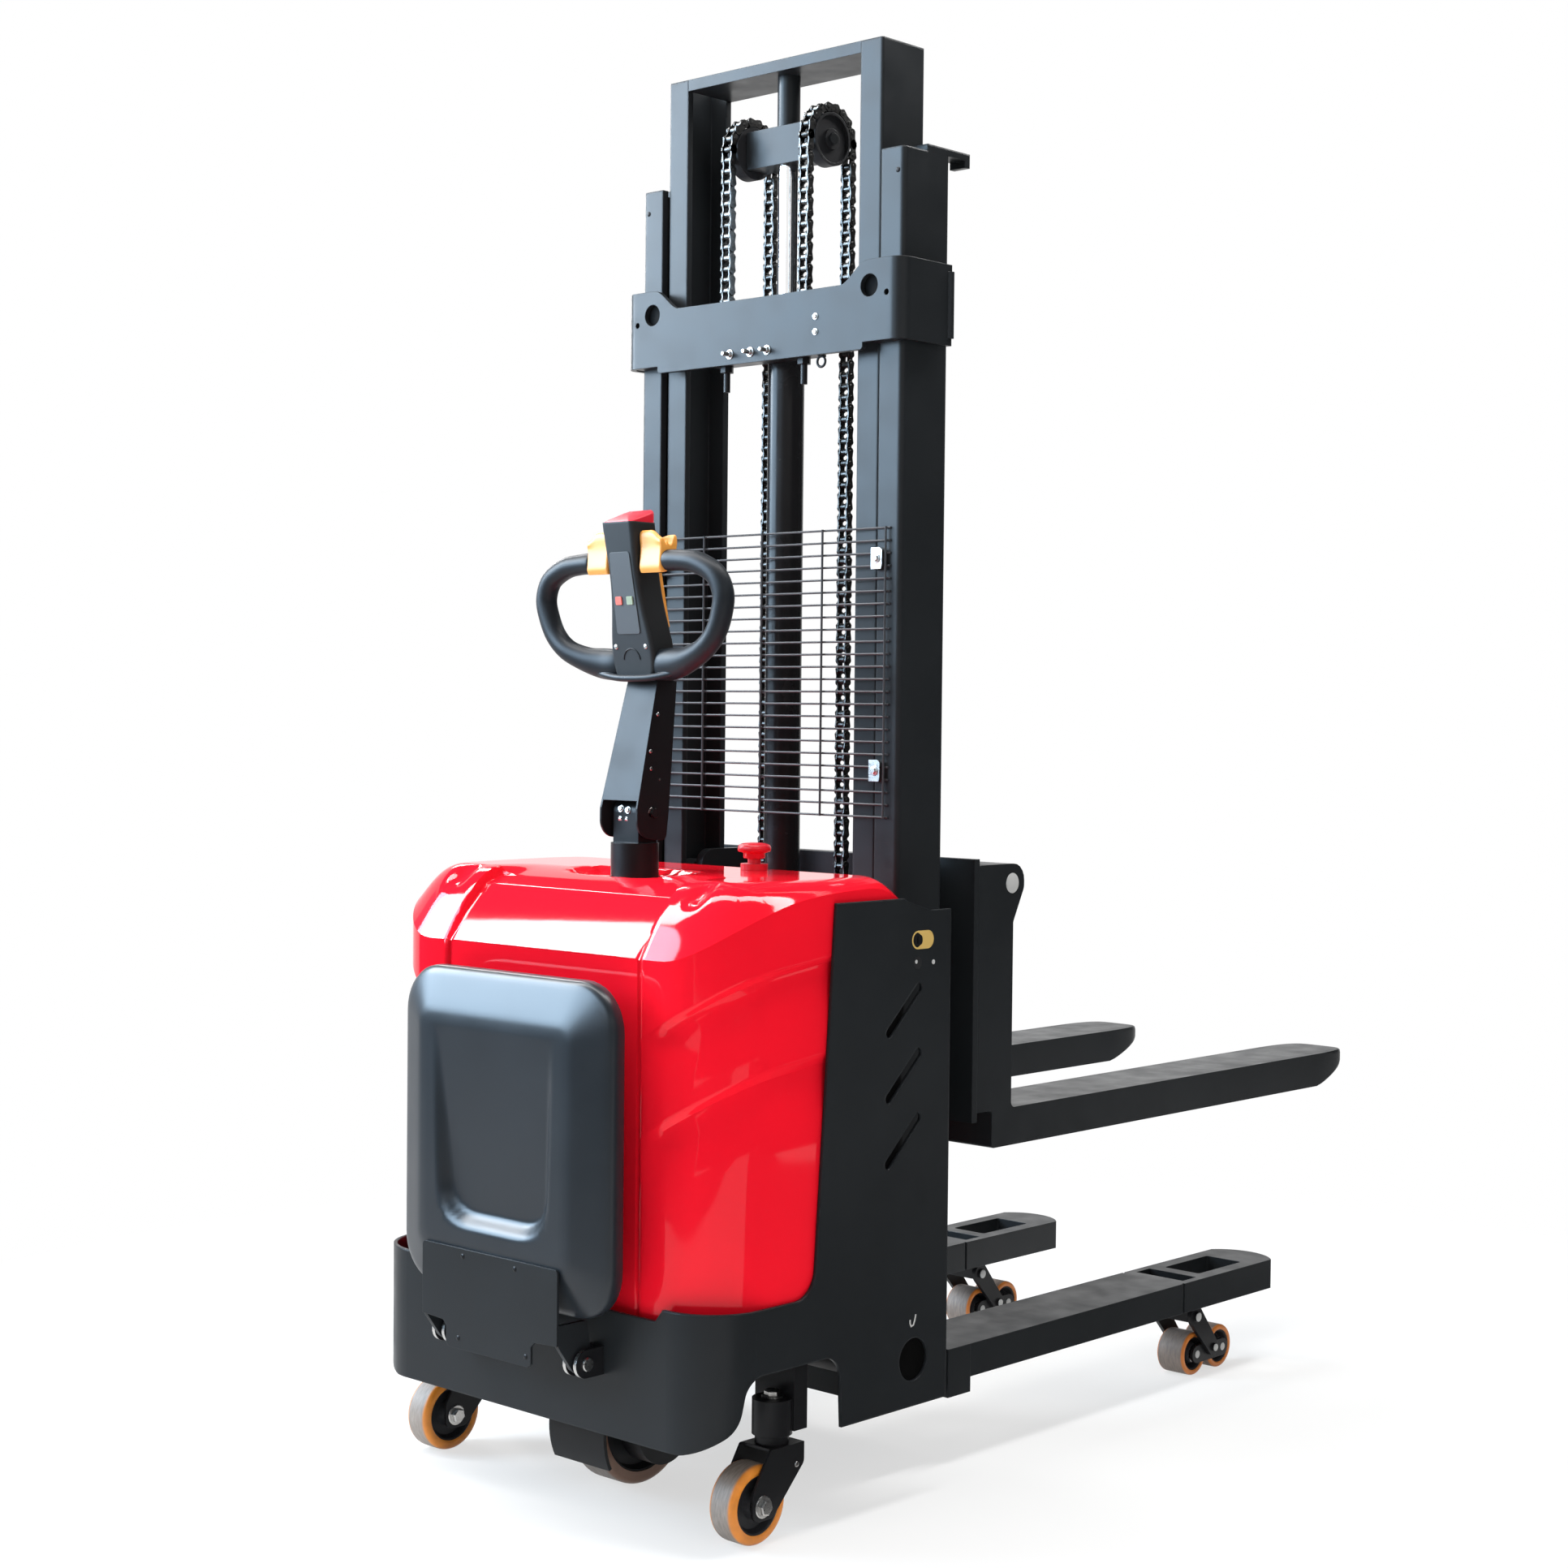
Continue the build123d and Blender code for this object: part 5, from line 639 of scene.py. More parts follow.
GROOVE_END = COLUMN_Y - 30
TROUGH_HALF = 112.0
TROUGH_DEPTH = 11.0
TROUGH_WALL = (COLUMN_HOLE + 2, COLUMN_HOLE + 16)
RIDGE_DEPTH = 80.0
RIDGE_DROP = 27.0
RIDGE_BULGE = 5.0
CROWN_DEPTH = 200.0
CROWN_CURVE = 1.6
BROW_ABOVE = 12.0
# Part of the hood's flanks, behind the side panels, that gets painted shadow
FLANK_Y = -176.0
FLANK_TOP = 975.0
FLANK_WIDE = 100.0
# Shoulder seen from the side and from above: its size along the sides, what the rear adds, how far in that
# starts to fade and over which length, what the front adds and where that starts
SHOULDER_DROP = (12.0, 100.0, 6.0, 92.0, 46.0, -170.0)
SHOULDER_REACH = (48.0, 68.0, 0.0, 110.0, 36.0, -190.0)
# Curve over the shoulder outside the grooves: control points as shares of its width and of its height
SHOULDER_CURVE = ((0.0, 0.0), (0.26, 0.42), (0.5, 0.95), (1.0, 1.0))
# Heights of the points up the wall, as shares from one crease or edge to the next
WALL_SHARES = (0.0, 0.12, 0.3, 0.5, 0.66, 0.78, 0.86, 0.92, 0.96, 0.985, 1.0)
CREASE_SHARES = (0.02, 0.06) + WALL_SHARES[1:]
BROW_SHARES = (0.03, 0.1, 0.25, 0.45, 0.65, 0.85, 1.0)


def corner_stations(radius, y, start, steps):
    """Stations round a corner of the hood, without the ends of its arc."""
    return [(HOOD_HALF - radius + radius * cos(turn), y + radius * sin(turn), -cos(turn), -sin(turn))
            for turn in arc(start, start + 90, steps)[1:-1]]


def hood_stations():
    """Points round the hood's plan with the direction inwards, from the middle of the rear."""
    rear_x = REAR_INNER_X + [GROOVE_X + line * GROOVE_HALF for line in GROOVE_LINES]
    rear_x += REAR_OUTER_X + [HOOD_HALF - HOOD_CORNER]
    rear_y, front_y = HOOD_REAR + HOOD_CORNER, HOOD_FRONT - HOOD_FRONT_CORNER
    front_x = HOOD_HALF - HOOD_FRONT_CORNER
    half = [(x, HOOD_REAR, 0.0, 1.0) for x in rear_x]
    half += corner_stations(HOOD_CORNER, rear_y, -90, CORNER_STEPS)
    half += [(HOOD_HALF, along(rear_y, front_y, i / SIDE_STEPS), -1.0, 0.0) for i in range(SIDE_STEPS + 1)]
    half += corner_stations(HOOD_FRONT_CORNER, front_y, 0, FRONT_CORNER_STEPS)
    half += [(along(front_x, 0.0, i / FRONT_STEPS), HOOD_FRONT, 0.0, -1.0) for i in range(FRONT_STEPS + 1)]
    return half + [(-x, y, -nx, ny) for x, y, nx, ny in reversed(half[1:-1])]


def shoulder_size(sizes, y):
    """Height or width of the rounded shoulder: large at the rear, small along the sides."""
    side, rear, rear_start, fade, front, front_start = sizes
    from_rear = exp(-(y - HOOD_REAR - rear_start) / fade)
    return side + rear * from_rear + front * smooth(front_start, HOOD_FRONT, y)


def crease_height(x, y, step):
    """Height of a moulded crease, which starts at the groove and rises outwards and forwards."""
    across = max(abs(x) - GROOVE_X, 0.0)
    return CREASE_Z - step * CREASE_STEP + CREASE_RISE_X * across + CREASE_RISE_Y * (y - HOOD_REAR)


def scoop(x, below):
    """Depth of the hollow under a crease."""
    if below <= 0:
        return 0.0
    hollow = smooth(0, SCOOP_LIP, below) * (1 - smooth(*SCOOP_FADE, below))
    return SCOOP_DEPTH * smooth(*SCOOP_X, abs(x)) * hollow


def between_grooves(x, spread):
    """1 on the panel between the grooves and 0 outside of it."""
    return 1 - smooth(GROOVE_X - spread, GROOVE_X + spread, abs(x))


def groove(x, y):
    """Depth of the panel grooves, on the rear and over the shoulder."""
    if y > GROOVE_END:
        return 0.0
    seam = GROOVE_DEPTH * (1 - smooth(0.3 * GROOVE_HALF, 1.6 * GROOVE_HALF, abs(abs(x) - GROOVE_X)))
    return max(seam, PANEL_STEP * between_grooves(x, GROOVE_HALF))


def top_drop(x, y):
    """How far the hood's top lies below its crown: dimples and the trough round the column."""
    dx = (abs(x) - DIMPLE_AT[0]) / DIMPLE_SIZE[0]
    dy = (y - DIMPLE_AT[1]) / DIMPLE_SIZE[1]
    dimple = DIMPLE_DEPTH * (1 - smooth(*DIMPLE_FADE, (abs(dx) ** 3 + abs(dy) ** 3) ** (1 / 3)))
    trough_x = max(abs(x) - (TROUGH_HALF - COLUMN_HOLE), 0.0)
    return dimple + TROUGH_DEPTH * (1 - smooth(*TROUGH_WALL, hypot(trough_x, y - COLUMN_Y)))


def crown_drop(x, y, spread):
    """How far the panel between the grooves lies below the crown behind its ridge."""
    depth = max(y - HOOD_REAR, RIDGE_DEPTH)
    rise = min((CROWN_DEPTH - depth) / (CROWN_DEPTH - RIDGE_DEPTH), 1.0)
    return RIDGE_DROP * between_grooves(x, spread) * max(rise, 0.0) ** CROWN_CURVE


def shoulder(x, y, brow):
    """Depth and height of points over the shoulder: up to a ridge between the grooves, else one curve."""
    drop, reach = HOOD_TOP - brow, shoulder_size(SHOULDER_REACH, y)
    ends = [(across * reach, brow + rise * drop) for across, rise in SHOULDER_CURVE]
    ridge_z = HOOD_TOP - RIDGE_DROP
    panel = between_grooves(x, GROOVE_HALF) if y < HOOD_REAR + 1 else 0.0
    points = []
    for i in range(1, SHOULDER_STEPS + 1):
        share = i / SHOULDER_STEPS
        weights = ((1 - share) ** 3, 3 * share * (1 - share) ** 2, 3 * share ** 2 * (1 - share), share ** 3)
        depth = sum(weight * end[0] for weight, end in zip(weights, ends))
        z = sum(weight * end[1] for weight, end in zip(weights, ends))
        up = min(i / RIDGE_STEP, 1.0)
        bevel = along(brow, ridge_z, up) + RIDGE_BULGE * sin(pi * up)
        back = max(i - RIDGE_STEP, 0) / (SHOULDER_STEPS - RIDGE_STEP)
        flat_depth = along(RIDGE_DEPTH * up, reach, back)
        flat_z = bevel if i <= RIDGE_STEP else HOOD_TOP - crown_drop(0.0, y + flat_depth, GROOVE_HALF)
        points.append((along(depth, flat_depth, panel), along(z, flat_z, panel)))
    return points


def hood_column(x, y, inward_x, inward_y):
    """One line of points up the hood's wall, over the shoulder and in to the steering column."""
    lower, upper = (crease_height(x, y, step) for step in (1, 0))
    reach = shoulder_size(SHOULDER_REACH, y)
    brow = max(HOOD_TOP - shoulder_size(SHOULDER_DROP, y), upper + BROW_ABOVE)
    heights = [along(HOOD_BOTTOM, lower, share) for share in WALL_SHARES]
    heights += [along(lower, upper, share) for share in CREASE_SHARES]
    heights += [along(upper, brow, share) for share in BROW_SHARES]
    points = []
    for z in heights:
        depth = max(scoop(x, lower - z), scoop(x, upper - z) if z > lower else 0.0)
        depth += groove(x, y)
        points.append((x + inward_x * depth, y + inward_y * depth, z))
    for i, (depth, z) in enumerate(shoulder(x, y, brow)):
        px, py = x + inward_x * depth, y + inward_y * depth
        points.append((px, py, z - top_drop(px, py) - groove(x, y) * (1 - i / SHOULDER_STEPS)))
    start = (x + inward_x * reach, y + inward_y * reach)
    turn = atan2(start[1] - COLUMN_Y, start[0])
    end = (COLUMN_HOLE * cos(turn), COLUMN_Y + COLUMN_HOLE * sin(turn))
    for i in range(1, TOP_STEPS + 1):
        px, py = (along(*ends, i / TOP_STEPS) for ends in zip(start, end))
        points.append((px, py, HOOD_TOP - top_drop(px, py) - crown_drop(px, py, 6 * GROOVE_HALF)))
    points.append((*end, HOOD_TOP - COLUMN_HOLE_DEEP))
    return [at(*point) for point in points]


def build_hood():
    """Moulded hood with creased sides, panel grooves and a rounded shoulder, with painted shadow on its
    flanks behind the side panels.
    """
    columns = [hood_column(*station) for station in hood_stations()]
    rows = [list(row) for row in zip(*columns)]
    hood = Form().grid(rows, wrap=True).piece("hood_moulding", "red_hood", "chassis", 28.0)
    # Faces of the flanks behind the side panels get the near-black paint that stands for the shade there
    hood.data.materials.append(FINISH["painted_shadow"])
    flank = at(HOOD_HALF - FLANK_WIDE, FLANK_Y, FLANK_TOP)
    for face in hood.data.polygons:
        x, y, z = face.center
        face.material_index = 1 if abs(x) > flank.x and y > flank.y and z < flank.z else 0
    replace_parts(hood, "hood")


# Platform pad

(_, PAD_HALF), (PAD_REAR, PAD_FRONT), (PAD_BOTTOM, PAD_TOP) = edges(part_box("platform_pad"))
PAD_CORNER = 78.0
PAD_FACE_INSET = 88.0
PAD_FACE_CORNER = 14.0
PAD_CORNER_STEPS, PAD_SIDE_STEPS, PAD_FACE_STEPS = 10, 16, 44
RECESS_TOP, RECESS_FOOT = 776.0, 452.0
RECESS_HALF_TOP, RECESS_HALF_FOOT = 148.0, 134.0
RECESS_CORNER = 70.0
RECESS_WALL, RECESS_TOP_WALL = 30.0, 0.55
RECESS_DEPTH = 21.0
# Border of the pad: (inset, height over its front) from its back round the edge to the face
PAD_RIM = [(40, 0), (6, 0), (2, 1.5), (0, 6), (0, 18), (0.6, 23), (3, 27), (8, 30.5), (16, 34), (30, 39.5),
           (46, 45.8), (60, 51.2), (68, 53.8), (76, 55.3), (PAD_FACE_INSET, 56)]


def pad_ring(inset):
    """Rounded rectangle of the pad seen from the rear, drawn in by an inset."""
    radius = along(PAD_CORNER, PAD_FACE_CORNER, min(inset / PAD_FACE_INSET, 1.0))
    half, low, high = PAD_HALF - inset - radius, PAD_BOTTOM + inset + radius, PAD_TOP - inset - radius
    outline = rounded([(half, high), (-half, high), (-half, low), (half, low)], radius, PAD_CORNER_STEPS)
    ring = []
    for i, point in enumerate(outline, 1):
        ring.append(point)
        if i % (PAD_CORNER_STEPS + 1) == 0:
            after = outline[i % len(outline)]
            ring += [tuple(along(*ends, j / PAD_SIDE_STEPS) for ends in zip(point, after))
                     for j in range(1, PAD_SIDE_STEPS)]
    return ring


def recess_depth(x, z):
    """Depth of the pad's tapered recess, deepest at its foot and fading out upwards."""
    half = along(RECESS_HALF_FOOT, RECESS_HALF_TOP, (z - RECESS_FOOT) / (RECESS_TOP - RECESS_FOOT))
    across = abs(x) - (half - RECESS_CORNER)
    below = RECESS_FOOT + RECESS_CORNER - z
    inside = RECESS_CORNER - hypot(max(across, 0), max(below, 0)) - min(max(across, below), 0)
    fade = min(max((RECESS_TOP - z) / (RECESS_TOP - RECESS_FOOT - RECESS_WALL), 0.0), 1.0)
    return RECESS_DEPTH * fade * smooth(0, RECESS_WALL * along(RECESS_TOP_WALL, 1.0, fade), inside)


def build_pad():
    """Moulded platform pad with a bevelled border and the recess in its face."""
    rings = [[at(x, PAD_FRONT - depth, z) for x, z in pad_ring(inset)] for inset, depth in PAD_RIM]
    face = pad_ring(PAD_FACE_INSET)
    middle_z = (PAD_TOP + PAD_BOTTOM) / 2
    for i in range(1, PAD_FACE_STEPS):
        share = 1 - i / PAD_FACE_STEPS
        ring = [(x * share, middle_z + (z - middle_z) * share) for x, z in face]
        rings.append([at(x, PAD_REAR + recess_depth(x, z), z) for x, z in ring])
    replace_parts(Form().loft(rings).piece("pad_moulding", "pad", "platform", 30.0), "platform_pad")


# Chains

CHAIN_X = 92.0
CHAIN_PITCH = 19.05
CHAIN_WHEEL_Y, CHAIN_WHEEL_Z = 52.0, 2273.0
WRAP_LINKS = 9
CHAIN_RADIUS = CHAIN_PITCH / (2 * sin(pi / (2 * WRAP_LINKS)))
LINK_ROUND = 8.4
LINK_TURN = 70
LINK_WAIST = 5.6
LINK_THICK = 2.4
ROLLER_R = 6.0
ROLLER_CLEAR = 0.3
PIN_R = 2.9
INNER_PLATE_X = 6.6
OUTER_PLATE_X = 9.1
PIN_HALF = 12.0


def link_plate(form, x, first, second):
    """Waisted plate round two pins, each given as (y, z)."""
    tilt = atan2(second[1] - first[1], second[0] - first[0])
    middle = ((first[0] + second[0]) / 2, (first[1] + second[1]) / 2)
    outline = []
    for pin, facing in ((second, 0), (first, 180)):
        places = [(pin, LINK_ROUND, turn) for turn in arc(facing - LINK_TURN, facing + LINK_TURN, 5)]
        places.append((middle, LINK_WAIST, radians(facing + 90)))
        outline += [at(x, y + radius * cos(tilt + turn), z + radius * sin(tilt + turn))
                    for (y, z), radius, turn in places]
    form.prism(outline, (LINK_THICK, 0, 0))


def chain_links(pins, x):
    """Roller chain through a list of pins."""
    form = Form()
    for i, (first, second) in enumerate(zip(pins, pins[1:])):
        reach = INNER_PLATE_X if i % 2 else OUTER_PLATE_X
        for low in (x + reach, x - reach - LINK_THICK):
            link_plate(form, low, first, second)
    for y, z in pins:
        for radius, half in ((ROLLER_R, INNER_PLATE_X - ROLLER_CLEAR), (PIN_R, PIN_HALF)):
            bar = [(0, 0), (radius, 0), (radius, 2 * half), (0, 2 * half)]
            form.lathe(at(x - half, y, z), RIGHT, bar, 10)
    return form


def build_chains():
    """Front and rear run and the wrap over the wheel of each chain."""
    front_y, rear_y = CHAIN_WHEEL_Y - CHAIN_RADIUS, CHAIN_WHEEL_Y + CHAIN_RADIUS
    runs = {
        "front_chains": (front_y, "chassis", "inner_mast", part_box("front_chains")[0].z),
        "rear_chains": (rear_y, "carriage", "inner_mast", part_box("rear_chains")[0].z),
    }
    for node, (y, low_body, high_body, low_z) in runs.items():
        links = round((CHAIN_WHEEL_Z - low_z / MM) / CHAIN_PITCH)
        pins = [(y, CHAIN_WHEEL_Z - i * CHAIN_PITCH) for i in range(links + 1)]
        for side, sign in SIDES:
            run = chain_links(pins, sign * CHAIN_X).piece(f"{side}_{node}_links", "chain")
            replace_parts(run, node)
            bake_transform(run)
    pins = [(CHAIN_WHEEL_Y + CHAIN_RADIUS * cos(turn), CHAIN_WHEEL_Z + CHAIN_RADIUS * sin(turn))
            for turn in arc(0, 180, WRAP_LINKS)]
    for side, sign in SIDES:
        wrap = chain_links(pins, sign * CHAIN_X).piece(f"{side}_chain_wrap_links", "chain", "inner_mast")
        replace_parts(wrap, "chain_wraps")


# Wheels

TYRE_SET_IN = 1.5
HUB_SET_IN = 3.0
HUB_WEB = 0.45
# Rounding of the tread's edges, share of the radius inside the tyre, radius of the bearing and of the axle
CASTER_WHEEL = (9.0, 0.74, 17.0, 8.4)
LOAD_ROLLER = (5.0, 0.76, 17.0, 8.4)
DRIVE_WHEEL = (8.0, 0.8, 40.0, 22.4)


def both_ways(profile, middle=()):
    """Profile on one side of a wheel, carried on through its middle over the other side."""
    return [*profile, *middle, *((radius, -height) for radius, height in reversed(profile))]


def rounded_tyre(radius, inner, half, edge):
    """Profile of a tyre's side face and of the rounded edge of its tread."""
    profile = [(inner, TYRE_SET_IN - half), (radius - edge - 3, -half)]
    profile += [(radius - edge + edge * sin(turn), -half + edge - edge * cos(turn)) for turn in arc(0, 90, 6)]
    return profile


def build_wheel(node, body, finish, edge, tyre_share, bearing_r, axle_r):
    """Cast tyre on an iron hub with a bearing, in place of a CAD wheel."""
    low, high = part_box(node)
    centre = (low + high) / 2
    radius, half = (high.z - low.z) / 2 / MM, (high.x - low.x) / 2 / MM
    inner = radius * tyre_share
    profile = both_ways(rounded_tyre(radius, inner, half, edge), [(radius, 0.0)])
    tyre = Form().lathe(centre, RIGHT, profile, 72)
    tyre.lathe(centre, RIGHT, both_ways([(inner, TYRE_SET_IN - half)]), 72)
    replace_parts(tyre.piece(f"{node}_tyre", finish, body, 30.0), node)
    face, web = half - HUB_SET_IN, half * HUB_WEB
    side = [(axle_r, face), (bearing_r, face), (bearing_r + 2, face - 3), (bearing_r + 6, web),
            (inner - 8, web), (inner - 3, face - 1), (inner - 0.4, face)]
    hub = Form().lathe(centre, RIGHT, both_ways(side) + side[:1], 48)
    hub.piece(f"{node}_hub", "iron", body, 30.0)
    seal = Form()
    ring = [(axle_r, face - 0.2), (axle_r, face + 1), (bearing_r * 0.8, face + 1.4),
            (bearing_r * 0.94, face + 0.4)]
    for _, sign in SIDES:
        seal.lathe(centre, (sign, 0, 0), ring, 40)
    seal.piece(f"{node}_bearing", "steel", body, 30.0)


def build_wheels():
    """Casters, load rollers and drive wheel."""
    for side, _ in SIDES:
        build_wheel(f"{side}_caster_wheel", f"{side}_caster", "tyre", *CASTER_WHEEL)
        build_wheel(f"{side}_rear_roller", f"{side}_roller_a", "roller_tyre", *LOAD_ROLLER)
        build_wheel(f"{side}_front_roller", f"{side}_roller_b", "roller_tyre", *LOAD_ROLLER)
    build_wheel("drive_wheel", "traction_wheel", "drive_tyre", *DRIVE_WHEEL)


# Tiller

_, (GRIP_REAR, _), _ = edges(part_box("tiller_grips"))
GRIP_R = 18.0
GRIP_AXIS_Y, GRIP_AXIS_Z = GRIP_REAR + GRIP_R, 1530.0
GRIP_LEAN = 0.07
GRIP_SEGMENTS = 24
NECK_R = 9.0
NECK_X = (30.0, 90.0)
# Middle line of a loop, from the neck round to the yoke: x, z, half height, half depth, place forwards
LOOP_LINE = [(88.5, 1530, 14.5, 14.5, 0), (91, 1530, 17.5, 17.5, 0), (120, 1529, 17.5, 17.5, 0),
             (156, 1524, 18, 18, 0), (194, 1505, 18, 18, 0), (210, 1475, 18, 18, 0), (206, 1445, 18, 18, 0),
             (190, 1411, 18, 18, 0), (162, 1386, 18.5, 18.5, 1), (122, 1370, 21.5, 19.5, 7),
             (86, 1363, 26, 20, 13), (54, 1361, 26, 18, 14), (30, 1361, 23, 9, 14), (0, 1361, 20, 7, 14)]
RIM_LINE = [(104, -303, 1352), (72, -309, 1344), (36, -314, 1339), (0, -315.5, 1338)]
RIM_R = 6.0
HEAD_FOOT_Y, HEAD_FOOT_Z = -310.0, 1335.0
HEAD_FALL = 47.0 / 259.0
HEAD_OUT = Vector((0.0, -1.0, -HEAD_FALL)).normalized()


def between(a, b, c, d, t):
    """Value at a share of the way from b to c, on a smooth line that comes from a and goes on to d."""
    return b + 0.5 * t * (c - a + t * (2 * a - 5 * b + 4 * c - d + t * (3 * (b - c) + d - a)))


def curve(points, steps=6):
    """Smooth line through a list of number tuples."""
    line = []
    for i in range(len(points) - 1):
        near = [points[min(max(i + j, 0), len(points) - 1)] for j in (-1, 0, 1, 2)]
        for step in range(steps):
            line.append(tuple(between(*values, step / steps) for values in zip(*near)))
    return line + [points[-1]]


def mirrored(points):
    """A line from the right to the middle, carried on to the left."""
    return points + [(-point[0], *point[1:]) for point in reversed(points[:-1])]


def head_place(x, z):
    """Place on the rear face of the tiller head."""
    return at(x, HEAD_FOOT_Y - HEAD_FALL * (z - HEAD_FOOT_Z), z)


def build_grips():
    """Two loop grips that run together into the yoke under the head, with its rim."""
    facing = Vector((0.0, -1.0, -GRIP_LEAN)).normalized()
    line = mirrored(curve(LOOP_LINE))
    centres = [at(x, GRIP_AXIS_Y + GRIP_LEAN * (GRIP_AXIS_Z - z) + tuck, z) for x, z, _, _, tuck in line]
    rings = []
    for i, (_, _, tall, deep, _) in enumerate(line):
        ahead = centres[min(i + 1, len(centres) - 1)] - centres[max(i - 1, 0)]
        side = ahead.cross(facing).normalized()
        rings.append([centres[i] + MM * (tall * cos(turn) * side + deep * sin(turn) * facing)
                      for turn in circle(GRIP_SEGMENTS)])
    loops = Form().loft(rings)
    loops.tube([at(*point) for point in mirrored(curve(RIM_LINE))], RIM_R)
    for _, sign in SIDES:
        loops.tube([at(sign * x, GRIP_AXIS_Y, GRIP_AXIS_Z) for x in NECK_X], NECK_R)
    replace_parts(loops.piece("grip_loops", "grip", "tiller"), "tiller_grips")


PADDLE_INNER, PADDLE_OUTER = 38.0, 88.0
PADDLE_SECTION = [(-14, -20), (-17.5, -12), (-16.5, 4), (-15.5, 22), (-17, 41), (-14.5, 48.5), (-9, 48),
                  (-5, 37), (2, 27), (9, 27), (14, 34), (20, 35), (22.5, 28), (19, 14), (15, 0), (11, -11),
                  (2, -17), (-7, -19.5)]
# Distance from a paddle's end and how much its section shrinks there
PADDLE_ENDS = [(0.0, 4.0), (0.5, 2.0), (1.5, 0.7), (3.5, 0.0)]
PADDLE_STEP = 5.0
VALLEY_Y = -2.0
NEAR_WING_FALL, FAR_WING_RISE = 13.0, 11.0
NEAR_WING_SHARES, FAR_WING_SHARES = (0.5, 1.0), (0.1, 0.7)
WING_Z = (22.0, 45.0)


def paddle_row(x, share, shrink):
    """Section of a paddle: a tall wing towards the driver and a lower one beyond the valley on the hub."""
    row = []
    for y, z in curve(PADDLE_SECTION + PADDLE_SECTION[:1], 3)[:-1]:
        if y < VALLEY_Y:
            lift = -NEAR_WING_FALL * smooth(*NEAR_WING_SHARES, share)
        else:
            lift = FAR_WING_RISE * smooth(*FAR_WING_SHARES, share)
        z += lift * smooth(*WING_Z, z)
        length = max(hypot(y, z), 1.0)
        row.append(at(x, GRIP_AXIS_Y + y - shrink * y / length, GRIP_AXIS_Z + z - shrink * z / length))
    return row


def build_paddles():
    """Saddle-shaped thumb paddles on the necks of the grips."""
    wide = PADDLE_OUTER - PADDLE_INNER
    stations = PADDLE_ENDS + [(PADDLE_STEP * i, 0.0) for i in range(1, round(wide / PADDLE_STEP))]
    stations += [(wide - inset, shrink) for inset, shrink in reversed(PADDLE_ENDS)]
    paddles = Form()
    for _, sign in SIDES:
        paddles.loft([paddle_row(sign * (PADDLE_INNER + step), step / wide, shrink)
                      for step, shrink in stations])
    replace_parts(paddles.piece("paddle_saddles", "amber", "paddles", 60.0), "throttle_paddles")


(_, CAP_HALF), (CAP_REAR, CAP_FRONT), _ = edges(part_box("reverse_button"))
CAP_ROUND = 9.0
CAP_CLEAR = 0.6
CAP_SEAT_Z = 1594.0
CAP_EDGE, CAP_RISE, CAP_FALL = 4.0, 21.0, 3.0
CAP_CURVE = 0.2
CAP_FOOT, CAP_SIDE = -0.4, 0.72
CAP_SHOULDER, CAP_MIDDLE = 0.08, 0.96
CAP_TOP_STEPS = 8


def cap_row(inset, rise):
    """Outline of the cap drawn in by an inset, at a share of the cap's height."""
    half = CAP_HALF - CAP_ROUND - CAP_CLEAR
    middle, deep = (CAP_REAR + CAP_FRONT) / 2, (CAP_FRONT - CAP_REAR) / 2 - CAP_ROUND - CAP_CLEAR
    row = []
    for x, y in rounded([(half, deep), (-half, deep), (-half, -deep), (half, -deep)], CAP_ROUND, 6):
        x, y = x * (1 - inset), y * (1 - inset)
        back = (y + deep + CAP_ROUND) / (2 * (deep + CAP_ROUND))
        slope = (1 + CAP_CURVE) * back - CAP_CURVE * back ** 2
        crown = CAP_EDGE + CAP_RISE * slope - CAP_FALL * (x / half) ** 2
        row.append(at(x, middle + y, CAP_SEAT_Z + crown * rise))
    return row


def build_cap():
    """Pillow-shaped reversing button on top of the head."""
    rings = [cap_row(0.0, CAP_FOOT)]
    rings += [cap_row(CAP_SHOULDER * (1 - cos(turn)), along(CAP_SIDE, 1.0, sin(turn)))
              for turn in arc(0, 90, 6)]
    rings += [cap_row(along(CAP_SHOULDER, CAP_MIDDLE, i / CAP_TOP_STEPS), 1.0)
              for i in range(1, CAP_TOP_STEPS + 1)]
    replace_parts(Form().loft(rings).piece("reverse_cap", "red_cap", "belly_button"), "reverse_button")


BLOCK_R = 21.0
BLOCK_Z = 1116.0
BLOCK_BOLTS = ((-14, 1105), (1, 1104), (5, 1120), (-12, 1122))
BLOCK_BOLT_R = 4.6
KEY_PANEL_CENTRES = [(18.5, 1540.0), (-18.5, 1540.0), (-22.0, 1416.0), (22.0, 1416.0)]
KEY_PANEL_CORNER = 5.0
KEY_PANEL_THICK = 1.2
ARCH_HALF, ARCH_RISE, ARCH_Z = 19.0, 18.0, 1369.0
ARCH_R = 1.3
HEAD_SCREW = (35.0, 1390.0)
HEAD_SCREW_R = 4.5
ARM_FACE = 41.0
ARM_RIVETS = ((-296, 1279), (-312, 1218), (-311, 1189), (-292, 1171))
ARM_RIVET_R = 3.6
ARM_PIVOT = (-312.0, 1117.0)
ARM_PIVOT_CAP = stud(9.0, 2.6, 4.0, 1.4)


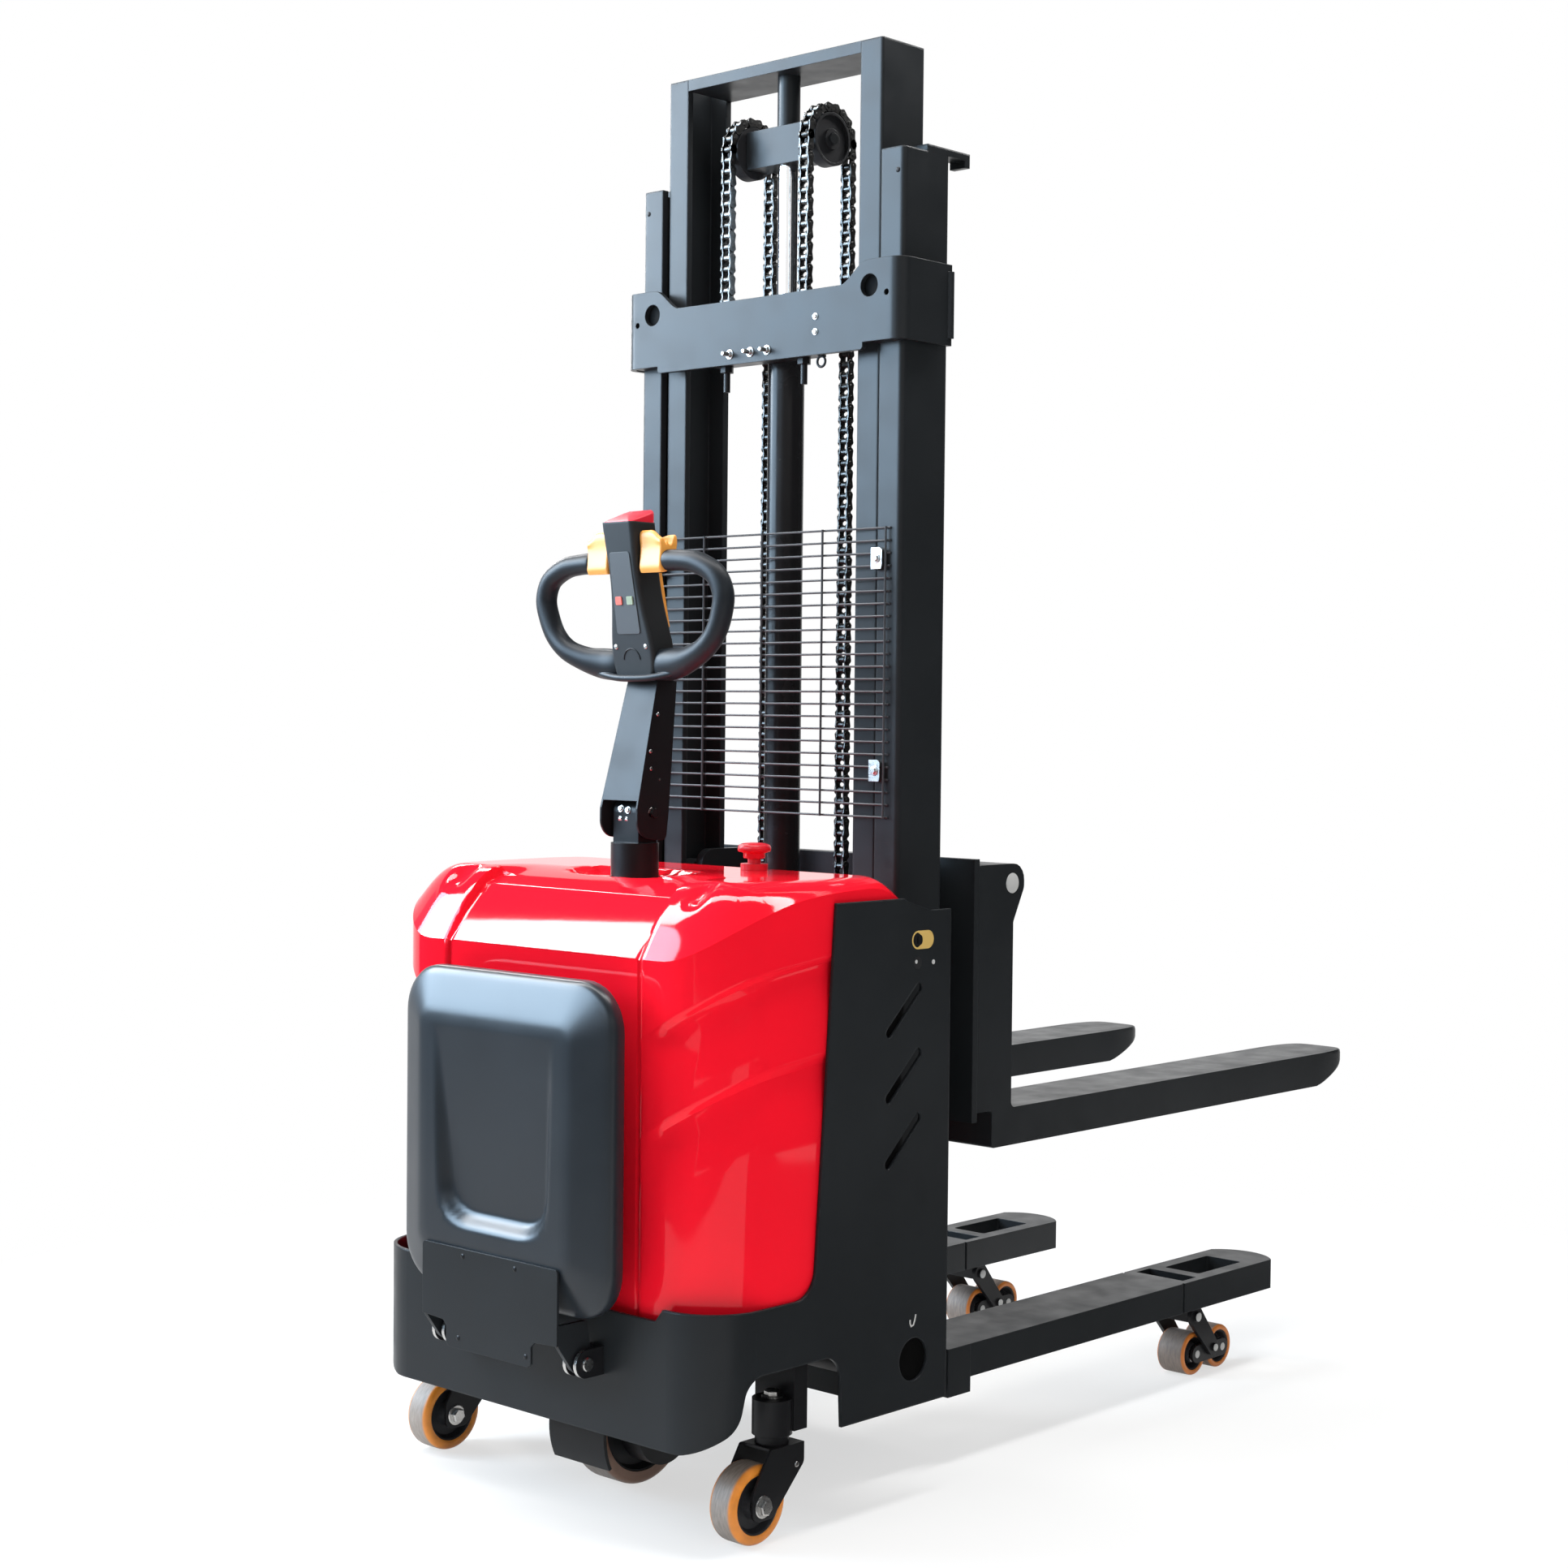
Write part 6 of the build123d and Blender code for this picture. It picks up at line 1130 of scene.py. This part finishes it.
def build_head_fittings():
    """Bare key panel, moulded arch and screws on the head, rivets and pivot on the arm, bolts below it."""
    outline = [head_place(x, z) for x, z in rounded(KEY_PANEL_CENTRES, KEY_PANEL_CORNER, 4)]
    Form().prism(outline, HEAD_OUT * KEY_PANEL_THICK).piece("key_panel", "panel", "tiller")
    arch = [head_place(ARCH_HALF * cos(turn), ARCH_Z + ARCH_RISE * sin(turn)) for turn in arc(0, 180, 24)]
    Form().tube(arch, ARCH_R, 8).piece("head_arch", "black", "tiller")
    screws = Form()
    for _, sign in SIDES:
        screws.rivet(head_place(sign * HEAD_SCREW[0], HEAD_SCREW[1]), HEAD_OUT, HEAD_SCREW_R)
        for y, z in ARM_RIVETS:
            screws.rivet(at(sign * ARM_FACE, y, z), (sign, 0, 0), ARM_RIVET_R)
        screws.lathe(at(sign * ARM_FACE, *ARM_PIVOT), (sign, 0, 0), ARM_PIVOT_CAP, 24)
    screws.piece("tiller_screws", "steel", "tiller")
    bolts = Form()
    for x, z in BLOCK_BOLTS:
        depth = (BLOCK_R ** 2 - (z - BLOCK_Z) ** 2) ** 0.5
        bolts.bolt(at(x, COLUMN_Y - depth, z), (0, -depth, z - BLOCK_Z), BLOCK_BOLT_R)
    bolts.piece("pivot_block_bolts", "steel", "steered_drive")


# Mast

(_, BAND_OUTER), (BAND_REAR, BAND_FRONT), (BAND_MID_BOTTOM, BAND_TOP) = edges(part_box("mast_crossmember"))
BAND_LIP = 5.0
BAND_LIP_LONG, BAND_LIP_BEVEL = 10.0, 3.0
BAND_HALF = BAND_OUTER - BAND_LIP
BAND_SHEET = 10.0
BAND_BEND = 25.0
BEND_STEPS = 12
BAND_STEP = 12.0
BAND_BOTTOM = BAND_MID_BOTTOM + BAND_STEP
BAND_MID_TOP = 2002.0
BAND_STEP_X = 244.0
BAND_STEP_LINE = [(BAND_STEP_X - 4, BAND_MID_BOTTOM), (BAND_STEP_X, BAND_MID_BOTTOM + 4),
                  (BAND_STEP_X, BAND_BOTTOM)]
BAND_EAR = (190.0, 254.0)
BAND_EAR_X = list(range(196, 256, 6))
EAR_HOLE_X, EAR_HOLE_Z, EAR_HOLE_R = 258.0, 1996.0, 19.0
BAND_HOLES = {EAR_HOLE_X: (EAR_HOLE_Z, EAR_HOLE_R), 296.0: (1981.0, 5.0)}
BAND_PACKING = (258.0, 306.0)
SHELF_HALF, SHELF_FRONT, SHELF_Z = 124.0, 18.0, 1893.0
# Near-black discs set in the crossmember's ear holes paint the shadow seen through them
SHADOW_DISC_Y = -16.4
SHADOW_DISC_CLEAR = 0.2
CROSS_FACE = -26.0
CROSS_BOLTS = ((138.0, 1956.0), (138.0, 1930.0))
CROSS_BOLT_R = 4.4
CLAMP_X = (-63.0, -14.0, 26.0)
CLAMP_Z = 1909.0
CLAMP_R = 6.5
CLAMP_END_Y = -31.0
CLAMP_END = [(0, 0), (4.0, 0), (4.0, 13), (3.2, 14.5), (0, 14.5)]
PLUG_X, PLUG_Z, PLUG_R = 296.0, 2186.0, 4.5
EYE_X, EYE_Y, EYE_Z = 140.0, -12.0, 1881.0
EYE_R, EYE_WIRE = 9.0, 2.2
SHAFT_END = (327.9, 292.0, 990.0)
SHAFT_CAP = stud(17.6, 0.7, 1.3, 1.2)
CLIP_X, CLIP_DEEP, CLIP_Z = 267.0, 11.0, (1543.0, 1188.0)
CLIP_OUTLINE = ((-12, -18), (10, -18), (12, -10), (12, 14), (6, 18), (-12, 18))
CLIP_BOLT_R = 6.0


def build_mast_fittings():
    """Bolts, plugs and eye of the outer mast, painted shadow in its ear holes, ends of the fork shaft, clips
    of the wire guard.
    """
    bolts = Form()
    for x, z in CROSS_BOLTS:
        bolts.bolt(at(x, CROSS_FACE, z), BACK, CROSS_BOLT_R)
    for x in CLAMP_X:
        bolts.bolt(at(x, CROSS_FACE, CLAMP_Z), BACK, CLAMP_R)
        bolts.lathe(at(x, CLAMP_END_Y, CLAMP_Z), BACK, CLAMP_END, 14)
    bolts.piece("crossmember_bolts", "steel", "chassis")
    plugs = Form()
    for _, sign in SIDES:
        plugs.rivet(at(sign * PLUG_X, 0, PLUG_Z), BACK, PLUG_R)
    plugs.piece("column_plugs", "iron", "chassis")
    eye = [at(EYE_X + EYE_R * cos(turn), EYE_Y, EYE_Z + EYE_R * sin(turn)) for turn in arc(0, 360, 24)]
    Form().tube(eye, EYE_WIRE, 10).piece("crossmember_eye", "black", "chassis")
    # Painted shadow in the ear holes
    disc = [(0, 0), (EAR_HOLE_R - SHADOW_DISC_CLEAR, 0)]
    shadow_discs = Form().lathe_twice(EAR_HOLE_X, SHADOW_DISC_Y, EAR_HOLE_Z, disc, 28, BACK)
    shadow_discs.piece("crossmember_hole_shadows", "painted_shadow", "chassis")
    Form().lathe_twice(*SHAFT_END, SHAFT_CAP, 32).piece("shaft_ends", "zinc", "carriage")
    clips = Form()
    for _, sign in SIDES:
        for z in CLIP_Z:
            outline = [at(sign * CLIP_X + dx, -CLIP_DEEP, z + dz) for dx, dz in CLIP_OUTLINE]
            clips.prism(outline, (0, CLIP_DEEP, 0))
            clips.bolt(at(sign * CLIP_X, -CLIP_DEEP, z), BACK, CLIP_BOLT_R)
    clips.piece("wire_guard_clips", "steel", "chassis")


def band_top(x):
    """Upper edge of the crossmember, which rises from the web to the ears."""
    return along(BAND_MID_TOP, BAND_TOP, smooth(*BAND_EAR, x))


def band_bottom(x):
    """Lower edge of the crossmember, which steps up towards the ears."""
    return BAND_BOTTOM if x > BAND_STEP_X else BAND_MID_BOTTOM


def band_place(x, z, layer):
    """Place on the flat of the crossmember, on its rear face or with layer 1 on its front face."""
    return at(x, BAND_REAR + layer * BAND_SHEET, z)


def half_hole(x, start):
    """Half the edge of a hole, where one lies on the line at x."""
    if x not in BAND_HOLES:
        return []
    z, radius = BAND_HOLES[x]
    return [(x + radius * cos(turn), z + radius * sin(turn)) for turn in arc(start, start + 180, 12)]


def band_strip(form, sign, low_x, high_x, layer):
    """Flat strip of the crossmember between two lines, each with half of a hole where it meets one."""
    upper = [low_x] + [x for x in BAND_EAR_X if low_x < x < high_x] + [high_x]
    outline = [(x, band_top(x)) for x in upper] + half_hole(high_x, 90)
    outline.append((high_x, band_bottom(high_x)))
    if low_x < BAND_STEP_X < high_x:
        outline += reversed(BAND_STEP_LINE)
    outline += [(low_x, band_bottom(low_x))] + half_hole(low_x, -90)
    form.cap([band_place(sign * x, z, layer) for x, z in outline])


def band_edge(sign, line, z):
    """Rear and front line of an edge: along points of the flat, round the bend and along the side."""
    rows = [[band_place(sign * x, height, layer) for x, height in line] for layer in (0, 1)]
    centre_x, centre_y = BAND_HALF - BAND_BEND, BAND_REAR + BAND_BEND
    for layer, row in enumerate(rows):
        radius = BAND_BEND - layer * BAND_SHEET
        row += [at(sign * (centre_x + radius * sin(turn)), centre_y - radius * cos(turn), z)
                for turn in arc(0, 90, BEND_STEPS)]
        row.append(at(sign * (centre_x + radius), BAND_FRONT, z))
    return rows


def build_crossmember():
    """Plate bent round both outer columns, with holes in its ears, packing and a shelf for the chains."""
    band = Form()
    cuts = [0.0, *BAND_HOLES, BAND_HALF - BAND_BEND]
    upper = [(x, band_top(x)) for x in [0.0] + BAND_EAR_X + cuts[1:]]
    lower = [(0.0, BAND_MID_BOTTOM)] + BAND_STEP_LINE + [(x, BAND_BOTTOM) for x in cuts[1:]]
    inner_y, tall = BAND_REAR + BAND_SHEET, BAND_TOP - BAND_BOTTOM
    lip = [(BAND_HALF, BAND_FRONT - BAND_LIP_LONG), (BAND_OUTER, BAND_FRONT - BAND_LIP_LONG + BAND_LIP_BEVEL),
           (BAND_OUTER, BAND_FRONT), (BAND_HALF, BAND_FRONT)]
    low_x, high_x = BAND_PACKING
    packing = [(low_x, inner_y), (high_x, inner_y), (high_x, 0), (low_x, 0)]
    for _, sign in SIDES:
        for layer in (0, 1):
            for ends in zip(cuts, cuts[1:]):
                band_strip(band, sign, *ends, layer)
        top = band_edge(sign, upper, BAND_TOP)
        bottom = band_edge(sign, lower, BAND_BOTTOM)
        band.grid(top).grid(bottom)
        bent = BEND_STEPS + 2
        for layer in (0, 1):
            band.grid([top[layer][-bent:], bottom[layer][-bent:]])
        band.cap([top[0][-1], top[1][-1], bottom[1][-1], bottom[0][-1]])
        for x, (z, radius) in BAND_HOLES.items():
            band.lathe(band_place(sign * x, z, 0), (0, 1, 0), [(radius, 0), (radius, BAND_SHEET)], 24)
        band.prism([at(sign * x, y, BAND_BOTTOM + BAND_STEP) for x, y in lip], (0, 0, tall - 2 * BAND_STEP))
        band.prism([at(sign * x, y, BAND_BOTTOM) for x, y in packing], (0, 0, tall))
    shelf = [(-SHELF_HALF, inner_y), (SHELF_HALF, inner_y), (SHELF_HALF, SHELF_FRONT),
             (-SHELF_HALF, SHELF_FRONT)]
    band.prism([at(x, y, SHELF_Z) for x, y in shelf], (0, 0, BAND_SHEET))
    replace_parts(band.piece("crossmember_band", "charcoal", "chassis", 30.0), "mast_crossmember")


# Side panels

KEY_Y, KEY_Z = -65.0, 917.0
KEY_HOLE = 12.2
KEY_PLATE_R = 15.0
KEY_PLATE_LONG = 25.0
KEY_PLATE_THICK = 0.3
LOCK_AT = (-65.0, 880.0)
LOCK_FACE = 0.4
LOCK_CAP = stud(10.0, 0.2, LOCK_FACE, 1.0)
# Pale spot off the centre of the lock's black disc: a painted glint
LOCK_GLINT_AT = (-69.0, 882.0)
LOCK_GLINT = [(3.2, 0), (3.2, 0.2), (0, 0.3)]
PANEL_SCREW_AT = (-25.0, 879.0)
PANEL_SCREW = stud(4.0, 0.2, 0.4, 0.8)
HOOK_LINE = ((-60, 305), (-62, 296), (-66, 288), (-71, 287), (-74, 292), (-74, 298))
HOOK_R = 2.2
HOOK_SET_IN = 1.2
# Near-black disc set in behind this hole paints the shadow inside it
JACK_HOLE_AT = (-62.0, 231.0)
JACK_HOLE_R = 40.0
JACK_HOLE_DEEP = 5.5


def build_panel_fittings():
    """Key plate, lock with a painted glint, screw and lashing hook on the right side panel, painted shadow in
    the holes of both.
    """
    side_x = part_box("chassis_shell")[1].x / MM
    ends = ((KEY_Y, 90), (KEY_Y + KEY_PLATE_LONG, -90))
    outer = [(y + KEY_PLATE_R * cos(turn), KEY_Z + KEY_PLATE_R * sin(turn))
             for y, start in ends for turn in arc(start, start + 180, 12)]
    turns = [atan2(z - KEY_Z, y - KEY_Y) for y, z in outer]
    inner = [(KEY_Y + KEY_HOLE * cos(turn), KEY_Z + KEY_HOLE * sin(turn)) for turn in turns]
    layers = ((inner, 0.0), (inner, KEY_PLATE_THICK), (outer, KEY_PLATE_THICK), (outer, 0.0))
    plate = Form().grid([[at(side_x + lift, y, z) for y, z in ring] for ring, lift in layers], wrap=True)
    plate.piece("key_plate", "brass", "chassis")
    lock = Form().lathe(at(side_x, *LOCK_AT), RIGHT, LOCK_CAP, 24)
    lock.piece("panel_lock", "iron", "chassis")
    marks = Form()
    # Painted glint on the lock
    marks.lathe(at(side_x + LOCK_FACE, *LOCK_GLINT_AT), RIGHT, LOCK_GLINT, 16)
    marks.lathe(at(side_x, *PANEL_SCREW_AT), RIGHT, PANEL_SCREW, 16)
    marks.tube([at(side_x - HOOK_SET_IN, y, z) for y, z in HOOK_LINE], HOOK_R, 10)
    marks.piece("panel_screws_and_glint", "zinc", "chassis")
    # Painted shadow in the holes of both side panels
    shadow_discs = Form().lathe_twice(side_x - JACK_HOLE_DEEP, *JACK_HOLE_AT, [(0, 0), (JACK_HOLE_R, 0)], 32)
    shadow_discs.piece("panel_hole_shadows", "painted_shadow", "chassis")


# Platform hinge and stop button

HINGE_Y, HINGE_Z = -568.0, 272.0
HINGE_EAR_R = 22.0
HINGE_EARS = (142.0, 166.0)
HINGE_EAR_WIDE = 8.0
HINGE_PIN = [(11, 0), (11, 3), (9.5, 4.6), (0, 5)]
# Steel bands on the hinge ears' edges paint their highlight
EDGE_BAND_LIFT, EDGE_BAND_INSET = 0.3, 0.8
(_, PLATE_HALF), (PLATE_REAR, _), (_, PLATE_TOP) = edges(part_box("platform_plate"))
PLATE_FACE = PLATE_REAR + 1.8
PLATE_SHEET = 4.2
PLATE_BEND = PLATE_REAR + 6
PLATE_TONGUE = 102.0
PLATE_NOTCH_Z = 303.0
PLATE_BOTTOM = 262.0
PLATE_RIGHT = [(PLATE_TONGUE - 6, PLATE_BOTTOM), (PLATE_TONGUE, PLATE_BOTTOM + 6),
               (PLATE_TONGUE, PLATE_NOTCH_Z - 8), (PLATE_TONGUE + 8, PLATE_NOTCH_Z),
               (PLATE_HALF, PLATE_NOTCH_Z + 3), (PLATE_HALF, PLATE_TOP - 6),
               (PLATE_HALF - 2, PLATE_TOP - 2), (PLATE_HALF - 6, PLATE_TOP)]
PLATE_LUG = 8.0
PLATE_LUG_TOP = 337.0
PLATE_LUG_OUTLINE = [
    (PLATE_BEND, PLATE_NOTCH_Z), (HINGE_Y - 20, HINGE_Z - 8), (HINGE_Y - 11, HINGE_Z - 15),
    (HINGE_Y, HINGE_Z - 15.4), (HINGE_Y + 12, HINGE_Z - 12), (HINGE_Y + 21, HINGE_Z),
    (HINGE_Y + 12, PLATE_LUG_TOP - 3), (HINGE_Y + 8, PLATE_LUG_TOP), (PLATE_BEND, PLATE_LUG_TOP)]
PLATE_SCREWS = ((-62, 412), (63, 411), (-72, 279), (90, 278))
PLATE_SCREW_R, PLATE_SCREW_SUNK = 4.6, 0.5
STOP_X, STOP_Y = 125.0, -150.0
STOP_PROFILE = [(0, 1012), (11, 1012), (11, 1039.6), (17.5, 1039.8), (18.5, 1041.5), (18.5, 1047.5),
                (20, 1049.5), (26, 1050.6), (28, 1053), (28, 1058.5), (26, 1062), (20, 1064.6), (10, 1065.8),
                (0, 1066)]


def build_hinge_plate():
    """Bent plate under the pad: a tongue between two notches, and the lugs on the hinge pins."""
    outline = PLATE_RIGHT + [(-x, z) for x, z in reversed(PLATE_RIGHT)]
    plate = Form().prism([at(x, PLATE_FACE, z) for x, z in outline], (0, PLATE_SHEET, 0))
    for _, sign in SIDES:
        plate.prism([at(sign * PLATE_HALF, y, z) for y, z in PLATE_LUG_OUTLINE], (-sign * PLATE_LUG, 0, 0))
    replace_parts(plate.piece("hinge_plate", "charcoal", "platform"), "platform_plate")


def build_platform_fittings():
    """Screws of the hinge plate, steel bands that paint the highlight on the edges of the hinge ears, and the
    heads of their pins.
    """
    screws = Form()
    for x, z in PLATE_SCREWS:
        screws.rivet(at(x, PLATE_FACE + PLATE_SCREW_SUNK, z), BACK, PLATE_SCREW_R)
    screws.piece("hinge_plate_screws", "black", "platform")
    # Bare steel bands along the ears' curved edges paint the highlight there
    edge_bands = Form()
    radius = HINGE_EAR_R + EDGE_BAND_LIFT
    rim = [(HINGE_Y + radius * cos(turn), HINGE_Z + radius * sin(turn)) for turn in arc(100, 265, 11)]
    for _, sign in SIDES:
        for ear in HINGE_EARS:
            sides = (ear + EDGE_BAND_INSET, ear + HINGE_EAR_WIDE - EDGE_BAND_INSET)
            edge_bands.grid([[at(sign * x, y, z) for y, z in rim] for x in sides])
        face = HINGE_EARS[1] + HINGE_EAR_WIDE
        edge_bands.lathe(at(sign * face, HINGE_Y, HINGE_Z), (sign, 0, 0), HINGE_PIN)
    edge_bands.piece("hinge_edge_highlights", "steel", "chassis")


def build_stop_button():
    """Emergency stop: a thick stem that flares into a mushroom head."""
    knob = Form().lathe(at(STOP_X, STOP_Y, 0), UP, STOP_PROFILE, 48)
    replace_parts(knob.piece("stop_mushroom", "stop_red", "stop_knob", 45.0), "estop_knob")


# Forks

(FORK_INNER, FORK_OUTER), (FORK_REAR, FORK_TIP), (FORK_FOOT, LUG_TOP) = edges(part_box("right_fork"))
FORK_X = (FORK_INNER + FORK_OUTER) / 2
FORK_HALF = (FORK_OUTER - FORK_INNER) / 2
LUG_FRONT = 326.0
LUG_STEP = (922.0, 981.5)
FORK_TOP = 596.0
FORK_FRONT = 296.0
FORK_WALL = 14.0
HEEL_REAR = 242.0
HEEL_ROUND = 6.0
SHANK_ROUND = 10.0
LUG_STEP_ROUND, LUG_ROUND = 24.0, 30.0
NOSE_START = 1318.0
NOSE_RISE = 44.0
NOSE_RISE_CURVE = 1.25
NOSE_PLAN_CURVE = 6
NOSE_EDGE, NOSE_EDGE_SHARE = 8.0, 0.07
NOSE_STEPS = 7
FILLET_STEPS = 5
FORK_SHARES = (0.0, 0.25, 0.45, 0.6, 0.7, 0.77, 0.798, 0.802, 0.84, 0.88, 0.92, 0.95, 0.975, 0.99, 0.997, 1.0)


def fillet(before, corner, after, radius):
    """Points of the arc that rounds a corner of an outline."""
    corner = Vector(corner)
    first = (Vector(before) - corner).normalized()
    second = (Vector(after) - corner).normalized()
    half = first.angle(second) / 2
    reach = radius * cos(half) / sin(half)
    ends = (corner + reach * first, corner, corner + reach * second)
    points = []
    for i in range(FILLET_STEPS + 1):
        share = i / FILLET_STEPS
        weights = ((1 - share) ** 2, 2 * sin(half) * share * (1 - share), share ** 2)
        place = weights[0] * ends[0] + weights[1] * ends[1] + weights[2] * ends[2]
        points.append(tuple(place / sum(weights)))
    return points


def rounded_path(corners):
    """Outline through (y, z, radius) corners; its two ends only give the directions."""
    points = []
    for before, corner, after in zip(corners, corners[1:], corners[2:]):
        points += fillet(before[:2], corner[:2], after[:2], corner[2])
    return points


def nose_under(y):
    """Height of the underside of a nose, which rises in flat steps."""
    place = NOSE_STEPS * (y - NOSE_START) / (FORK_TIP - NOSE_START)
    step = min(int(place), NOSE_STEPS - 1)
    first, second = (NOSE_RISE * ((step + i) / NOSE_STEPS) ** NOSE_RISE_CURVE for i in (0, 1))
    return FORK_FOOT + along(first, second, place - step)


def fork_nose(share):
    """Underside and end of a blade, at a share of its half width from the middle."""
    tip = along(NOSE_START, FORK_TIP, (1 - share ** NOSE_PLAN_CURVE) ** 0.5)
    edge = min(NOSE_EDGE, NOSE_EDGE_SHARE * (tip - NOSE_START))
    steps = [min(along(NOSE_START, FORK_TIP, i / NOSE_STEPS), tip - edge) for i in range(NOSE_STEPS + 1)]
    points = [(y, nose_under(y)) for y in steps]
    under = points[-1][1]
    ends = [(tip - 0.3 * edge, 0.3 * edge), (tip, edge), (tip, 1.4 * edge)]
    points += [(y, under + rise) for y, rise in ends]
    return points + [(y, FORK_TOP - rise) for y, rise in reversed(ends)] + [(tip - edge, FORK_TOP)]


def fork_outline(share):
    """Side outline of a fork at a share of its half width: heel, hollow underside, nose, shank and lug."""
    roof = FORK_TOP - FORK_WALL if share < 1 - FORK_WALL / FORK_HALF else FORK_FOOT
    rear, front = FORK_FRONT + FORK_WALL, NOSE_START - FORK_WALL
    points = rounded_path([(FORK_REAR, FORK_TOP, 0), (HEEL_REAR, FORK_TOP, HEEL_ROUND),
                           (HEEL_REAR, FORK_FOOT, HEEL_ROUND), (rear, FORK_FOOT, 0)])
    points += [(rear, FORK_FOOT), (rear, roof), (front, roof), (front, FORK_FOOT)]
    points += fork_nose(share)
    points += rounded_path([(NOSE_START, FORK_TOP, 0), (FORK_FRONT, FORK_TOP, SHANK_ROUND),
                            (FORK_FRONT, LUG_STEP[0], SHANK_ROUND), (LUG_FRONT, LUG_STEP[1], LUG_STEP_ROUND),
                            (LUG_FRONT, LUG_TOP, LUG_ROUND), (FORK_REAR, LUG_TOP, HEEL_ROUND),
                            (FORK_REAR, FORK_TOP, 0)])
    return points + [(FORK_REAR, FORK_TOP)]


def build_forks():
    """Forks with a nose that is rounded in plan and rises underneath."""
    shares = [-share for share in reversed(FORK_SHARES[1:])] + list(FORK_SHARES)
    for side, sign in SIDES:
        rings = [[at(sign * FORK_X + share * FORK_HALF, y, z) for y, z in fork_outline(abs(share))]
                 for share in shares]
        fork = Form().loft(rings)
        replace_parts(fork.piece(f"{side}_fork_form", "charcoal", "carriage"), f"{side}_fork")


# Running gear

LEG_X = 266.0
BOGIE_HEADS = ((914.0, 120.0, 8.6), (975.0, 50.0, 7.0))
BOGIE_FACE = 37.5
BOLT_FOOT = -0.2
AXLE_CAP = stud(7.5, 0.2, 0.4, 0.7, BOLT_FOOT)
CASTER_AT = (365.0, -351.0)
CASTER_TOP = 216.3
CASTER_NUT_R = 13.0
CASTER_NUT_SET_IN = 5.5
CHEEK_SCREW_AT = (-330.0, 113.0)
CHEEK_SCREW_R, CHEEK_SCREW_OUT = 4.5, 1.5


def build_bogie_bolts(side, sign):
    """Bright bolt heads on the link plates under a leg tip and on the roller axles."""
    head_x = abs(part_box("roller_brackets")[1].x) / MM - LEG_X
    heads, axles = Form(), Form()
    for out in (1, -1):
        for y, z, radius in BOGIE_HEADS:
            heads.lathe(at(sign * LEG_X + out * head_x, y, z), (out, 0, 0),
                        stud(radius, 1.2, 2.0, 1.5, BOLT_FOOT), 24)
        for roller in ("rear", "front"):
            low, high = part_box(f"{side}_{roller}_roller")
            axle = (low + high) / 2
            axle.x = (sign * LEG_X + out * BOGIE_FACE) * MM
            axles.lathe(axle, (out, 0, 0), AXLE_CAP, 24)
    heads.piece(f"{side}_link_bolts", "zinc", "chassis")
    axles.piece(f"{side}_axle_ends", "zinc", f"{side}_rocker")


def build_running_gear_fittings():
    """Axle nuts, spindle nuts and cheek screws of the casters, bolts of the bogies."""
    for side, sign in SIDES:
        (low_x, high_x), _, _ = edges(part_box(f"{side}_caster_fork"))
        _, wheel_y, wheel_z = edges(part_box(f"{side}_caster_wheel"))
        nuts = Form()
        for x, out in ((high_x - CASTER_NUT_SET_IN, 1), (low_x + CASTER_NUT_SET_IN, -1)):
            nuts.bolt(at(x, sum(wheel_y) / 2, sum(wheel_z) / 2), (out, 0, 0), CASTER_NUT_R)
            nuts.rivet(at(x + out * CHEEK_SCREW_OUT, *CHEEK_SCREW_AT), (out, 0, 0), CHEEK_SCREW_R)
        nuts.bolt(at(sign * CASTER_AT[0], CASTER_AT[1], CASTER_TOP), UP, CASTER_NUT_R)
        nuts.piece(f"{side}_caster_nuts", "steel", f"{side}_swivel")
        build_bogie_bolts(side, sign)


dress_nodes()
build_hood()
build_pad()
build_chains()
build_wheels()
build_grips()
build_paddles()
build_cap()
build_head_fittings()
build_mast_fittings()
build_crossmember()
build_panel_fittings()
build_hinge_plate()
build_platform_fittings()
build_stop_button()
build_forks()
build_running_gear_fittings()
set_stage()
